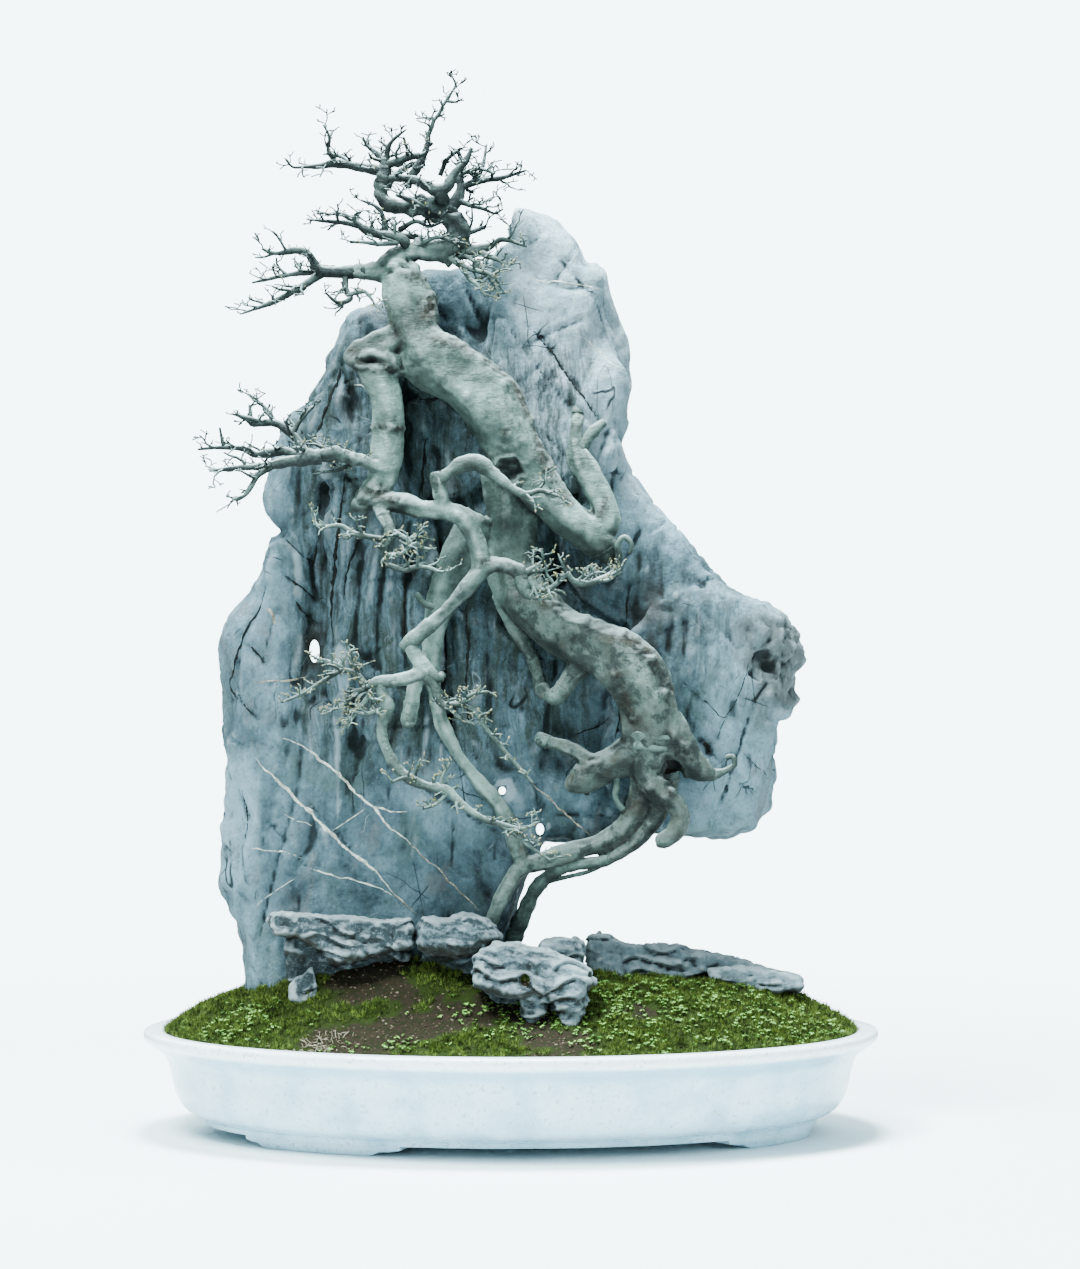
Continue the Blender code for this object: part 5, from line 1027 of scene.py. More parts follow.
@dataclass(frozen=True)
class SoilFinish:
    """Brown crumbly soil, green where moss grows on it."""

    brown: str = "2A2119"
    dark: str = "0A0807"
    straw: str = "5C5142"
    moss: str = "222E0C"

    def material(self) -> bpy.types.Material:
        """The finished material."""
        paint = Paint("soil")
        crumb = paint.noise(0.0045, 5.0, 0.7)
        body = paint.mix(colour(self.brown), colour(self.dark), paint.step(crumb, 0.42, 0.66))
        bits = paint.step(paint.cells(0.0055), 0.22, 0.10)
        body = paint.mix(body, colour(self.straw), bits * 0.6)
        green = paint.step(paint.field("moss") + crumb * 0.6, 0.22, 0.52)
        body = paint.mix(body, colour(self.moss), green * 0.9)
        return paint.done(
            Base_Color=body, Roughness=0.95, Specular_IOR_Level=0.1, Normal=paint.bump(crumb, 0.004))


@dataclass(frozen=True)
class LeafFinish:
    """Leaves, moss, buds or dry grass: two colours between which each leaf is drawn."""

    name: str
    first: str
    second: str
    shade: str
    roughness: float = 0.6
    patch_size: float = 0.024

    def material(self) -> bpy.types.Material:
        """The finished material."""
        paint = Paint(self.name)
        drift = paint.noise(self.patch_size, 5.0, 0.7)
        grain = paint.noise(0.004, 2.0)
        body = paint.mix(colour(self.first), colour(self.second),
                         paint.step(drift * 0.5 + grain * 0.5, 0.38, 0.60))
        body = paint.mix(body, colour(self.shade), paint.step(paint.noise(0.012, 3.0), 0.47, 0.66) * 0.8)
        return paint.done(Base_Color=body, Roughness=self.roughness, Specular_IOR_Level=0.15,
                          Normal=paint.bump(grain, 0.0005))


@dataclass(frozen=True)
class LineFinish:
    """The filling of the rock's veins and joints."""

    name: str
    first: str
    second: str

    def material(self) -> bpy.types.Material:
        """The finished material."""
        paint = Paint(self.name)
        grain = paint.noise(0.006, 4.0, 0.7)
        body = paint.mix(colour(self.first), colour(self.second), paint.step(grain, 0.4, 0.62))
        return paint.done(
            Base_Color=body, Roughness=0.85, Specular_IOR_Level=0.15, Normal=paint.bump(grain, 0.001))


class Plan(Graph):
    """A Geometry Nodes tree with named inputs, which makes one piece."""

    def __init__(self, name: str) -> None:
        """Starts a tree.

        Args:
            name: its name.
        """
        super().__init__(bpy.data.node_groups.new(name, "GeometryNodeTree"))
        self.tree.interface.new_socket("Geometry", in_out="INPUT", socket_type="NodeSocketGeometry")
        self.tree.interface.new_socket("Geometry", in_out="OUTPUT", socket_type="NodeSocketGeometry")
        self.entry = self.tree.nodes.new("NodeGroupInput")
        self.values: dict[str, object] = {}

    @property
    def carrier(self) -> Wire:
        """The geometry that the tree starts from."""
        return Wire(self, self.entry.outputs["Geometry"])

    def size(self, name: str, value: object, kind: str = "NodeSocketFloat") -> Wire:
        """Adds a named input.

        Args:
            name: the input's name.
            value: what the modifier sets it to.
            kind: the type of its socket.

        Returns:
            The input as a wire.
        """
        socket = self.tree.interface.new_socket(name, in_out="INPUT", socket_type=kind)
        self.values[socket.identifier] = value
        return Wire(self, self.find(self.entry.outputs, socket.identifier))

    def stored(self, name: str, kind: str = "FLOAT") -> Wire:
        """A number or vector stored on the carrier."""
        return self.node("GeometryNodeInputNamedAttribute", {"data_type": kind}, {"Name": name}, "Attribute")

    def chance(self, low: float | Wire, high: float | Wire, seed: int) -> Wire:
        """A random number for each point.

        Args:
            low: the least.
            high: the most.
            seed: the seed of the draw.

        Returns:
            The number.
        """
        return self.node("FunctionNodeRandomValue", {"data_type": "FLOAT"},
                         {"Min_001": low, "Max_001": high, "Seed": seed}, "Value_001")

    def grow(self, carrier: Object, name: str, geometry: Wire, material: bpy.types.Material) -> Object:
        """Ends the tree, runs it on a carrier and makes the result a plain mesh.

        Args:
            carrier: the object that the tree starts from, which is removed.
            name: the new piece's name.
            geometry: the geometry that the tree ends in.
            material: the piece's material.

        Returns:
            The piece.
        """
        real = self.node("GeometryNodeRealizeInstances", {}, {"Geometry": geometry})
        smooth = self.node("GeometryNodeSetShadeSmooth", {}, {"Geometry": real})
        dressed = self.node("GeometryNodeSetMaterial", {}, {"Geometry": smooth, "Material": material})
        self.feed(self.tree.nodes.new("NodeGroupOutput").inputs[0], dressed)
        modifier = carrier.modifiers.new(self.tree.name, "NODES")
        modifier.node_group = self.tree
        for identifier, value in self.values.items():
            modifier[identifier] = value
        made = evaluated_mesh(carrier)
        bpy.data.objects.remove(carrier, do_unlink=True)
        return add_object(name, made, material)


def add_object(name: str, mesh_data: bpy.types.Mesh, material: bpy.types.Material | None = None) -> Object:
    """Puts a mesh in the scene.

    Args:
        name: the object's name.
        mesh_data: its mesh.
        material: its only material.

    Returns:
        The object.
    """
    piece = bpy.data.objects.new(name, mesh_data)
    bpy.context.scene.collection.objects.link(piece)
    if material:
        mesh_data.materials.clear()
        mesh_data.materials.append(material)
    return piece


def evaluated_mesh(piece: Object) -> bpy.types.Mesh:
    """The piece's mesh with its modifiers applied."""
    graph = bpy.context.evaluated_depsgraph_get()
    graph.update()
    return bpy.data.meshes.new_from_object(piece.evaluated_get(graph), depsgraph=graph)


def apply_modifiers(piece: Object) -> None:
    """Makes the piece's modifiers part of its mesh."""
    made = evaluated_mesh(piece)
    piece.modifiers.clear()
    piece.data = made


def reach(depth: float) -> float:
    """How much larger or smaller a thing is at this depth than it is drawn."""
    return (depth * MM - EYE.y) / -EYE.y


def seen(x: float, z: float, depth: float = 0.0) -> Vector:
    """The point at a depth that covers a drawn place when it is looked at from EYE.

    Args:
        x: drawn place to the right, in mm.
        z: drawn height, in mm.
        depth: distance behind the pot's middle plane, in mm.

    Returns:
        The point, in metres.
    """
    flat = Vector(((x - DRAWING_LEFT) * MM, 0.0, z * MM))
    return EYE + (flat - EYE) * reach(depth)


def blend(low: float, high: float, value: float) -> float:
    """A smooth step from 0 to 1.

    Args:
        low: where it starts.
        high: where it ends.
        value: what is read.

    Returns:
        The step.
    """
    share = min(1.0, max(0.0, (value - low) / (high - low)))
    return share * share * (3.0 - 2.0 * share)


def spline(points: Sequence[Sequence[float]], step: float) -> list[tuple[float, ...]]:
    """A smooth curve through some points, each of any number of values.

    Args:
        points: the points.
        step: the distance between the curve's own points, about.

    Returns:
        The curve's points.
    """
    size = len(points[0])
    result = []
    for i in range(len(points) - 1):
        before, start, end = points[max(i - 1, 0)], points[i], points[i + 1]
        after = points[min(i + 2, len(points) - 1)]
        pieces = max(1, round(math.dist(start[:3], end[:3]) / step))
        for k in range(pieces):
            t = k / pieces
            result.append(tuple(
                0.5 * (2 * start[j] + (end[j] - before[j]) * t
                       + (2 * before[j] - 5 * start[j] + 4 * end[j] - after[j]) * t ** 2
                       + (3 * start[j] - before[j] - 3 * end[j] + after[j]) * t ** 3)
                for j in range(size)))
    result.append(tuple(points[-1]))
    return result


def loft(shape: bmesh.types.BMesh, rings: Rings, around: bool = False) -> None:
    """Adds a skin over a stack of rings.

    Args:
        shape: what it is added to.
        rings: the rings.
        around: whether the last ring joins the first, instead of each having a flat face.
    """
    rows = [[shape.verts.new(point) for point in ring] for ring in rings]
    count = len(rows[0])
    pairs = list(zip(rows, rows[1:])) + ([(rows[-1], rows[0])] if around else [])
    for low, high in pairs:
        for i in range(count):
            k = (i + 1) % count
            shape.faces.new((low[i], low[k], high[k], high[i]))
    if not around:
        shape.faces.new(rows[0][::-1])
        shape.faces.new(rows[-1])


def object_of(name: str, shape: bmesh.types.BMesh, material: bpy.types.Material | None = None) -> Object:
    """Makes a bmesh an object with its faces outwards.

    Args:
        name: the object's name.
        shape: the bmesh, which is freed.
        material: the object's material.

    Returns:
        The object.
    """
    bmesh.ops.recalc_face_normals(shape, faces=shape.faces)
    mesh_data = bpy.data.meshes.new(name)
    shape.to_mesh(mesh_data)
    shape.free()
    return add_object(name, mesh_data, material)


def one_skin(piece: Object, voxel: float, smoothing: int) -> None:
    """Makes overlapping shells one even skin.

    Args:
        piece: the object that holds the shells.
        voxel: the size of the skin's faces.
        smoothing: how often the skin is smoothed.
    """
    modifier = piece.modifiers.new("skin", "REMESH")
    modifier.mode = "VOXEL"
    modifier.voxel_size = voxel
    modifier.use_smooth_shade = True
    modifier = piece.modifiers.new("even", "SMOOTH")
    modifier.factor = 0.5
    modifier.iterations = smoothing
    apply_modifiers(piece)


def raise_relief(piece: Object, relief: Callable[[Vector, Vector], float]) -> None:
    """Moves each point along its normal.

    Args:
        piece: the object.
        relief: gives the height in metres at a point with a normal.
    """
    moved = [vertex.co + vertex.normal * relief(vertex.co, vertex.normal) for vertex in piece.data.vertices]
    piece.data.vertices.foreach_set("co", np.array(moved, np.float32).ravel())
    piece.data.update()


def store(piece: Object, name: str, values: Sequence[float]) -> None:
    """Stores a number on each point.

    Args:
        piece: the object.
        name: the number's name.
        values: one for each point.
    """
    layer = piece.data.attributes.new(name, "FLOAT", "POINT")
    layer.data.foreach_set("value", np.asarray(values, np.float32))


def store_hollows(piece: Object, turns: int, unit: float) -> None:
    """Stores how far each point lies below its surroundings.

    Args:
        piece: the object.
        turns: how often the skin is smoothed to find its surroundings.
        unit: the depth, in metres, that counts as 1.
    """
    skin = piece.data
    count = len(skin.vertices)
    places = np.empty(count * 3, np.float32)
    skin.vertices.foreach_get("co", places)
    places = places.reshape(-1, 3).astype(float)
    normals = np.empty(count * 3, np.float32)
    skin.vertices.foreach_get("normal", normals)
    ends = np.empty(len(skin.edges) * 2, np.int32)
    skin.edges.foreach_get("vertices", ends)
    ends = ends.reshape(-1, 2)
    first = np.concatenate([ends[:, 0], ends[:, 1]])
    second = np.concatenate([ends[:, 1], ends[:, 0]])
    shares = 1.0 / np.maximum(1, np.bincount(first, minlength=count))
    smooth = places
    for turn in range(turns):
        smooth = np.stack([
            np.bincount(first, weights=smooth[second, axis], minlength=count) * shares for axis in range(3)
        ], axis=1)
    store(piece, "hollow", ((smooth - places) * normals.reshape(-1, 3)).sum(axis=1) / unit)


def store_up(piece: Object) -> None:
    """Stores how far each point faces up, 1 on tops and -1 on undersides."""
    store(piece, "up", [vertex.normal.z for vertex in piece.data.vertices])


def cut_away(piece: Object, cutters: Sequence[Object]) -> None:
    """Cuts shapes from a piece and removes them.

    Args:
        piece: the piece.
        cutters: the shapes.
    """
    for cutter in cutters:
        modifier = piece.modifiers.new("cut", "BOOLEAN")
        modifier.operation = "DIFFERENCE"
        modifier.object = cutter
        modifier.solver = "MANIFOLD"
    apply_modifiers(piece)
    for cutter in cutters:
        bpy.data.objects.remove(cutter, do_unlink=True)


def closed_outline(points: Sequence[tuple[float, float]], step: float) -> list[tuple[float, float]]:
    """A smooth closed curve through some corners.

    Args:
        points: the corners, drawn.
        step: the distance between the curve's own points.

    Returns:
        The curve's points.
    """
    ring = list(points[-2:]) + list(points) + list(points[:2])
    flat = [(x, 0.0, z) for x, z in ring]
    whole = spline(flat, step)
    start = min(range(len(whole) // 3), key=lambda i: math.dist(whole[i], flat[2]))
    stop = min(range(2 * len(whole) // 3, len(whole)), key=lambda i: math.dist(whole[i], flat[-2]))
    return [(x, z) for x, y, z in whole[start:stop]]


@dataclass(frozen=True)
class Lobe:
    """A rounded block: its drawn outline, the depths of its front and back, its edge and its lean."""

    outline: tuple[tuple[float, float], ...]
    front: float
    back: float
    edge: float
    lean: tuple[float, float]

    def rings(self) -> Rings:
        """Slices from front to back: the outline, drawn in at both ends to round the edges."""
        corners = closed_outline(self.outline, OUTLINE_STEP * self.edge)
        middle_x = sum(x for x, z in corners) / len(corners)
        middle_z = sum(z for x, z in corners) / len(corners)
        bevel = EDGE_BEVEL * self.edge
        slices = (
            (self.front, 1.0), (self.front + bevel, EDGE_BEVEL), (self.front + self.edge, 0.0),
            (self.back - self.edge, 0.0), (self.back - bevel, EDGE_BEVEL), (self.back, 1.0),
        )
        rings = []
        for depth, share in slices:
            ring = []
            for x, z in corners:
                span = math.hypot(x - middle_x, z - middle_z)
                keep = max(LEAST_WIDTH, 1.0 - share * self.edge / span)
                place_x = middle_x + (x - middle_x) * keep
                place_z = middle_z + (z - middle_z) * keep
                tilt = 0.0
                if depth < (self.front + self.back) / 2:
                    tilt = self.lean[0] * (x - middle_x) + self.lean[1] * (z - middle_z)
                elif self.back - self.front > ROCK_DEEP:
                    tilt = BACK_LEAN * (z - BACK_LEVEL) * blend(BURIED_LEVEL, BACK_FULL, z)
                ring.append(seen(place_x, place_z, depth + tilt))
            rings.append(ring)
        return rings


def leaned(place: Vector, lean: float, sizes: tuple[float, float, float]) -> Vector:
    """A place in axes that lean to the right, in units of these sizes.

    Args:
        place: where, in metres.
        lean: how far the axes lean from upright, in radians.
        sizes: the unit along each axis, in metres.

    Returns:
        The place.
    """
    across = place.x * math.cos(lean) - place.z * math.sin(lean)
    along = place.x * math.sin(lean) + place.z * math.cos(lean)
    return Vector((across / sizes[0], place.y / sizes[1], along / sizes[2]))


def facets(spot: Vector) -> float:
    """Chipped faces: a plane of random slope for each cell, blended at their borders.

    Args:
        spot: where, in cells.

    Returns:
        The height, in cells.
    """
    spans, centres = noise.voronoi(spot)
    total = 0.0
    weight = 0.0
    for span, centre in zip(spans, centres):
        share = math.exp(-CHIP_SHARPNESS * (span - spans[0]))
        slope = Vector(noise.noise(centre * SLOPE_SPREAD + shift) for shift in SLOPE_SHIFTS)
        total += share * slope.dot(spot - centre)
        weight += share
    return total / weight


def waves(place: Vector, height: float, length: float) -> float:
    """Smooth waves: the noise field at this length, times this height."""
    return height * noise.noise(place / length)


def rod(place: tuple[float, float], depths: tuple[float, float], size: tuple[float, float],
        sides: int) -> Object:
    """A cutter along the line of sight, oval in section.

    Args:
        place: drawn middle.
        depths: where it starts and ends.
        size: drawn width and height.
        sides: number of its sides.

    Returns:
        The cutter.
    """
    shape = bmesh.new()
    turns = [math.tau * i / sides for i in range(sides)]
    loft(shape, [
        [seen(place[0] + size[0] / 2 * math.cos(turn), place[1] + size[1] / 2 * math.sin(turn), depth)
         for turn in turns]
        for depth in depths
    ])
    return object_of("rod", shape)


def path_carrier(paths: Sequence[Path], extras: dict[str, Sequence[float]]) -> Object:
    """A mesh of loose lines, with the thickness of each point and more numbers for each line.

    Args:
        paths: the lines, as (place, radius) points.
        extras: for each name, one number for each line.

    Returns:
        The carrier.
    """
    places = [place for path in paths for place, radius in path]
    edges = []
    for path in paths:
        first = edges[-1][1] + 1 if edges else 0
        edges += [(first + i, first + i + 1) for i in range(len(path) - 1)]
    lines = bpy.data.meshes.new("lines")
    lines.from_pydata(places, edges, [])
    carrier = add_object("lines", lines)
    store(carrier, "thickness", [radius for path in paths for place, radius in path])
    for name, values in extras.items():
        store(carrier, name, [value for path, value in zip(paths, values) for point in path])
    return carrier


def tubes(name: str, paths: Sequence[Path], extras: dict[str, Sequence[float]], sides: int, knobs: float,
          material: bpy.types.Material) -> Object:
    """Tubes along paths, made by Geometry Nodes.

    Args:
        name: the piece's name.
        paths: the lines, as (place, radius) points.
        extras: for each name, one number for each line.
        sides: number of sides of a tube.
        knobs: how far the tubes swell and shrink, as a share of their radius.
        material: the piece's material.

    Returns:
        The piece.
    """
    plan = Plan(f"{name}_tubes")
    round_sides = plan.size("Sides", sides, "NodeSocketInt")
    swelling = plan.size("Knobs", knobs)
    spot = plan.node("GeometryNodeInputPosition")
    lumps = plan.node("ShaderNodeTexNoise", {},
                      {"Vector": spot, "Scale": 85.0, "Detail": 2.0, "Roughness": 0.6})
    radius = plan.stored("thickness") * (1.0 + (lumps - 0.45) * 3.0 * swelling)
    lines = plan.node("GeometryNodeMeshToCurve", {}, {"Mesh": plan.carrier}, "Curve")
    profile = plan.node("GeometryNodeCurvePrimitiveCircle", {},
                        {"Resolution": round_sides, "Radius": 1.0}, "Curve")
    skin = plan.node("GeometryNodeCurveToMesh", {}, {
        "Curve": lines, "Profile Curve": profile, "Scale": radius, "Fill Caps": True}, "Mesh")
    made = plan.grow(path_carrier(paths, extras), name, skin, material)
    store_up(made)
    return made


class Mark(Enum):
    """A feature of the old bark."""

    SCAR = "scar"
    CLEFT = "cleft"
    BURL = "burl"
    HOLLOW = "hollow"


class Line(Enum):
    """What fills a line on the rock."""

    BROWN = "brown"
    WHITE = "white"
    CRACK = "crack"


# Marks in the bark: the kind, the drawn middle, the radius and the height
MARKS: tuple[tuple[Mark, float, float, float, float], ...] = (
    (Mark.SCAR, -80, 938, 13, 2.6), (Mark.SCAR, 5, 795, 7, 0.8), (Mark.CLEFT, -148, 876, 17, 3.0),
    (Mark.SCAR, 166, 486, 7, 0.6), (Mark.HOLLOW, 194, 412, 13, 8.0), (Mark.BURL, 188, 378, 7, 3.6),
    (Mark.BURL, 168, 392, 7, 3.0), (Mark.HOLLOW, 8, 752, 14, 8.0), (Mark.SCAR, -82, 722, 7, 1.6),
    (Mark.BURL, -24, 880, 8, 2.4), (Mark.BURL, 6, 852, 9, 2.6), (Mark.BURL, 33, 810, 8, 2.6),
    (Mark.BURL, -40, 838, 9, 3.0), (Mark.BURL, 96, 582, 9, 3.4), (Mark.BURL, 138, 566, 8, 3.4),
    (Mark.BURL, 170, 536, 8, 3.6), (Mark.BURL, 186, 498, 7, 3.2), (Mark.BURL, 152, 474, 9, 3.6),
    (Mark.BURL, 196, 452, 7, 3.0), (Mark.BURL, 178, 420, 8, 3.4), (Mark.BURL, -124, 986, 8, 3.4),
    (Mark.BURL, -98, 980, 7, 3.0), (Mark.BURL, -60, 912, 8, 3.0), (Mark.BURL, 24, 640, 8, 3.2),
    (Mark.BURL, -142, 730, 7, 2.8), (Mark.BURL, -112, 716, 6, 2.6), (Mark.BURL, -50, 702, 6, 2.6),
)

# Rough bark: the drawn line that it follows and its half width
ROUGH_BARK = (
    ((-72, 902), (-44, 896), 8), ((-44, 896), (-14, 876), 6), ((-14, 876), (18, 848), 6),
    ((18, 848), (38, 806), 7), ((38, 806), (52, 752), 7), ((52, 752), (78, 716), 7),
    ((-172, 880), (-124, 868), 12), ((-112, 980), (-86, 968), 9), ((-146, 802), (-112, 800), 4),
    ((40, 612), (70, 592), 9), ((70, 592), (120, 574), 7), ((120, 574), (168, 546), 8),
    ((168, 546), (194, 500), 7), ((130, 520), (150, 470), 9), ((190, 450), (212, 426), 8),
    ((112, 700), (120, 720), 6), ((-82, 930), (-78, 946), 12), ((3, 795), (7, 795), 6),
    ((-24, 762), (16, 748), 9), ((84, 808), (110, 802), 8), ((-148, 728), (-112, 716), 9),
    ((-20, 648), (12, 640), 7), ((82, 398), (104, 420), 9), ((140, 368), (168, 386), 11),
    ((182, 372), (192, 384), 8),
)

# Lines on the rock: what fills each, its radius and its drawn points. The cracks are sunk in the relief too.
ROCK_LINES: tuple[tuple[Line, float, tuple[tuple[float, float], ...]], ...] = (
    (Line.WHITE, 2.5, ((-284, 429), (-262, 405), (-247, 392), (-222, 366), (-205, 350), (-184, 328),
        (-165, 311), (-150, 300), (-136, 286), (-120, 267))),
    (Line.BROWN, 1.3, ((-124, 271), (-108, 256), (-98, 246))),
    (Line.WHITE, 2.0, ((-250, 447), (-228, 438), (-205, 422), (-180, 400), (-163, 382), (-148, 368),
        (-134, 353), (-118, 338), (-104, 326), (-92, 317))),
    (Line.WHITE, 1.0, ((-148, 368), (-128, 364), (-108, 362))),
    (Line.WHITE, 0.8, ((-153, 368), (-172, 355), (-194, 340))),
    (Line.WHITE, 0.7, ((-250, 360), (-232, 353), (-216, 348))),
    (Line.BROWN, 1.2, ((-106, 328), (-60, 285), (-25, 250))),
    (Line.BROWN, 2.2, ((-268, 596), (-261, 588), (-257, 577))),
    (Line.CRACK, 0.8, ((209, 505), (230, 490), (258, 474), (289, 548))),
    (Line.CRACK, 0.7, ((258, 474), (246, 447))),
    (Line.CRACK, 4.0, ((229, 444), (234, 438), (237, 431))),
    (Line.CRACK, 0.6, ((270, 437), (289, 416), (304, 397), (296, 360))),
    (Line.WHITE, 1.3, ((-219, 301), (-186, 289), (-150, 280), (-120, 266))),
    (Line.WHITE, 1.0, ((-288, 320), (-258, 318), (-228, 311))),
    (Line.WHITE, 0.7, ((-236, 288), (-258, 272), (-280, 254))),
    (Line.BROWN, 1.4, ((30, 401), (52, 381), (78, 357), (105, 332))),
    (Line.WHITE, 1.3, ((30, 968), (60, 966), (92, 964), (116, 958))),
    (Line.WHITE, 0.9, ((96, 905), (118, 880), (138, 866))),
    (Line.CRACK, 2.0, ((30, 918), (47, 900), (60, 880), (75, 860), (90, 842), (100, 825), (112, 810))),
    (Line.CRACK, 1.4, ((147, 620), (144, 600), (140, 560))),
    (Line.CRACK, 1.5, ((130, 500), (135, 470), (128, 445))),
    (Line.CRACK, 1.2, ((80, 450), (104, 458), (125, 470))),
    (Line.CRACK, 2.6, ((-181, 878), (-184, 862), (-197, 830), (-206, 805), (-214, 785))),
    (Line.CRACK, 3.0, ((-179, 747), (-181, 721), (-187, 677), (-189, 651), (-193, 613), (-193, 581),
        (-190, 545))),
    (Line.CRACK, 1.8, ((-208, 680), (-213, 651), (-214, 625), (-209, 606))),
    (Line.CRACK, 1.8, ((-248, 677), (-229, 657), (-211, 645))),
    (Line.CRACK, 1.6, ((-248, 632), (-229, 619), (-209, 603))),
    (Line.CRACK, 1.6, ((-238, 606), (-222, 587), (-209, 577))),
    (Line.CRACK, 2.0, ((-270, 622), (-277, 593), (-293, 565), (-305, 529), (-308, 507), (-296, 488),
        (-277, 469))),
    (Line.CRACK, 1.5, ((-286, 552), (-269, 533))),
    (Line.BROWN, 1.6, ((-283, 510), (-248, 512), (-222, 515))),
    (Line.CRACK, 2.4, ((-86, 790), (-89, 750), (-91, 721))),
    (Line.CRACK, 2.2, ((-107, 690), (-107, 645), (-110, 603), (-111, 568), (-110, 529))),
    (Line.CRACK, 1.8, ((-155, 690), (-165, 670), (-177, 629), (-181, 603))),
    (Line.CRACK, 2.4, ((-40, 597), (-38, 549), (-40, 501), (-37, 453))),
    (Line.CRACK, 1.8, ((-65, 581), (-64, 533), (-68, 490))),
    (Line.CRACK, 2.6, ((-110, 843), (-88, 832), (-62, 833), (-43, 817), (-33, 795))),
    (Line.WHITE, 1.4, ((-149, 840), (-158, 848), (-168, 850))),
    (Line.CRACK, 1.2, ((-296, 388), (-288, 360), (-292, 330))),
)

# Dark stains, and painted shade round the left hole and in the wide joint low on the right: drawn middle and
# half sizes
ROCK_STAINS_AND_SHADE = ((172, 600, 12, 44), (171, 552, 9, 20), (234, 438, 7, 7), (-213, 546, 14, 32))

# Where the rock is grooved, streaked and pale: fields whose sides fade between two drawn places each
GROOVE_FIELDS = (
    dict(left=(-262, -232), right=(-70, -50), bottom=(395, 430), top=(880, 930), strength=1.0),
    dict(left=(128, 150), right=(250, 285), bottom=(430, 520), top=(640, 700), strength=0.7),
)
STREAK_FIELDS = (
    dict(left=(-262, -222), right=(90, 120), bottom=(380, 450), top=(860, 960), strength=1.0),
    dict(left=(100, 150), right=(250, 310), bottom=(420, 520), top=(620, 700), strength=0.6),
)
LIGHT_FIELDS = (
    dict(left=(-60, 30), right=(420, 460), bottom=(640, 760), top=(1300, 1400), strength=0.56),
    dict(left=(180, 260), right=(420, 460), bottom=(300, 420), top=(1300, 1400), strength=0.17),
    dict(left=(-400, -380), right=(-262, -240), bottom=(480, 560), top=(1300, 1400), strength=0.08),
    dict(left=(-400, -380), right=(-292, -270), bottom=(240, 320), top=(380, 460), strength=0.30),
    dict(left=(-330, -320), right=(-262, -236), bottom=(0, 10), top=(240, 300), strength=0.06),
)


def share_in(fields: Sequence[dict], x: float, z: float) -> float:
    """How strongly a drawn place lies in one of some soft-edged fields.

    Args:
        fields: the fields.
        x: drawn place to the right.
        z: drawn height.

    Returns:
        The strength.
    """
    return max(
        field["strength"] * blend(*field["left"], x) * (1.0 - blend(*field["right"], x))
        * blend(*field["bottom"], z) * (1.0 - blend(*field["top"], z))
        for field in fields)


def patchy(patches: Iterable[Sequence[float]], x: float, y: float) -> float:
    """How strongly a place lies in one of some oval patches.

    Args:
        patches: middle and half sizes of each, and its strength where that isn't 1.
        x: first coordinate of the place, in the patches' own unit.
        y: its second coordinate.

    Returns:
        The strength, 1 in a patch's middle.
    """
    return max(
        math.exp(-((x - px) / wide) ** 2 - ((y - py) / deep) ** 2) * math.prod(strength)
        for px, py, wide, deep, *strength in patches)


def line_distance(start: tuple[float, float], end: tuple[float, float], x: float, z: float) -> float:
    """Distance of a drawn place from the straight line between two others."""
    first, place = Vector(start), Vector((x, z))
    span = Vector(end) - first
    share = min(1.0, max(0.0, (place - first).dot(span) / span.length_squared))
    return (first + span * share - place).length


def drawn(place: Vector) -> tuple[float, float]:
    """The drawn place, x and z in mm, that a point covers when it is looked at from EYE."""
    share = -EYE.y / (place.y - EYE.y)
    return (
        (EYE.x + (place.x - EYE.x) * share) / MM + DRAWING_LEFT,
        (EYE.z + (place.z - EYE.z) * share) / MM,
    )


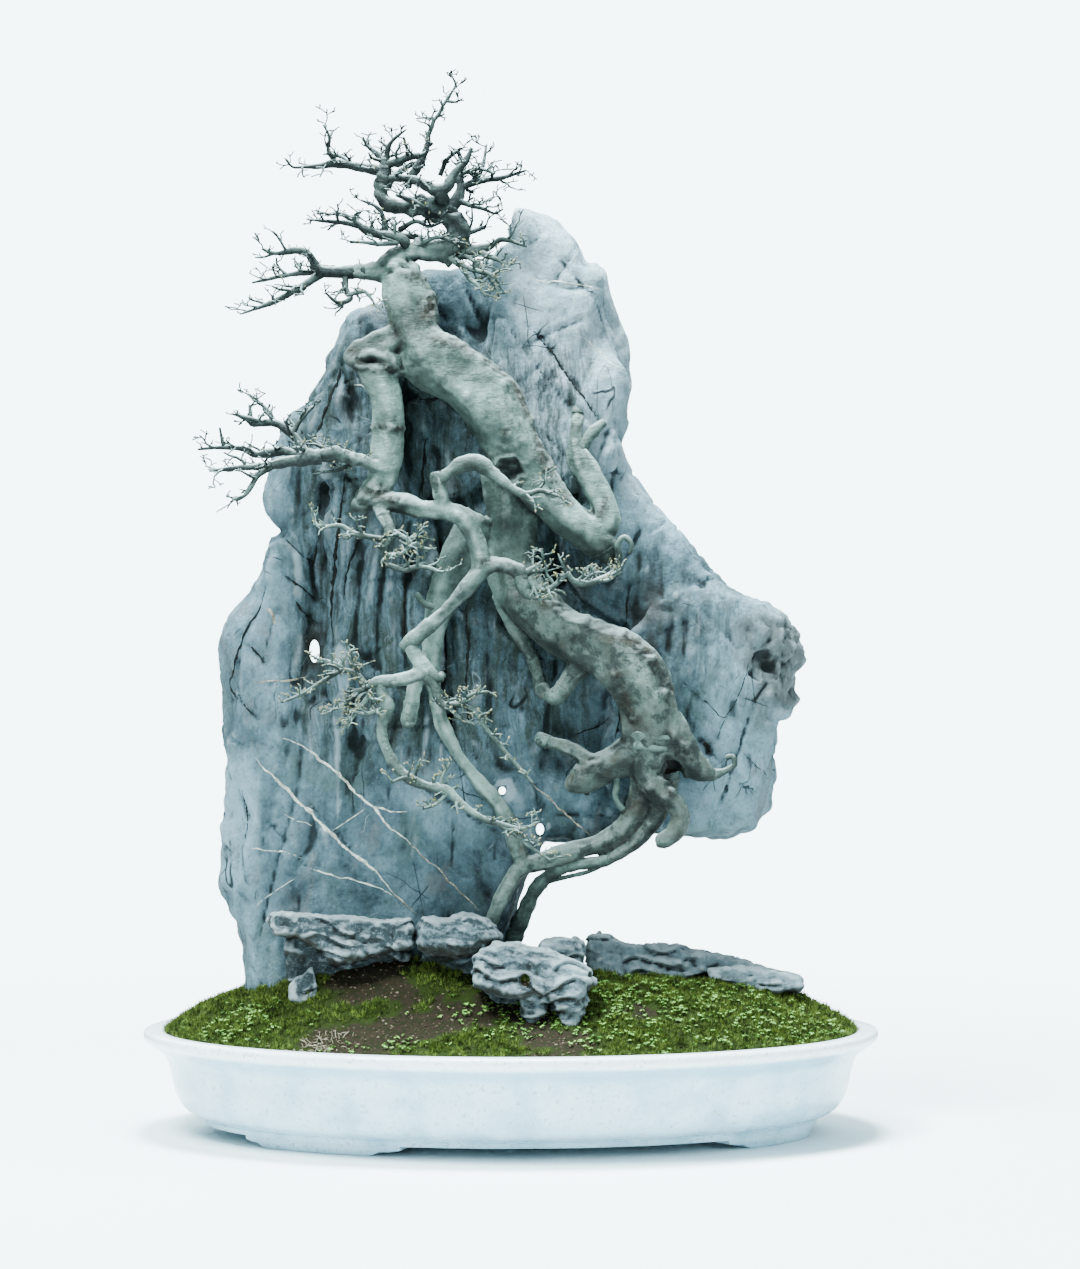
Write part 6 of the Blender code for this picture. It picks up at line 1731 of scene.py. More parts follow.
@dataclass
class Rock:
    """The tall rock, with its veins and joints."""

    voxel: float = 0.0040
    smoothing: int = 1
    slabs: tuple[tuple[float, float, tuple[float, float, float]], ...] = (
        (20.0, 0.12, (0.080, 0.080, 0.210)), (11.0, -0.60, (0.046, 0.046, 0.095)),
        (4.0, 0.35, (0.019, 0.019, 0.032)))
    seams: tuple[tuple[float, float, tuple[float, float, float], float], ...] = (
        (4.2, 0.14, (0.060, 0.060, 0.40), 0.075), (3.2, -0.70, (0.070, 0.070, 0.34), 0.060),
        (2.6, 1.20, (0.050, 0.050, 0.22), 0.055))
    seam_patch: float = 0.090
    waves: tuple[tuple[float, float], ...] = ((1.6, 0.030), (0.9, 0.010))
    groove_pattern: tuple[float, float, float] = (0.030, 0.040, 0.240)
    groove_stray: float = 0.012
    groove_stray_size: float = 0.11
    groove_lean: float = 0.04
    groove_flank: float = 13.0
    groove_floor: float = 3.0
    furrow_depth: float = 5.0
    furrow_fineness: float = 3.4
    furrow_level: float = 0.22
    nose_left: tuple[float, float] = (270, 300)
    nose_bottom: tuple[float, float] = (452, 500)
    nose_top: tuple[float, float] = (616, 572)
    nose_stray: float = 17.0
    nose_stray_size: float = 26.0
    nose_lump: tuple[float, float] = (12.0, 0.020)
    nose_grain: tuple[float, float] = (3.6, 0.008)
    nose_level: float = 6.6
    crack_depth: float = 4.0
    crack_width: float = 4.5
    crack_full_radius: float = 2.0
    hole_sides: int = 16
    hollow_turns: int = 8
    hollow_unit: float = 0.0030
    line_sides: int = 6
    line_knobs: float = 0.35
    line_step: float = 4.0
    line_stray: float = 2.2

    def relief(self, place: Vector, normal: Vector) -> float:
        """Height of the relief: chipped faces, waves, upright grooves and joints.

        Args:
            place: a point of the skin.
            normal: its normal.

        Returns:
            The height in metres.
        """
        x = place.x / MM + DRAWING_LEFT
        z = place.z / MM
        height = sum(waves(place, *wave) for wave in self.waves)
        height += sum(high * facets(leaned(place, lean, sizes)) for high, lean, sizes in self.slabs)
        for number, (depth, lean, sizes, width) in enumerate(self.seams):
            away = abs(noise.noise(leaned(place, lean, sizes) + SLOPE_SHIFTS[number]))
            shown = blend(-0.06, 0.14, noise.noise(place / self.seam_patch + SLOPE_SHIFTS[number]))
            height -= depth * shown * (1.0 - blend(0.0, width, away))
        share = share_in(GROOVE_FIELDS, x, z)
        if share > 0.01:
            stray = Vector((noise.noise(place / self.groove_stray_size) * self.groove_stray, 0.0, 0.0))
            spot = leaned(place + stray, self.groove_lean, self.groove_pattern)
            height += share * (self.groove_flank * abs(noise.noise(spot)) - self.groove_floor)
            furrow = abs(noise.noise(spot * self.furrow_fineness)) - self.furrow_level
            height += share * self.furrow_depth * furrow
        crumbly = self.crumbly(x, z)
        if crumbly > 0.01:
            lump = abs(waves(place, *self.nose_lump))
            height += crumbly * (lump + waves(place, *self.nose_grain) - self.nose_level)
        if normal.y < 0.3:
            height -= self.crack(*drawn(place))
        return height * blend(BURIED_LEVEL - 30, BURIED_LEVEL, z) * MM

    def crumbly(self, x: float, z: float) -> float:
        """How crumbly the rock is at a place, 1 on the nose."""
        spot = Vector((x / self.nose_stray_size, z / self.nose_stray_size, 4.0))
        stray = self.nose_stray * noise.noise(spot)
        across = blend(*self.nose_left, x + stray)
        return across * blend(*self.nose_bottom, z + 1.6 * stray) * blend(*self.nose_top, z + stray)

    def crack(self, x: float, z: float) -> float:
        """Depth of the joints at a drawn place, in mm.

        Args:
            x: drawn place to the right.
            z: drawn height.

        Returns:
            The depth.
        """
        depth = 0.0
        for kind, radius, points in ROCK_LINES:
            if kind is not Line.CRACK or not self.is_near(points, x, z):
                continue
            for start, end in zip(points, points[1:]):
                away = line_distance(start, end, x, z)
                deep = self.crack_depth * min(1.0, radius / self.crack_full_radius)
                depth = max(depth, deep * math.exp(-(away / self.crack_width) ** 2))
        return depth

    def is_near(self, points: Sequence[tuple[float, float]], x: float, z: float) -> bool:
        """Whether a drawn place is in the box round a line."""
        room = 3 * self.crack_width
        low_x, high_x = min(point[0] for point in points), max(point[0] for point in points)
        low_z, high_z = min(point[1] for point in points), max(point[1] for point in points)
        return low_x - room < x < high_x + room and low_z - room < z < high_z + room

    def nose_hollow(self) -> Object:
        """Cutter for the eroded cavity under the nose."""
        shape = bmesh.new()
        bmesh.ops.create_icosphere(shape, subdivisions=4, radius=MM)
        place = seen(*NOSE_HOLLOW["place"], NOSE_HOLLOW["depth"])
        for vertex in shape.verts:
            spot = vertex.co / MM
            rough = 1.0 + 0.30 * noise.noise(spot * 1.6) + 0.12 * noise.noise(spot * 4.0)
            sizes = NOSE_HOLLOW["size"]
            vertex.co = place + Vector(axis * size * rough for axis, size in zip(vertex.co, sizes))
        return object_of("hollow", shape)

    def build(self) -> Object:
        """The rock."""
        shape = bmesh.new()
        for lobe in ROCK_LOBES.values():
            loft(shape, Lobe(**lobe).rings())
        rock = object_of("rock_skin", shape)
        one_skin(rock, self.voxel, self.smoothing)
        raise_relief(rock, self.relief)
        cutters = [rod(hole["place"], ROCK_HOLE_DEPTHS, hole["size"], self.hole_sides) for hole in ROCK_HOLES]
        cut_away(rock, cutters + [self.nose_hollow()])
        for vertex in rock.data.vertices:
            vertex.co.z = max(vertex.co.z, POT_FLOOR * MM)
        rock.data.shade_smooth()
        store_hollows(rock, self.hollow_turns, self.hollow_unit)
        places = [drawn(vertex.co) for vertex in rock.data.vertices]
        shade_hole_rims(rock, [(*hole["place"], *hole["size"]) for hole in ROCK_HOLES])
        store(rock, "streaks", [share_in(STREAK_FIELDS, *place) for place in places])
        store(rock, "light", [share_in(LIGHT_FIELDS, *place) for place in places])
        store(rock, "stain_and_shade", [patchy(ROCK_STAINS_AND_SHADE, *place) for place in places])
        store(rock, "crumbly", [self.crumbly(*place) for place in places])
        rock.data.materials.clear()
        rock.data.materials.append(RockFinish().material())
        return rock

    def lines(self, skin: BVHTree, kind: Line) -> list[Path]:
        """The veins or joints of one kind, laid on the rock's front.

        Args:
            skin: the rock's faces.
            kind: which lines.

        Returns:
            Their paths.
        """
        paths = []
        for number, (own, radius, points) in enumerate(ROCK_LINES):
            if own is not kind:
                continue
            route = spline([(x, 0.0, z) for x, z in points], self.line_step)
            path = []
            for i, (x, zero, z) in enumerate(route):
                stray = Vector(
                    noise.noise(Vector((i * 0.23, number, shift)))
                    + 0.6 * noise.noise(Vector((i * 0.7, number, shift)))
                    for shift in (0.5, 9.5))
                aim = seen(x + stray.x * self.line_stray, z + stray.y * self.line_stray) - EYE
                hit = skin.ray_cast(EYE, aim.normalized())
                if hit[0] is None:
                    continue
                end = min(1.0, 4.0 * min(i + 0.4, len(route) - 0.6 - i) / len(route))
                swell = 0.80 + 0.9 * noise.noise(Vector((i * 0.55, number, 3.1)))
                thick = radius * end * swell * MM
                path.append((hit[0] - hit[1] * thick * 0.55, thick))
            if len(path) > 2:
                paths.append(path)
        return paths

    def build_lines(self, rock: Object) -> list[Object]:
        """The rock's veins and joints, as slim pieces half sunk in it.

        Args:
            rock: the rock.

        Returns:
            One piece for each kind of line.
        """
        skin = skin_of([rock])
        finishes = {
            Line.BROWN: LineFinish("brown_vein", "6B6250", "A09C8E"),
            Line.WHITE: LineFinish("white_vein", "C4C6BC", "8B8E82"),
            Line.CRACK: LineFinish("joint_earth", "0B0D0C", "181B17"),
        }
        return [
            tubes(f"rock_{kind.value}_lines", self.lines(skin, kind), {}, self.line_sides, self.line_knobs,
                  finish.material())
            for kind, finish in finishes.items()
        ]


@dataclass
class Stones:
    """The small stones round the rock's foot."""

    voxel: float = 0.0021
    smoothing: int = 1
    chips: tuple[tuple[float, float], ...] = ((5.5, 0.034), (2.4, 0.014))
    waves: tuple[tuple[float, float], ...] = ((1.4, 0.011), (0.7, 0.0055))
    layers: tuple[tuple[float, float, tuple[float, float, float]], ...] = (
        (5.5, 0.22, (0.060, 0.040, 0.014)), (1.8, -0.35, (0.030, 0.026, 0.0100)))
    ruggedness: dict[str, float] = field(default_factory=lambda: {
        "stone_flat": 0.6, "stone_boulder": 0.16, "stone_holed": 0.9, "stone_slab": 0.8,
        "stone_small": 0.6, "stone_chip": 0.3})
    lightness: dict[str, float] = field(default_factory=lambda: {
        "stone_flat": -0.12, "stone_boulder": -0.08, "stone_holed": 0.0,
        "stone_slab": 0.17, "stone_chip": -0.06})
    pit_size: float = 0.019
    pit_depth: float = 4.0
    ledge_step: float = 0.019
    ledge_depth: float = 6.5
    hole_sides: int = 14
    hollow_turns: int = 6
    hollow_unit: float = 0.0016

    def relief(self, place: Vector, rugged: float) -> float:
        """Height of the relief: chips, layers and pits.

        Args:
            place: a point of the skin.
            rugged: how strong the layers and pits are.

        Returns:
            The height in metres.
        """
        height = sum(waves(place, *wave) for wave in self.waves)
        height += sum(high * facets(place / size) for high, size in self.chips)
        height += rugged * sum(
            high * (0.22 - abs(noise.noise(leaned(place, lean, sizes)))) for high, lean, sizes in self.layers)
        height += rugged * self.ledge_depth * self.ledge(place)
        stir = Vector(noise.noise(place / 0.012 + shift) for shift in SLOPE_SHIFTS) * 0.9
        spot = Vector((place.x * 0.6, place.y, place.z * 1.5)) / self.pit_size + stir
        span = noise.voronoi(spot)[0][0]
        few = blend(0.16, 0.40, noise.noise(place / 0.037))
        height -= rugged * self.pit_depth * few * (1.0 - blend(0.05, 0.42, span))
        return height * MM

    def ledge(self, place: Vector) -> float:
        """Profile of the layers that jut out over each other, about 0 on the whole."""
        rise = place.z / self.ledge_step + place.x * 6.0 + 1.1 * noise.noise(place / 0.040)
        share = rise - math.floor(rise)
        shown = blend(-0.25, 0.15, noise.noise(place / 0.030 + SLOPE_SHIFTS[1]))
        return shown * (blend(0.0, 0.16, share) * (1.0 - share) - 0.4)

    def build(self) -> dict[str, Object]:
        """The stones, by the node that each replaces."""
        finish = StoneFinish().material()
        made = {}
        for name, lobes in STONES.items():
            shape = bmesh.new()
            for lobe in lobes:
                loft(shape, Lobe(**lobe).rings())
            stone = object_of(f"{name}_skin", shape, finish)
            one_skin(stone, self.voxel, self.smoothing)
            rugged = self.ruggedness[name]
            raise_relief(stone, lambda place, normal, rugged=rugged: self.relief(place, rugged))
            if name == "stone_holed":
                cut_away(stone, [rod(**STONE_HOLE, sides=self.hole_sides)])
            stone.data.shade_smooth()
            store_hollows(stone, self.hollow_turns, self.hollow_unit)
            store_up(stone)
            store(stone, "light", [self.lightness.get(name, 0.0)] * len(stone.data.vertices))
            if name == "stone_holed":
                shade_hole_rims(stone, [(*STONE_HOLE["place"], *STONE_HOLE["size"])])
            stone.data.materials.clear()
            stone.data.materials.append(finish)
            made[name] = stone
        return made


def shade_hole_rims(piece: Object, holes: Sequence[tuple[float, float, float, float]]) -> None:
    """Makes the rims of holes count as hollows and not as ridges, so they get painted shade instead of a
    painted highlight.

    Args:
        piece: the piece that the holes go through.
        holes: drawn middle, width and height of each.
    """
    layer = piece.data.attributes["hollow"].data
    for vertex, own in zip(piece.data.vertices, layer):
        x, z = drawn(vertex.co)
        near = min(math.hypot((x - mid_x) / wide, (z - mid_z) / high) for mid_x, mid_z, wide, high in holes)
        if near < 0.9:
            own.value = max(own.value, blend(0.85, 0.55, near) * 0.9)


def skin_of(pieces: Sequence[Object]) -> BVHTree:
    """Search tree of the faces of some pieces."""
    shape = bmesh.new()
    for piece in pieces:
        shape.from_mesh(piece.data)
    skin = BVHTree.FromBMesh(shape)
    shape.free()
    return skin


def limb_path(stations: Sequence[Station]) -> Path:
    """Points and radii, in metres, of a limb's drawn stations."""
    return [(seen(x, z, depth), radius * MM * reach(depth)) for x, z, depth, radius in stations]


def smooth_path(stations: Sequence[Station], step: float) -> Path:
    """The same along a smooth curve.

    Args:
        stations: the limb's drawn stations.
        step: the distance between the curve's own points, in mm.

    Returns:
        The path.
    """
    smooth = spline([(x, depth, z, radius) for x, z, depth, radius in stations], step)
    return limb_path([(x, z, depth, max(0.5, radius)) for x, depth, z, radius in smooth])


def tube_rings(path: Path, sides: int, flute: float) -> Rings:
    """Rings along a path, carried along it without twisting, with a blunt end.

    Args:
        path: points and radii.
        sides: points of a ring.
        flute: depth of the flutes, as a share of the radius.

    Returns:
        The rings.
    """
    places = [Vector(place) for place, radius in path]
    radii = [radius for place, radius in path]
    side = (places[1] - places[0]).normalized().orthogonal().normalized()
    rings = []
    for i, place in enumerate(places):
        ahead = (places[min(i + 1, len(places) - 1)] - places[max(i - 1, 0)]).normalized()
        side = (side - ahead * side.dot(ahead)).normalized()
        other = ahead.cross(side)
        ring = []
        for k in range(sides):
            angle = math.tau * k / sides
            wave = 1.0 + flute * sum(math.sin(number * angle + i * turn) for number, turn in FLUTES)
            ring.append(place + (side * math.cos(angle) + other * math.sin(angle)) * radii[i] * wave)
        rings.append(ring)
    end = places[-1]
    for out, width in ROUND_END:
        ahead = (end - places[-2]).normalized() * radii[-1] * out
        rings.append([end + ahead + (point - end) * width for point in rings[len(places) - 1]])
    return rings


@dataclass
class Tree:
    """The bare old tree: its thick wood, thin limbs, twigs and buds."""

    voxel: float = 0.00226
    smoothing: int = 4
    wood_sides: int = 24
    wood_waves: tuple[tuple[float, float], ...] = ((2.2, 0.034), (1.1, 0.013), (0.45, 0.006))
    limb_sides: int = 10
    limb_step: float = 4.0
    twig_sides: int = 4
    twig_radius: float = 2.2
    twig_room: float = 1.8
    spacing_share: float = 0.56
    child_sides: int = 3
    thinnest: float = 0.80
    crown_level: tuple[float, float] = (965, 1040)
    left_place: tuple[float, float] = (-150, -215)
    left_level: tuple[float, float] = (690, 735)
    knob_height: float = 7.0
    knob_level: float = 1.2
    knob_size: float = 0.016
    knob_grain: tuple[float, float] = (1.6, 0.008)
    callus_level: float = 0.9
    callus_waves: tuple[tuple[float, float], ...] = ((1.9, 0.0085), (1.1, 0.0045))
    hollow_turns: int = 7
    hollow_unit: float = 0.0014
    tube_knobs: float = 0.34
    twig_knobs: float = 0.3
    slimness: dict[Mark, float] = field(default_factory=lambda: {
        Mark.SCAR: 1.28, Mark.CLEFT: 0.62, Mark.BURL: 1.0, Mark.HOLLOW: 1.05})
    # Patches painted dark as shade, in the fork, the hollows and the limbs behind: drawn middle, half sizes
    # and strength
    painted_shades: tuple[tuple[float, float, float, float, float], ...] = (
        (8, 750, 17, 15, 0.9), (14, 690, 26, 40, 0.75), (-48, 645, 26, 62, 0.85), (60, 708, 16, 22, 0.4),
        (150, 440, 30, 26, 0.5), (190, 414, 9, 26, 0.97), (189, 462, 4, 20, 0.8),
        (153, 370, 15, 13, 0.65), (-112, 930, 12, 30, 0.45), (-40, 858, 20, 9, 0.3))
    seed: int = 11

    def relief(self, place: Vector, normal: Vector) -> float:
        """Height of the bark's relief: swellings, furrows and marks.

        Args:
            place: a point of the skin.
            normal: its normal.

        Returns:
            The height in metres.
        """
        x, z = drawn(place)
        height = sum(waves(place, *wave) for wave in self.wood_waves)
        knobs = self.knobby(x, z)
        if knobs > 0.01:
            knob = self.knob_height * abs(noise.noise(place / self.knob_size)) - self.knob_level
            height += knobs * (knob + waves(place, *self.knob_grain))
        if normal.y < 0.2:
            stray = 1.0 + 0.5 * noise.noise(place / 0.011)
            for kind, middle_x, middle_z, radius, high in MARKS:
                slim = self.slimness[kind]
                away = math.hypot((x - middle_x) * slim, (z - middle_z) / slim) / radius * stray
                if away < 2.0:
                    height += high * self.mark(kind, away)
            rough = self.roughness(x, z)
            if rough > 0.02:
                coarse, fine = (waves(place, *wave) for wave in self.callus_waves)
                height += rough * (self.callus_level + coarse + fine)
        return height * MM

    def roughness(self, x: float, z: float) -> float:
        """How rough the bark is at a drawn place: along the calluses and on the old knobs.

        Args:
            x: drawn place to the right.
            z: drawn height.

        Returns:
            The share of rough bark.
        """
        nearest = 9.0
        for start, end, width in ROUGH_BARK:
            nearest = min(nearest, line_distance(start, end, x, z) / width)
        return math.exp(-nearest * nearest)

    def mark(self, kind: Mark, away: float) -> float:
        """Profile of a mark.

        Args:
            kind: the kind of mark.
            away: distance from its middle, in radii.

        Returns:
            The height, as a share of the mark's own.
        """
        if kind is Mark.BURL:
            return math.exp(-2.2 * away * away)
        if kind is Mark.HOLLOW:
            return -math.exp(-1.6 * away ** 3) + 0.35 * math.exp(-((away - 1.15) / 0.22) ** 2)
        if kind is Mark.CLEFT:
            return 0.8 * math.exp(-((away - 0.75) / 0.35) ** 2) - 1.6 * math.exp(-14.0 * away * away)
        rings = 0.16 * math.cos(12.0 * away) * blend(1.1, 0.8, away)
        return 0.7 * math.exp(-((away - 0.85) / 0.26) ** 2) - 0.4 * math.exp(-6.0 * away * away) + rings

    def darkness_and_shade(self, x: float, z: float) -> float:
        """How dark the bark is at a drawn place: dark old bark on the crown and the left branch, and painted
        shade in listed patches.

        Args:
            x: drawn place to the right.
            z: drawn height.

        Returns:
            The share of dark bark and painted shade.
        """
        crown = blend(*self.crown_level, z)
        left = blend(*self.left_place, x) * blend(*self.left_level, z)
        return max(crown, left, patchy(self.painted_shades, x, z))

    def low_brown_and_shade(self, x: float, z: float) -> float:
        """How brown the bark is at a drawn place, 1 on the lower trunk, where it also gets patches of painted
        shade.
        """
        trunk = blend(700, 610, z) * blend(-10, 20, x)
        neck = 0.6 * blend(960, 930, z) * blend(880, 905, z) * blend(-60, -85, x)
        return max(trunk, neck, 0.45 * blend(345, 305, z) * blend(-80, -45, x))

    def knobby(self, x: float, z: float) -> float:
        """How knobbly a limb is at a drawn place, 1 on the crown and the left branch."""
        return max(blend(955, 1000, z), blend(-138, -165, x) * blend(690, 725, z) * blend(830, 800, z))

    def thick_part(self, stations: Sequence[Station]) -> Sequence[Station]:
        """The stations up to the first that is too thin for the wood's skin."""
        for i, station in enumerate(stations):
            if station[3] < THICK_RADIUS:
                return stations[:i]
        return stations

    def build_wood(self, finish: bpy.types.Material) -> Object:
        """The thick wood as one skin.

        Args:
            finish: the bark.

        Returns:
            The piece.
        """
        shape = bmesh.new()
        for stations in LIMBS.values():
            thick = self.thick_part(stations)
            if len(thick) >= 3:
                loft(shape, tube_rings(smooth_path(thick, THICK_STEP), self.wood_sides, FLUTE_SHARE))
        wood = object_of("wood", shape, finish)
        one_skin(wood, self.voxel, self.smoothing)
        raise_relief(wood, self.relief)
        wood.data.shade_smooth()
        store_hollows(wood, self.hollow_turns, self.hollow_unit)
        places = [drawn(vertex.co) for vertex in wood.data.vertices]
        # dark holds the crown's dark bark and the patches of painted shade
        store(wood, "dark", [self.darkness_and_shade(*place) for place in places])
        store(wood, "rough", [self.roughness(*place) for place in places])
        store(wood, "low", [self.low_brown_and_shade(*place) for place in places])
        store_up(wood)
        wood.data.materials.clear()
        wood.data.materials.append(finish)
        return wood

    def limb_paths(self) -> dict[str, Path]:
        """Paths of the thin limbs and the thin ends of the thick ones."""
        paths = {}
        for name, stations in LIMBS.items():
            thick = self.thick_part(stations)
            rest = stations[max(0, len(thick) - 2):] if len(thick) >= 3 else stations
            if len(rest) >= 2:
                paths[name] = smooth_path(rest, self.limb_step)
        return paths

    def build_limbs(self, finish: bpy.types.Material) -> Object:
        """The thin limbs.

        Args:
            finish: the bark.

        Returns:
            The piece.
        """
        paths = self.limb_paths()
        # Dark bark on the crown, and painted shade in the shaded patches
        dark = [max(0.15, self.darkness_and_shade(*drawn(path[-1][0]))) for path in paths.values()]
        rough = [0.2] * len(paths)
        return tubes("limbs", list(paths.values()), {"dark": dark, "rough": rough}, self.limb_sides,
                     self.tube_knobs, finish)

    def direction(self, along: Vector, side: int, draw: random.Random) -> Vector:
        """Direction of a twig: outwards, to one side, and up.

        Args:
            along: direction of the limb.
            side: 1 or -1.
            draw: the random draw.

        Returns:
            The direction.
        """
        up = Vector((0.0, 0.0, 1.0))
        level = along.cross(up)
        level = level.normalized() if level.length > 0.01 else Vector((1.0, 0.0, 0.0))
        raised = along.cross(level).normalized()
        raised = raised if raised.z > 0 else -raised
        turn = draw.uniform(-0.3, 1.0)
        aside = level * side * math.cos(turn) + raised * math.sin(turn)
        return (along * draw.uniform(0.35, 0.9) + aside + up * draw.uniform(-0.1, 0.2)).normalized()

    def crooked(self, start: Vector, heading: Vector, length: float, radius: float,
                draw: random.Random) -> Path:
        """A crooked twig whose tip turns up.

        Args:
            start: where it leaves the limb.
            heading: its first direction.
            length: its length.
            radius: its radius at the limb.
            draw: the random draw.

        Returns:
            Its path.
        """
        path = [(start, radius)]
        place = start
        stretches = 4 if length > 0.012 else 3
        for i in range(stretches):
            bend = Vector((draw.uniform(-0.55, 0.55), draw.uniform(-0.45, 0.45), draw.uniform(-0.38, 0.40)))
            heading = (heading + bend).normalized()
            place = place + heading * length / stretches
            taper = 1.0 - 0.5 * (i + 1) / stretches
            path.append((place, max(self.thinnest * MM, radius * taper)))
        return path

    def sprout(self, parent: Path, length: float, order: int, draw: random.Random) -> list[tuple[Path, int]]:
        """The twigs that a twig carries, and theirs.

        Args:
            parent: the twig's path.
            length: its length.
            order: how many twigs lie between it and the limb.
            draw: the random draw.

        Returns:
            Each twig's path and order.
        """
        if length < 0.007 or order > 2:
            return []
        grown = []
        side = draw.choice((-1, 1))
        for i in range(1, len(parent) - 1):
            if order == 2 and draw.random() < 0.6:
                continue
            (start, radius), (end, thin) = parent[i], parent[i + 1]
            share = draw.uniform(0.0, 0.8)
            side = -side
            heading = self.direction((end - start).normalized(), side, draw)
            long = length * draw.uniform(0.34, 0.60)
            path = self.crooked(start.lerp(end, share), heading, long, radius * 0.72, draw)
            grown.append((path, order))
            grown += self.sprout(path, long, order + 1, draw)
        return grown

    def limb_twigs(self, name: str, wood: BVHTree, rock: BVHTree) -> list[tuple[Path, int]]:
        """All twigs of one limb.

        Args:
            name: the limb.
            wood: faces of the thick wood.
            rock: faces of the rock.

        Returns:
            Each twig's path and order.
        """
        draw = random.Random(f"{name} {self.seed}")
        spacing, length = TWIG_RULES[name]
        spacing *= self.spacing_share
        path = limb_path(LIMBS[name])
        found = []
        side = 1
        due = spacing * 0.4
        travelled = 0.0
        for (start, start_radius), (end, end_radius) in zip(path, path[1:]):
            run = (end - start).length / MM
            while travelled + run >= due:
                share = (due - travelled) / run
                radius = start_radius + (end_radius - start_radius) * share
                due += spacing * draw.uniform(0.75, 1.25)
                side = -side
                if radius > TWIG_FIRST_RADIUS * MM:
                    continue
                long = length * draw.uniform(0.5, 1.05) * MM
                base = min(radius * 0.7, self.twig_radius * draw.uniform(0.8, 1.15) * MM)
                heading = self.direction((end - start).normalized(), side, draw)
                twig = self.crooked(start.lerp(end, share), heading, long, base, draw)
                found.append((twig, 0))
                found += self.sprout(twig, long, 1, draw)
            travelled += run
        found += self.sprout(path[-3:], length * MM, 1, draw)
        return [(self.in_front(twig, rock), order) for twig, order in found if self.is_clear(twig, wood)]

    def is_clear(self, twig: Path, wood: BVHTree) -> bool:
        """Whether a twig's outer part stays out of the thick wood."""
        return all(wood.find_nearest(place, self.twig_room * MM)[0] is None for place, radius in twig[2:])

    def in_front(self, twig: Path, rock: BVHTree) -> Path:
        """A twig, brought to the front of the rock where it would touch it.

        Args:
            twig: its path.
            rock: faces of the rock.

        Returns:
            The path.
        """
        moved = []
        for place, radius in twig:
            hit = rock.ray_cast(Vector((place.x, -1.0, place.z)), Vector((0.0, 1.0, 0.0)))[0]
            front = place.y if hit is None else min(place.y, hit.y - radius - 3.0 * MM)
            moved.append((Vector((place.x, front, place.z)), radius))
        return moved

    def build_twigs(self, wood: Object, rock: Object,
                    finish: bpy.types.Material) -> tuple[list[Object], list[Path]]:
        """The twigs.

        Args:
            wood: the thick wood.
            rock: the rock.
            finish: the bark.

        Returns:
            The pieces, and the paths of all the twigs.
        """
        wood_skin, rock_skin = skin_of([wood]), skin_of([rock])
        found = [twig for name in TWIG_RULES for twig in self.limb_twigs(name, wood_skin, rock_skin)]
        made = []
        for name, orders, sides in (("twigs", (0,), self.twig_sides), ("twiglets", (1, 2), self.child_sides)):
            paths = [path for path, order in found if order in orders]
            # Dark bark on the crown, and painted shade in the shaded patches
            dark = [max(0.25, self.darkness_and_shade(*drawn(path[0][0]))) for path in paths]
            made.append(tubes(name, paths, {"dark": dark}, sides, self.twig_knobs, finish))
        return made, [path for path, order in found]

    def build_buds(self, paths: Sequence[Path]) -> Object:
        """Small buds at the tips and joints of the twigs, placed by Geometry Nodes.

        Args:
            paths: the twigs' paths.

        Returns:
            The piece.
        """
        places, headings, sizes = [], [], []
        draw = random.Random(self.seed)
        for path in paths:
            for i in range(2, len(path)):
                tip = i == len(path) - 1
                if draw.random() > (0.9 if tip else 0.5) * (1.0 - 0.85 * self.darkness_and_shade(*drawn(path[i][0]))):
                    continue
                ahead = (path[i][0] - path[i - 1][0]).normalized()
                aside = Vector(draw.uniform(-1, 1) for axis in range(3))
                places.append(path[i][0])
                headings.append(ahead + aside * (0.25 if tip else 1.0))
                sizes.append(draw.uniform(0.7, 1.25) * (1.0 if tip else 0.8))
        dots = bpy.data.meshes.new("dots")
        dots.from_pydata(places, [], [])
        carrier = add_object("dots", dots)
        store(carrier, "size", sizes)
        layer = dots.attributes.new("heading", "FLOAT_VECTOR", "POINT")
        layer.data.foreach_set("vector", np.array(headings, np.float32).ravel())
        plan = Plan("buds_on_twigs")
        thick = plan.size("Thickness", 0.00085)
        long = plan.size("Length", 0.0017)
        bud = plan.node("GeometryNodeMeshUVSphere", {}, {"Segments": 5, "Rings": 3, "Radius": 1.0}, "Mesh")
        stretch = plan.node("ShaderNodeCombineXYZ", {}, {0: thick, 1: thick, 2: long})
        bud = plan.node("GeometryNodeTransform", {}, {"Geometry": bud, "Scale": stretch})
        dotted = plan.node("GeometryNodeMeshToPoints", {}, {"Mesh": plan.carrier}, "Points")
        aim = plan.node("FunctionNodeAlignRotationToVector", {"axis": "Z"},
                        {"Vector": plan.stored("heading", "FLOAT_VECTOR")}, "Rotation")
        placed = plan.node("GeometryNodeInstanceOnPoints", {}, {
            "Points": dotted, "Instance": bud, "Rotation": aim, "Scale": plan.stored("size")}, "Instances")
        finish = LeafFinish("bud", "9C9A80", "6A664E", "7F8146", 0.7, 0.02)
        return plan.grow(carrier, "buds", placed, finish.material())


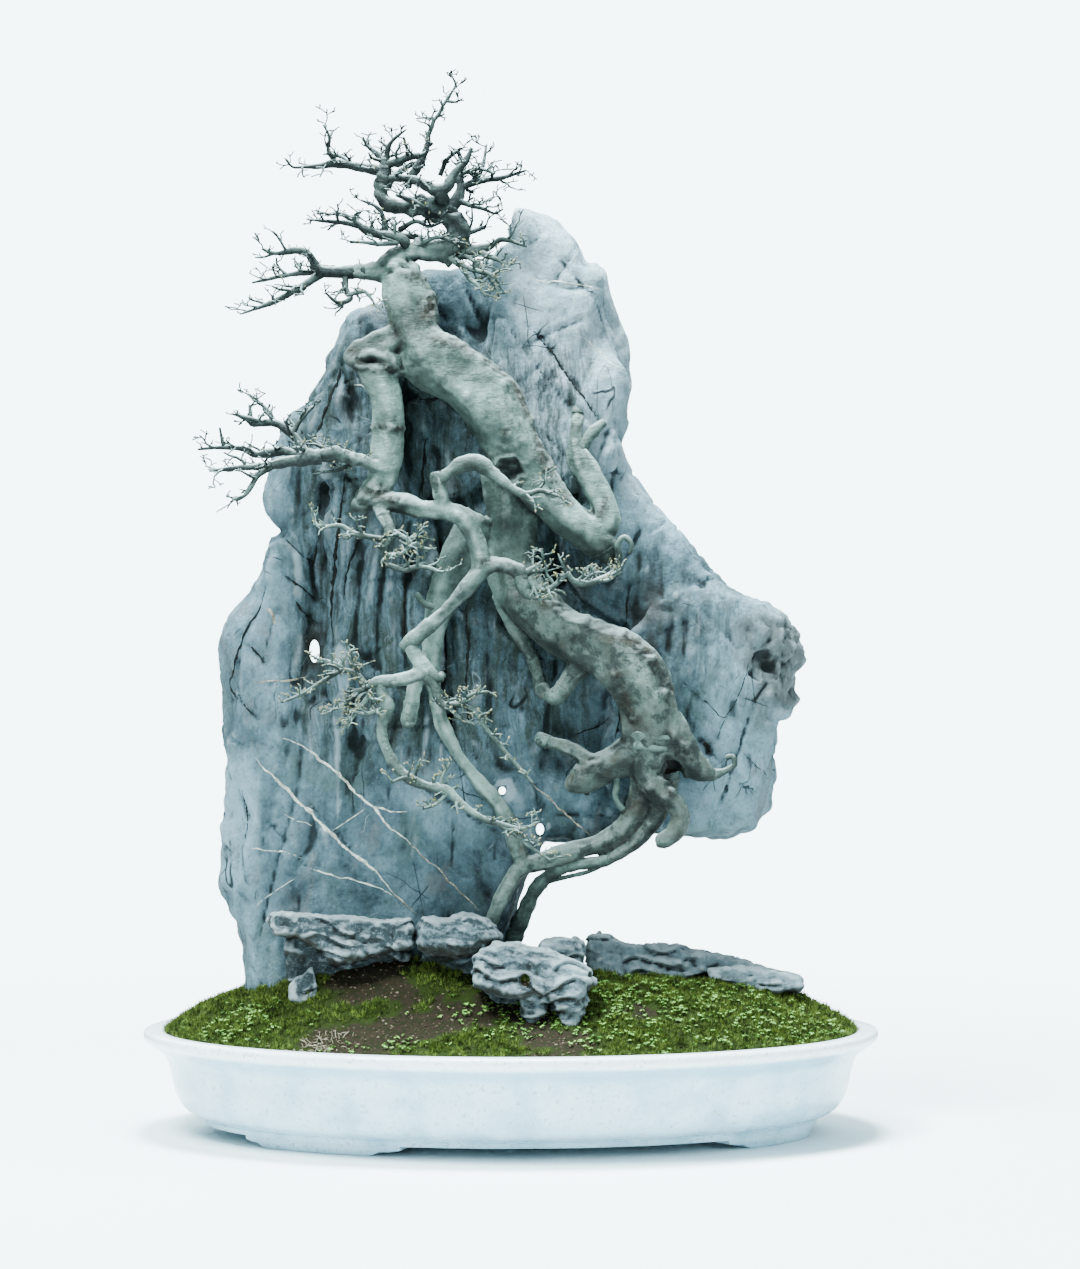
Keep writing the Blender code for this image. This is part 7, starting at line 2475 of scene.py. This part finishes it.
def mound_height(x: float, y: float) -> float:
    """Height of the soil's surface.

    Args:
        x: place to the right, in metres.
        y: place backwards, in metres.

    Returns:
        The height in metres.
    """
    across = x / (POT_LENGTH / 2 - SOIL_RIM_INSET * MM)
    along = y / (POT_DEPTH / 2 - SOIL_RIM_INSET * MM)
    span = min(1.0, math.hypot(across, along))
    turn = across * across / max(1e-9, across * across + along * along)
    power = SOIL_EDGE_POWER * turn + SOIL_FRONT_POWER * (1.0 - turn)
    hump_x, hump_y = SOIL_HUMP_PLACE
    wide, deep = SOIL_HUMP_SIZE
    away = ((x - hump_x) / wide) ** 2 + ((y - hump_y) / deep) ** 2
    hump = SOIL_HUMP_HEIGHT * math.exp(-away) * (1.0 - span ** SOIL_LUMP_FADE)
    return SOIL_RIM_HEIGHT * MM + RIM_TO_MOUND * (1.0 - span ** power) + hump


def oval(inset: float, height: float, sides: int) -> list[Vector]:
    """A ring on the lip's oval.

    Args:
        inset: how far inside it, in mm.
        height: its height in mm.
        sides: number of its points.

    Returns:
        The points.
    """
    across = POT_LENGTH / 2 - inset * MM
    along = POT_DEPTH / 2 - inset * MM
    turns = [math.tau * i / sides for i in range(sides)]
    return [Vector((across * math.cos(turn), along * math.sin(turn), height * MM)) for turn in turns]


@dataclass
class Pot:
    """The shallow oval pot on its four feet."""

    sides: int = 160
    corner_cuts: int = 3
    foot_steps: int = 22
    foot_bevel: float = 0.0016
    lip: float = 17.0

    def profile(self) -> list[tuple[float, float]]:
        """The wall's outline from the underside over the lip to the floor, with its corners cut."""
        points = list(POT_OUTSIDE + POT_INSIDE)
        for turn in range(self.corner_cuts):
            cut = [points[0]]
            for (a, b), (c, d) in zip(points, points[1:]):
                cut += [(0.75 * a + 0.25 * c, 0.75 * b + 0.25 * d),
                        (0.25 * a + 0.75 * c, 0.25 * b + 0.75 * d)]
            points = cut + [points[-1]]
        return points

    def build(self) -> Object:
        """The pot."""
        shape = bmesh.new()
        turns = [math.tau * i / self.sides for i in range(self.sides)]
        drain = [
            [Vector((DRAIN_RADIUS * math.cos(turn), DRAIN_RADIUS * math.sin(turn), height)) * MM
             for turn in turns]
            for height in (POT_FLOOR, POT_UNDERSIDE)
        ]
        rings = [oval(inset, height, self.sides) for inset, height in self.profile()]
        loft(shape, rings + drain, around=True)
        pot = object_of("pot_glazed", shape, GlazeFinish().material())
        feet = [self.foot(side, end) for side in (-1, 1) for end in (-1, 1)]
        whole = bmesh.new()
        for piece in [pot] + feet:
            whole.from_mesh(piece.data)
        whole.to_mesh(pot.data)
        whole.free()
        for foot in feet:
            bpy.data.objects.remove(foot, do_unlink=True)
        pot.data.shade_smooth()
        pot.data.set_sharp_from_angle(angle=math.radians(50))
        top = max(vertex.co.z for vertex in pot.data.vertices) / MM
        heights = [(vertex.co.z / MM - top) / self.lip for vertex in pot.data.vertices]
        # Where the glaze gets its painted highlight on the lip's top and its band of painted shade under the
        # lip
        store(pot, "rim", [blend(-1.0, -0.6, height) for height in heights])
        store(pot, "lip_shadow_band", [blend(-2.3, -1.2, height) * blend(-0.75, -1.0, height) for height in heights])
        return pot

    def foot(self, side: int, end: int) -> Object:
        """One low foot along the base's oval, with a bracket at each end.

        Args:
            side: -1 for left, 1 for right.
            end: -1 for front, 1 for back.

        Returns:
            The foot.
        """
        start, stop = (math.radians(angle) for angle in FOOT_ARCS[side * end])
        lead = [share for share, height in FOOT_UNDERSIDE]
        middle = [lead[-1] + (1 - 2 * lead[-1]) * k / self.foot_steps for k in range(1, self.foot_steps)]
        shares = lead + middle + [1 - share for share in reversed(lead)]
        heights = [height for share, height in FOOT_UNDERSIDE]
        heights = heights + [0.0] * len(middle) + heights[::-1]
        rings = []
        for share, height in zip(shares, heights):
            angle = start + (stop - start) * share
            outer, inner = FOOT_INSETS
            rings.append([
                Vector(((POT_LENGTH / 2 - inset * MM) * math.cos(angle) * side,
                        (POT_DEPTH / 2 - inset * MM) * math.sin(angle) * end, level * MM))
                for inset, level in ((outer, height), (outer, FOOT_TOP), (inner, FOOT_TOP), (inner, height))
            ])
        shape = bmesh.new()
        loft(shape, rings)
        foot = object_of("foot", shape)
        modifier = foot.modifiers.new("soft", "BEVEL")
        modifier.width = self.foot_bevel
        modifier.segments = 3
        modifier.limit_method = "ANGLE"
        apply_modifiers(foot)
        return foot


# Where moss, bare soil and cress are thickest, seen from above: middle and half sizes in mm
MOSS_PATCHES = ((-300, -120, 130, 90), (-78, -112, 44, 26), (-250, 40, 200, 160), (240, -90, 190, 110),
                (330, 20, 120, 140), (40, 190, 300, 70), (-40, -215, 60, 22), (130, -190, 90, 40))
BARE_PATCHES = ((16, -92, 26, 20), (-160, -110, 74, 42), (10, -120, 58, 38), (-130, -190, 90, 26),
                (60, -205, 50, 24),
                (150, -140, 34, 20), (-210, -70, 40, 30))
CRESS_PATCHES = ((150, -120, 130, 80), (280, -110, 110, 80), (60, -190, 130, 36), (-160, -215, 90, 18),
                 (-300, -120, 60, 50), (0, -160, 60, 40))
# How the plants' edges fray: strength, size in mm and a shift that keeps the patterns apart
MOSS_NOISE = ((0.55, 46, 3.0), (0.50, 17, 6.0))
CRESS_NOISE = ((0.6, 33, 8.0), (0.35, 12, 1.0))


@dataclass
class Ground:
    """The planted soil: crumbly surface, moss, small round-leaved plants and a dry tuft."""

    rings: int = 84
    sides: int = 240
    fine_lumps: tuple[tuple[float, float], ...] = ((2.6, 0.020), (1.3, 0.008))
    cushion: float = 4.5
    cushion_size: float = 0.021
    moss_clumps: float = 36000.0
    cress_plants: float = 13000.0
    crumbs: float = 12000.0
    tuft_blades: int = 110
    tuft_radius: float = 0.0006
    tuft_spread: tuple[tuple[float, float], ...] = ((-0.205, 0.017), (-0.196, 0.008))
    seed: int = 5

    def moss_share(self, x: float, y: float) -> float:
        """How much of the soil is mossy at a place given in mm."""
        green = patchy(MOSS_PATCHES, x, y) - 0.85 * patchy(BARE_PATCHES, x, y)
        patches = sum(
            high * noise.noise(Vector((x / size, y / size, shift))) for high, size, shift in MOSS_NOISE)
        return blend(0.0, 0.55, green + patches + 0.10)

    def cress_share(self, x: float, y: float) -> float:
        """How thickly small plants grow at a place given in mm."""
        green = patchy(CRESS_PATCHES, x, y) - 0.35 * patchy(BARE_PATCHES, x, y)
        for high, size, shift in CRESS_NOISE:
            green += high * noise.noise(Vector((x / size, y / size, shift)))
        return blend(0.1, 0.8, green)

    def bare_share(self, x: float, y: float) -> float:
        """How bare the soil is at a place given in mm."""
        return 1.0 - 0.9 * self.moss_share(x, y)

    def surface(self, x: float, y: float, share: float) -> float:
        """Height of the finished surface.

        Args:
            x: place to the right, in metres.
            y: place backwards, in metres.
            share: distance from the middle, as a share of the rim's.

        Returns:
            The height in metres.
        """
        place = Vector((x, y, 0.0))
        height = noise.noise(place / SOIL_LUMP_LENGTH) * SOIL_LUMPS * (1.0 - share ** SOIL_LUMP_FADE)
        height += sum(waves(place, *wave) for wave in self.fine_lumps)
        span = noise.voronoi(place / self.cushion_size)[0][0]
        moss = self.moss_share(x / MM, y / MM)
        height += moss * self.cushion * (1.0 - blend(0.0, 0.75, span))
        return mound_height(x, y) + height * MM

    def build_soil(self) -> Object:
        """The soil with its surface."""
        shape = bmesh.new()
        wall = [oval(inset + 0.4, height + 0.4, self.sides) for inset, height in reversed(POT_INSIDE[1:])]
        rim = oval(SOIL_RIM_INSET, SOIL_RIM_HEIGHT, self.sides)
        rings = list(wall)
        shares = [1.0 - 0.985 * (i / self.rings) ** 0.9 for i in range(self.rings + 1)]
        for share in shares:
            flat = [(point.x * share, point.y * share) for point in rim]
            rings.append([Vector((x, y, self.surface(x, y, share))) for x, y in flat])
        loft(shape, rings)
        soil = object_of("soil_surface", shape, SoilFinish().material())
        soil.data.shade_smooth()
        top = [vertex.normal.z > 0.2 and vertex.co.z > 0.1 for vertex in soil.data.vertices]
        places = [(vertex.co.x / MM, vertex.co.y / MM) for vertex in soil.data.vertices]
        growth = {"moss": self.moss_share, "cress": self.cress_share, "bare": self.bare_share}
        for name, share_at in growth.items():
            store(soil, name, [share_at(*place) * open_air for place, open_air in zip(places, top)])
        return soil

    def clump(self, blades: int, spread: float, length: float, width: float) -> Object:
        """A small clump of pointed leaves, which the moss repeats.

        Args:
            blades: number of its leaves.
            spread: its width.
            length: its leaves' length.
            width: their width.

        Returns:
            The clump, to be removed once it is used.
        """
        draw = random.Random(self.seed)
        points, faces = [], []
        for i in range(blades):
            turn = draw.uniform(0.0, math.tau)
            away = spread * math.sqrt(draw.random())
            foot = Vector((math.cos(turn) * away, math.sin(turn) * away, -0.0006))
            lean = Vector((math.cos(turn), math.sin(turn), 0.0)) * draw.uniform(0.1, 0.9)
            tip = foot + (lean + Vector((0.0, 0.0, 1.0))).normalized() * length * draw.uniform(0.6, 1.2)
            across = Vector((-math.sin(turn), math.cos(turn), 0.0)) * width
            first = len(points)
            points += [foot - across, foot + across, tip]
            faces.append((first, first + 1, first + 2))
        made = bpy.data.meshes.new("clump")
        made.from_pydata(points, [], faces)
        return add_object("clump", made)

    def plantlet(self) -> Object:
        """A small plant with round leaves, which the ground repeats. It is removed once it is used."""
        draw = random.Random(self.seed + 1)
        points, faces = [], []
        for i in range(6):
            turn = i * 2.4 + draw.uniform(-0.3, 0.3)
            away = draw.uniform(0.0010, 0.0034)
            height = draw.uniform(0.0025, 0.0052)
            middle = Vector((math.cos(turn) * away, math.sin(turn) * away, height))
            tilt = Vector((math.cos(turn) * 0.5, math.sin(turn) * 0.5, 1.0)).normalized()
            side = tilt.orthogonal().normalized()
            other = tilt.cross(side)
            radius = draw.uniform(0.0011, 0.0018)
            first = len(points)
            points += [
                middle + (side * math.cos(k * math.tau / 6) + other * math.sin(k * math.tau / 6)) * radius
                for k in range(6)
            ]
            points += [Vector((0.0003, 0.0, -0.001)), Vector((-0.0003, 0.0, -0.001))]
            faces += [tuple(range(first, first + 6)), (first, first + 6, first + 7)]
        made = bpy.data.meshes.new("plantlet")
        made.from_pydata(points, [], faces)
        return add_object("plantlet", made)

    def crumb(self) -> Object:
        """A grain of soil, which bare ground repeats. It is removed once it is used."""
        shape = bmesh.new()
        bmesh.ops.create_icosphere(shape, subdivisions=1, radius=0.0016)
        for vertex in shape.verts:
            vertex.co *= 1.0 + 0.8 * noise.noise(vertex.co / 0.0011)
            vertex.co.z *= 0.7
        return object_of("crumb", shape)

    def spread(self, soil: Object, small: Object, name: str, field: str, density: float,
               sizes: tuple[float, float], material: bpy.types.Material) -> Object:
        """Many copies of a small plant over the soil, placed by Geometry Nodes.

        Args:
            soil: the soil.
            small: the plant, which is removed.
            name: the new piece's name.
            field: the number stored on the soil that says how thickly it grows.
            density: how many to the square metre where it grows thickest.
            sizes: least and most size.
            material: the piece's material.

        Returns:
            The piece.
        """
        plan = Plan(f"{name}_on_soil")
        thickest = plan.size("Density", density)
        least = plan.size("Least size", sizes[0])
        most = plan.size("Most size", sizes[1])
        plant = plan.size("Plant", small, "NodeSocketObject")
        spread = plan.node("GeometryNodeDistributePointsOnFaces", {"distribute_method": "RANDOM"}, {
            "Mesh": plan.carrier, "Density": plan.stored(field) * thickest, "Seed": self.seed}, "Points")
        shape = plan.node("GeometryNodeObjectInfo", {"transform_space": "ORIGINAL"}, {"Object": plant},
                          "Geometry")
        turn = plan.node("ShaderNodeCombineXYZ", {}, {
            0: plan.chance(-0.35, 0.35, 1), 1: plan.chance(-0.35, 0.35, 2), 2: plan.chance(0.0, math.tau, 3)})
        turned = plan.node("FunctionNodeEulerToRotation", {}, {"Euler": turn})
        placed = plan.node("GeometryNodeInstanceOnPoints", {}, {
            "Points": spread, "Instance": shape, "Rotation": turned, "Scale": plan.chance(least, most, 4)},
            "Instances")
        made = plan.grow(add_object("carrier", soil.data.copy()), name, placed, material)
        bpy.data.objects.remove(small, do_unlink=True)
        return made

    def build_tuft(self) -> Object:
        """The dry pale tuft at the front left."""
        draw = random.Random(self.seed + 2)
        paths = []
        for i in range(self.tuft_blades):
            x, y = (draw.gauss(*spread) for spread in self.tuft_spread)
            place = Vector((x, y, mound_height(x, y) - 0.002))
            heading = Vector((draw.uniform(-0.8, 0.8), draw.uniform(-0.8, 0.5), draw.uniform(0.3, 1.0)))
            heading = heading.normalized()
            path = [(place, self.tuft_radius)]
            for share in (0.9, 0.6, 0.35):
                bend = Vector((draw.uniform(-0.5, 0.5), draw.uniform(-0.5, 0.5), -0.25))
                heading = (heading + bend).normalized()
                place = place + heading * draw.uniform(0.002, 0.0055)
                path.append((place, self.tuft_radius * share))
            paths.append(path)
        finish = LeafFinish("dry_grass", "A39C8A", "80755C", "574C3A", 0.8, 0.01)
        return tubes("dry_tuft", paths, {}, 3, 0.3, finish.material())

    def build_plants(self, soil: Object) -> list[Object]:
        """Moss and small plants.

        Args:
            soil: the soil that they grow on.

        Returns:
            The pieces.
        """
        moss = LeafFinish("moss", "2C3C12", "66792F", "080D05", 0.8)
        cress = LeafFinish("cress", "44702C", "82AC55", "1B3010", 0.55)
        grit = LeafFinish("grit", "33281D", "6E6251", "0E0B09", 0.95, 0.006)
        return [
            self.spread(soil, self.clump(14, 0.0034, 0.0056, 0.0006), "moss", "moss", self.moss_clumps,
                        (0.7, 1.35), moss.material()),
            self.spread(soil, self.plantlet(), "cress", "cress", self.cress_plants, (0.5, 1.05),
                        cress.material()),
            self.spread(soil, self.crumb(), "crumbs", "bare", self.crumbs, (0.4, 1.4), grit.material()),
        ]


@dataclass
class Studio:
    """Camera, soft lights and a pale floor."""

    lens: float = 88.11
    sensor: float = 36.0
    floor_radius: float = 6.0
    floor_fade: tuple[float, float] = (0.35, 1.9)
    air: str = "E0F6FC"
    air_light: float = 0.85
    air_seen: float = 9.0

    def build_camera(self) -> None:
        """The camera at the eye that the drawing is seen from."""
        camera = bpy.data.cameras.new("camera")
        camera.sensor_fit = "VERTICAL"
        camera.sensor_height = self.sensor
        camera.sensor_width = self.sensor
        camera.lens = self.lens
        camera.clip_end = 100.0
        stand = bpy.data.objects.new("camera", camera)
        stand.location = EYE
        stand.rotation_euler = (math.radians(90), 0.0, 0.0)
        bpy.context.scene.collection.objects.link(stand)
        bpy.context.scene.camera = stand

    def add_light(self, name: str, place: tuple[float, float, float], size: float, watts: float,
                  tint: str = "FFFFFF") -> None:
        """A soft square light that points at the middle of the rock.

        Args:
            name: its name.
            place: where it hangs.
            size: length of its side.
            watts: its power.
            tint: its colour code.
        """
        light = bpy.data.lights.new(name, "AREA")
        light.size = size
        light.energy = watts
        light.color = colour(tint)[:3]
        lamp = bpy.data.objects.new(name, light)
        lamp.location = place
        lamp.rotation_euler = (Vector((0.0, 0.0, 0.55)) - Vector(place)).to_track_quat("-Z", "Y").to_euler()
        bpy.context.scene.collection.objects.link(lamp)

    def build_floor(self) -> Object:
        """A round pale floor that fades into the air."""
        shape = bmesh.new()
        bmesh.ops.create_circle(shape, cap_ends=True, segments=96, radius=self.floor_radius)
        floor = object_of("floor", shape)
        paint = Paint("floor")
        away = paint.node("ShaderNodeVectorMath", {"operation": "LENGTH"}, {0: paint.place}, "Value")
        cloud = paint.noise(0.4, 2.0)
        body = paint.mix(colour("F4F8F8"), colour("EDF3F4"), cloud)
        floor.data.materials.append(paint.done(
            Base_Color=body, Roughness=0.9, Alpha=paint.step(away, self.floor_fade[1], self.floor_fade[0])))
        return floor

    def build(self) -> None:
        """All of it."""
        self.build_camera()
        self.add_light("key", (-1.3, -1.3, 3.2), 0.9, 380.0, "E9FAFF")
        self.add_light("fill", (2.4, -2.2, 1.6), 2.0, 34.0, "D9F3FF")
        self.add_light("top", (0.0, -0.1, 3.3), 1.0, 640.0, "E4F8FF")
        self.add_light("back", (-0.6, 3.0, 2.2), 2.0, 130.0, "E4F8FF")
        world = bpy.data.worlds.new("air")
        world.use_nodes = True
        air = Graph(world.node_tree)
        background = world.node_tree.nodes["Background"]
        background.inputs["Color"].default_value = colour(self.air)
        direct = air.node("ShaderNodeLightPath", {}, {}, "Is Camera Ray")
        air.feed(background.inputs["Strength"], self.air_light + direct * (self.air_seen - self.air_light))
        bpy.context.scene.world = world
        self.build_floor()


def add_piece(piece: Object, slot: str, *nodes: str) -> None:
    """Lets a piece ride on the body and reports it.

    Args:
        piece: the piece.
        slot: not used.
        nodes: the CAD nodes that it stands for.
    """
    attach(piece, BODY)
    if nodes:
        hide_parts(*nodes)
    faces = len(piece.data.polygons)
    LOG.info("%s: %d points, %d faces", piece.name, len(piece.data.vertices), faces)


def main() -> None:
    """Builds the pieces in order."""
    logging.basicConfig(level=logging.INFO, format="%(name)s %(message)s")
    Studio().build()
    add_piece(Pot().build(), "pot", "pot")
    rock_maker = Rock()
    rock = rock_maker.build()
    add_piece(rock, "rock", "rock")
    for lines in rock_maker.build_lines(rock):
        add_piece(lines, "rock")
    for node, stone in Stones().build().items():
        add_piece(stone, "stone", node)
    tree = Tree()
    bark = BarkFinish().material()
    wood = tree.build_wood(bark)
    add_piece(wood, "tree", "tree")
    add_piece(tree.build_limbs(bark), "tree")
    twigs, paths = tree.build_twigs(wood, rock, bark)
    for piece in twigs:
        add_piece(piece, "tree")
    add_piece(tree.build_buds(paths), "tree")
    ground = Ground()
    soil = ground.build_soil()
    add_piece(soil, "soil", "soil")
    for plants in ground.build_plants(soil):
        add_piece(plants, "soil")
    add_piece(ground.build_tuft(), "soil")


if __name__ == "__main__":
    main()
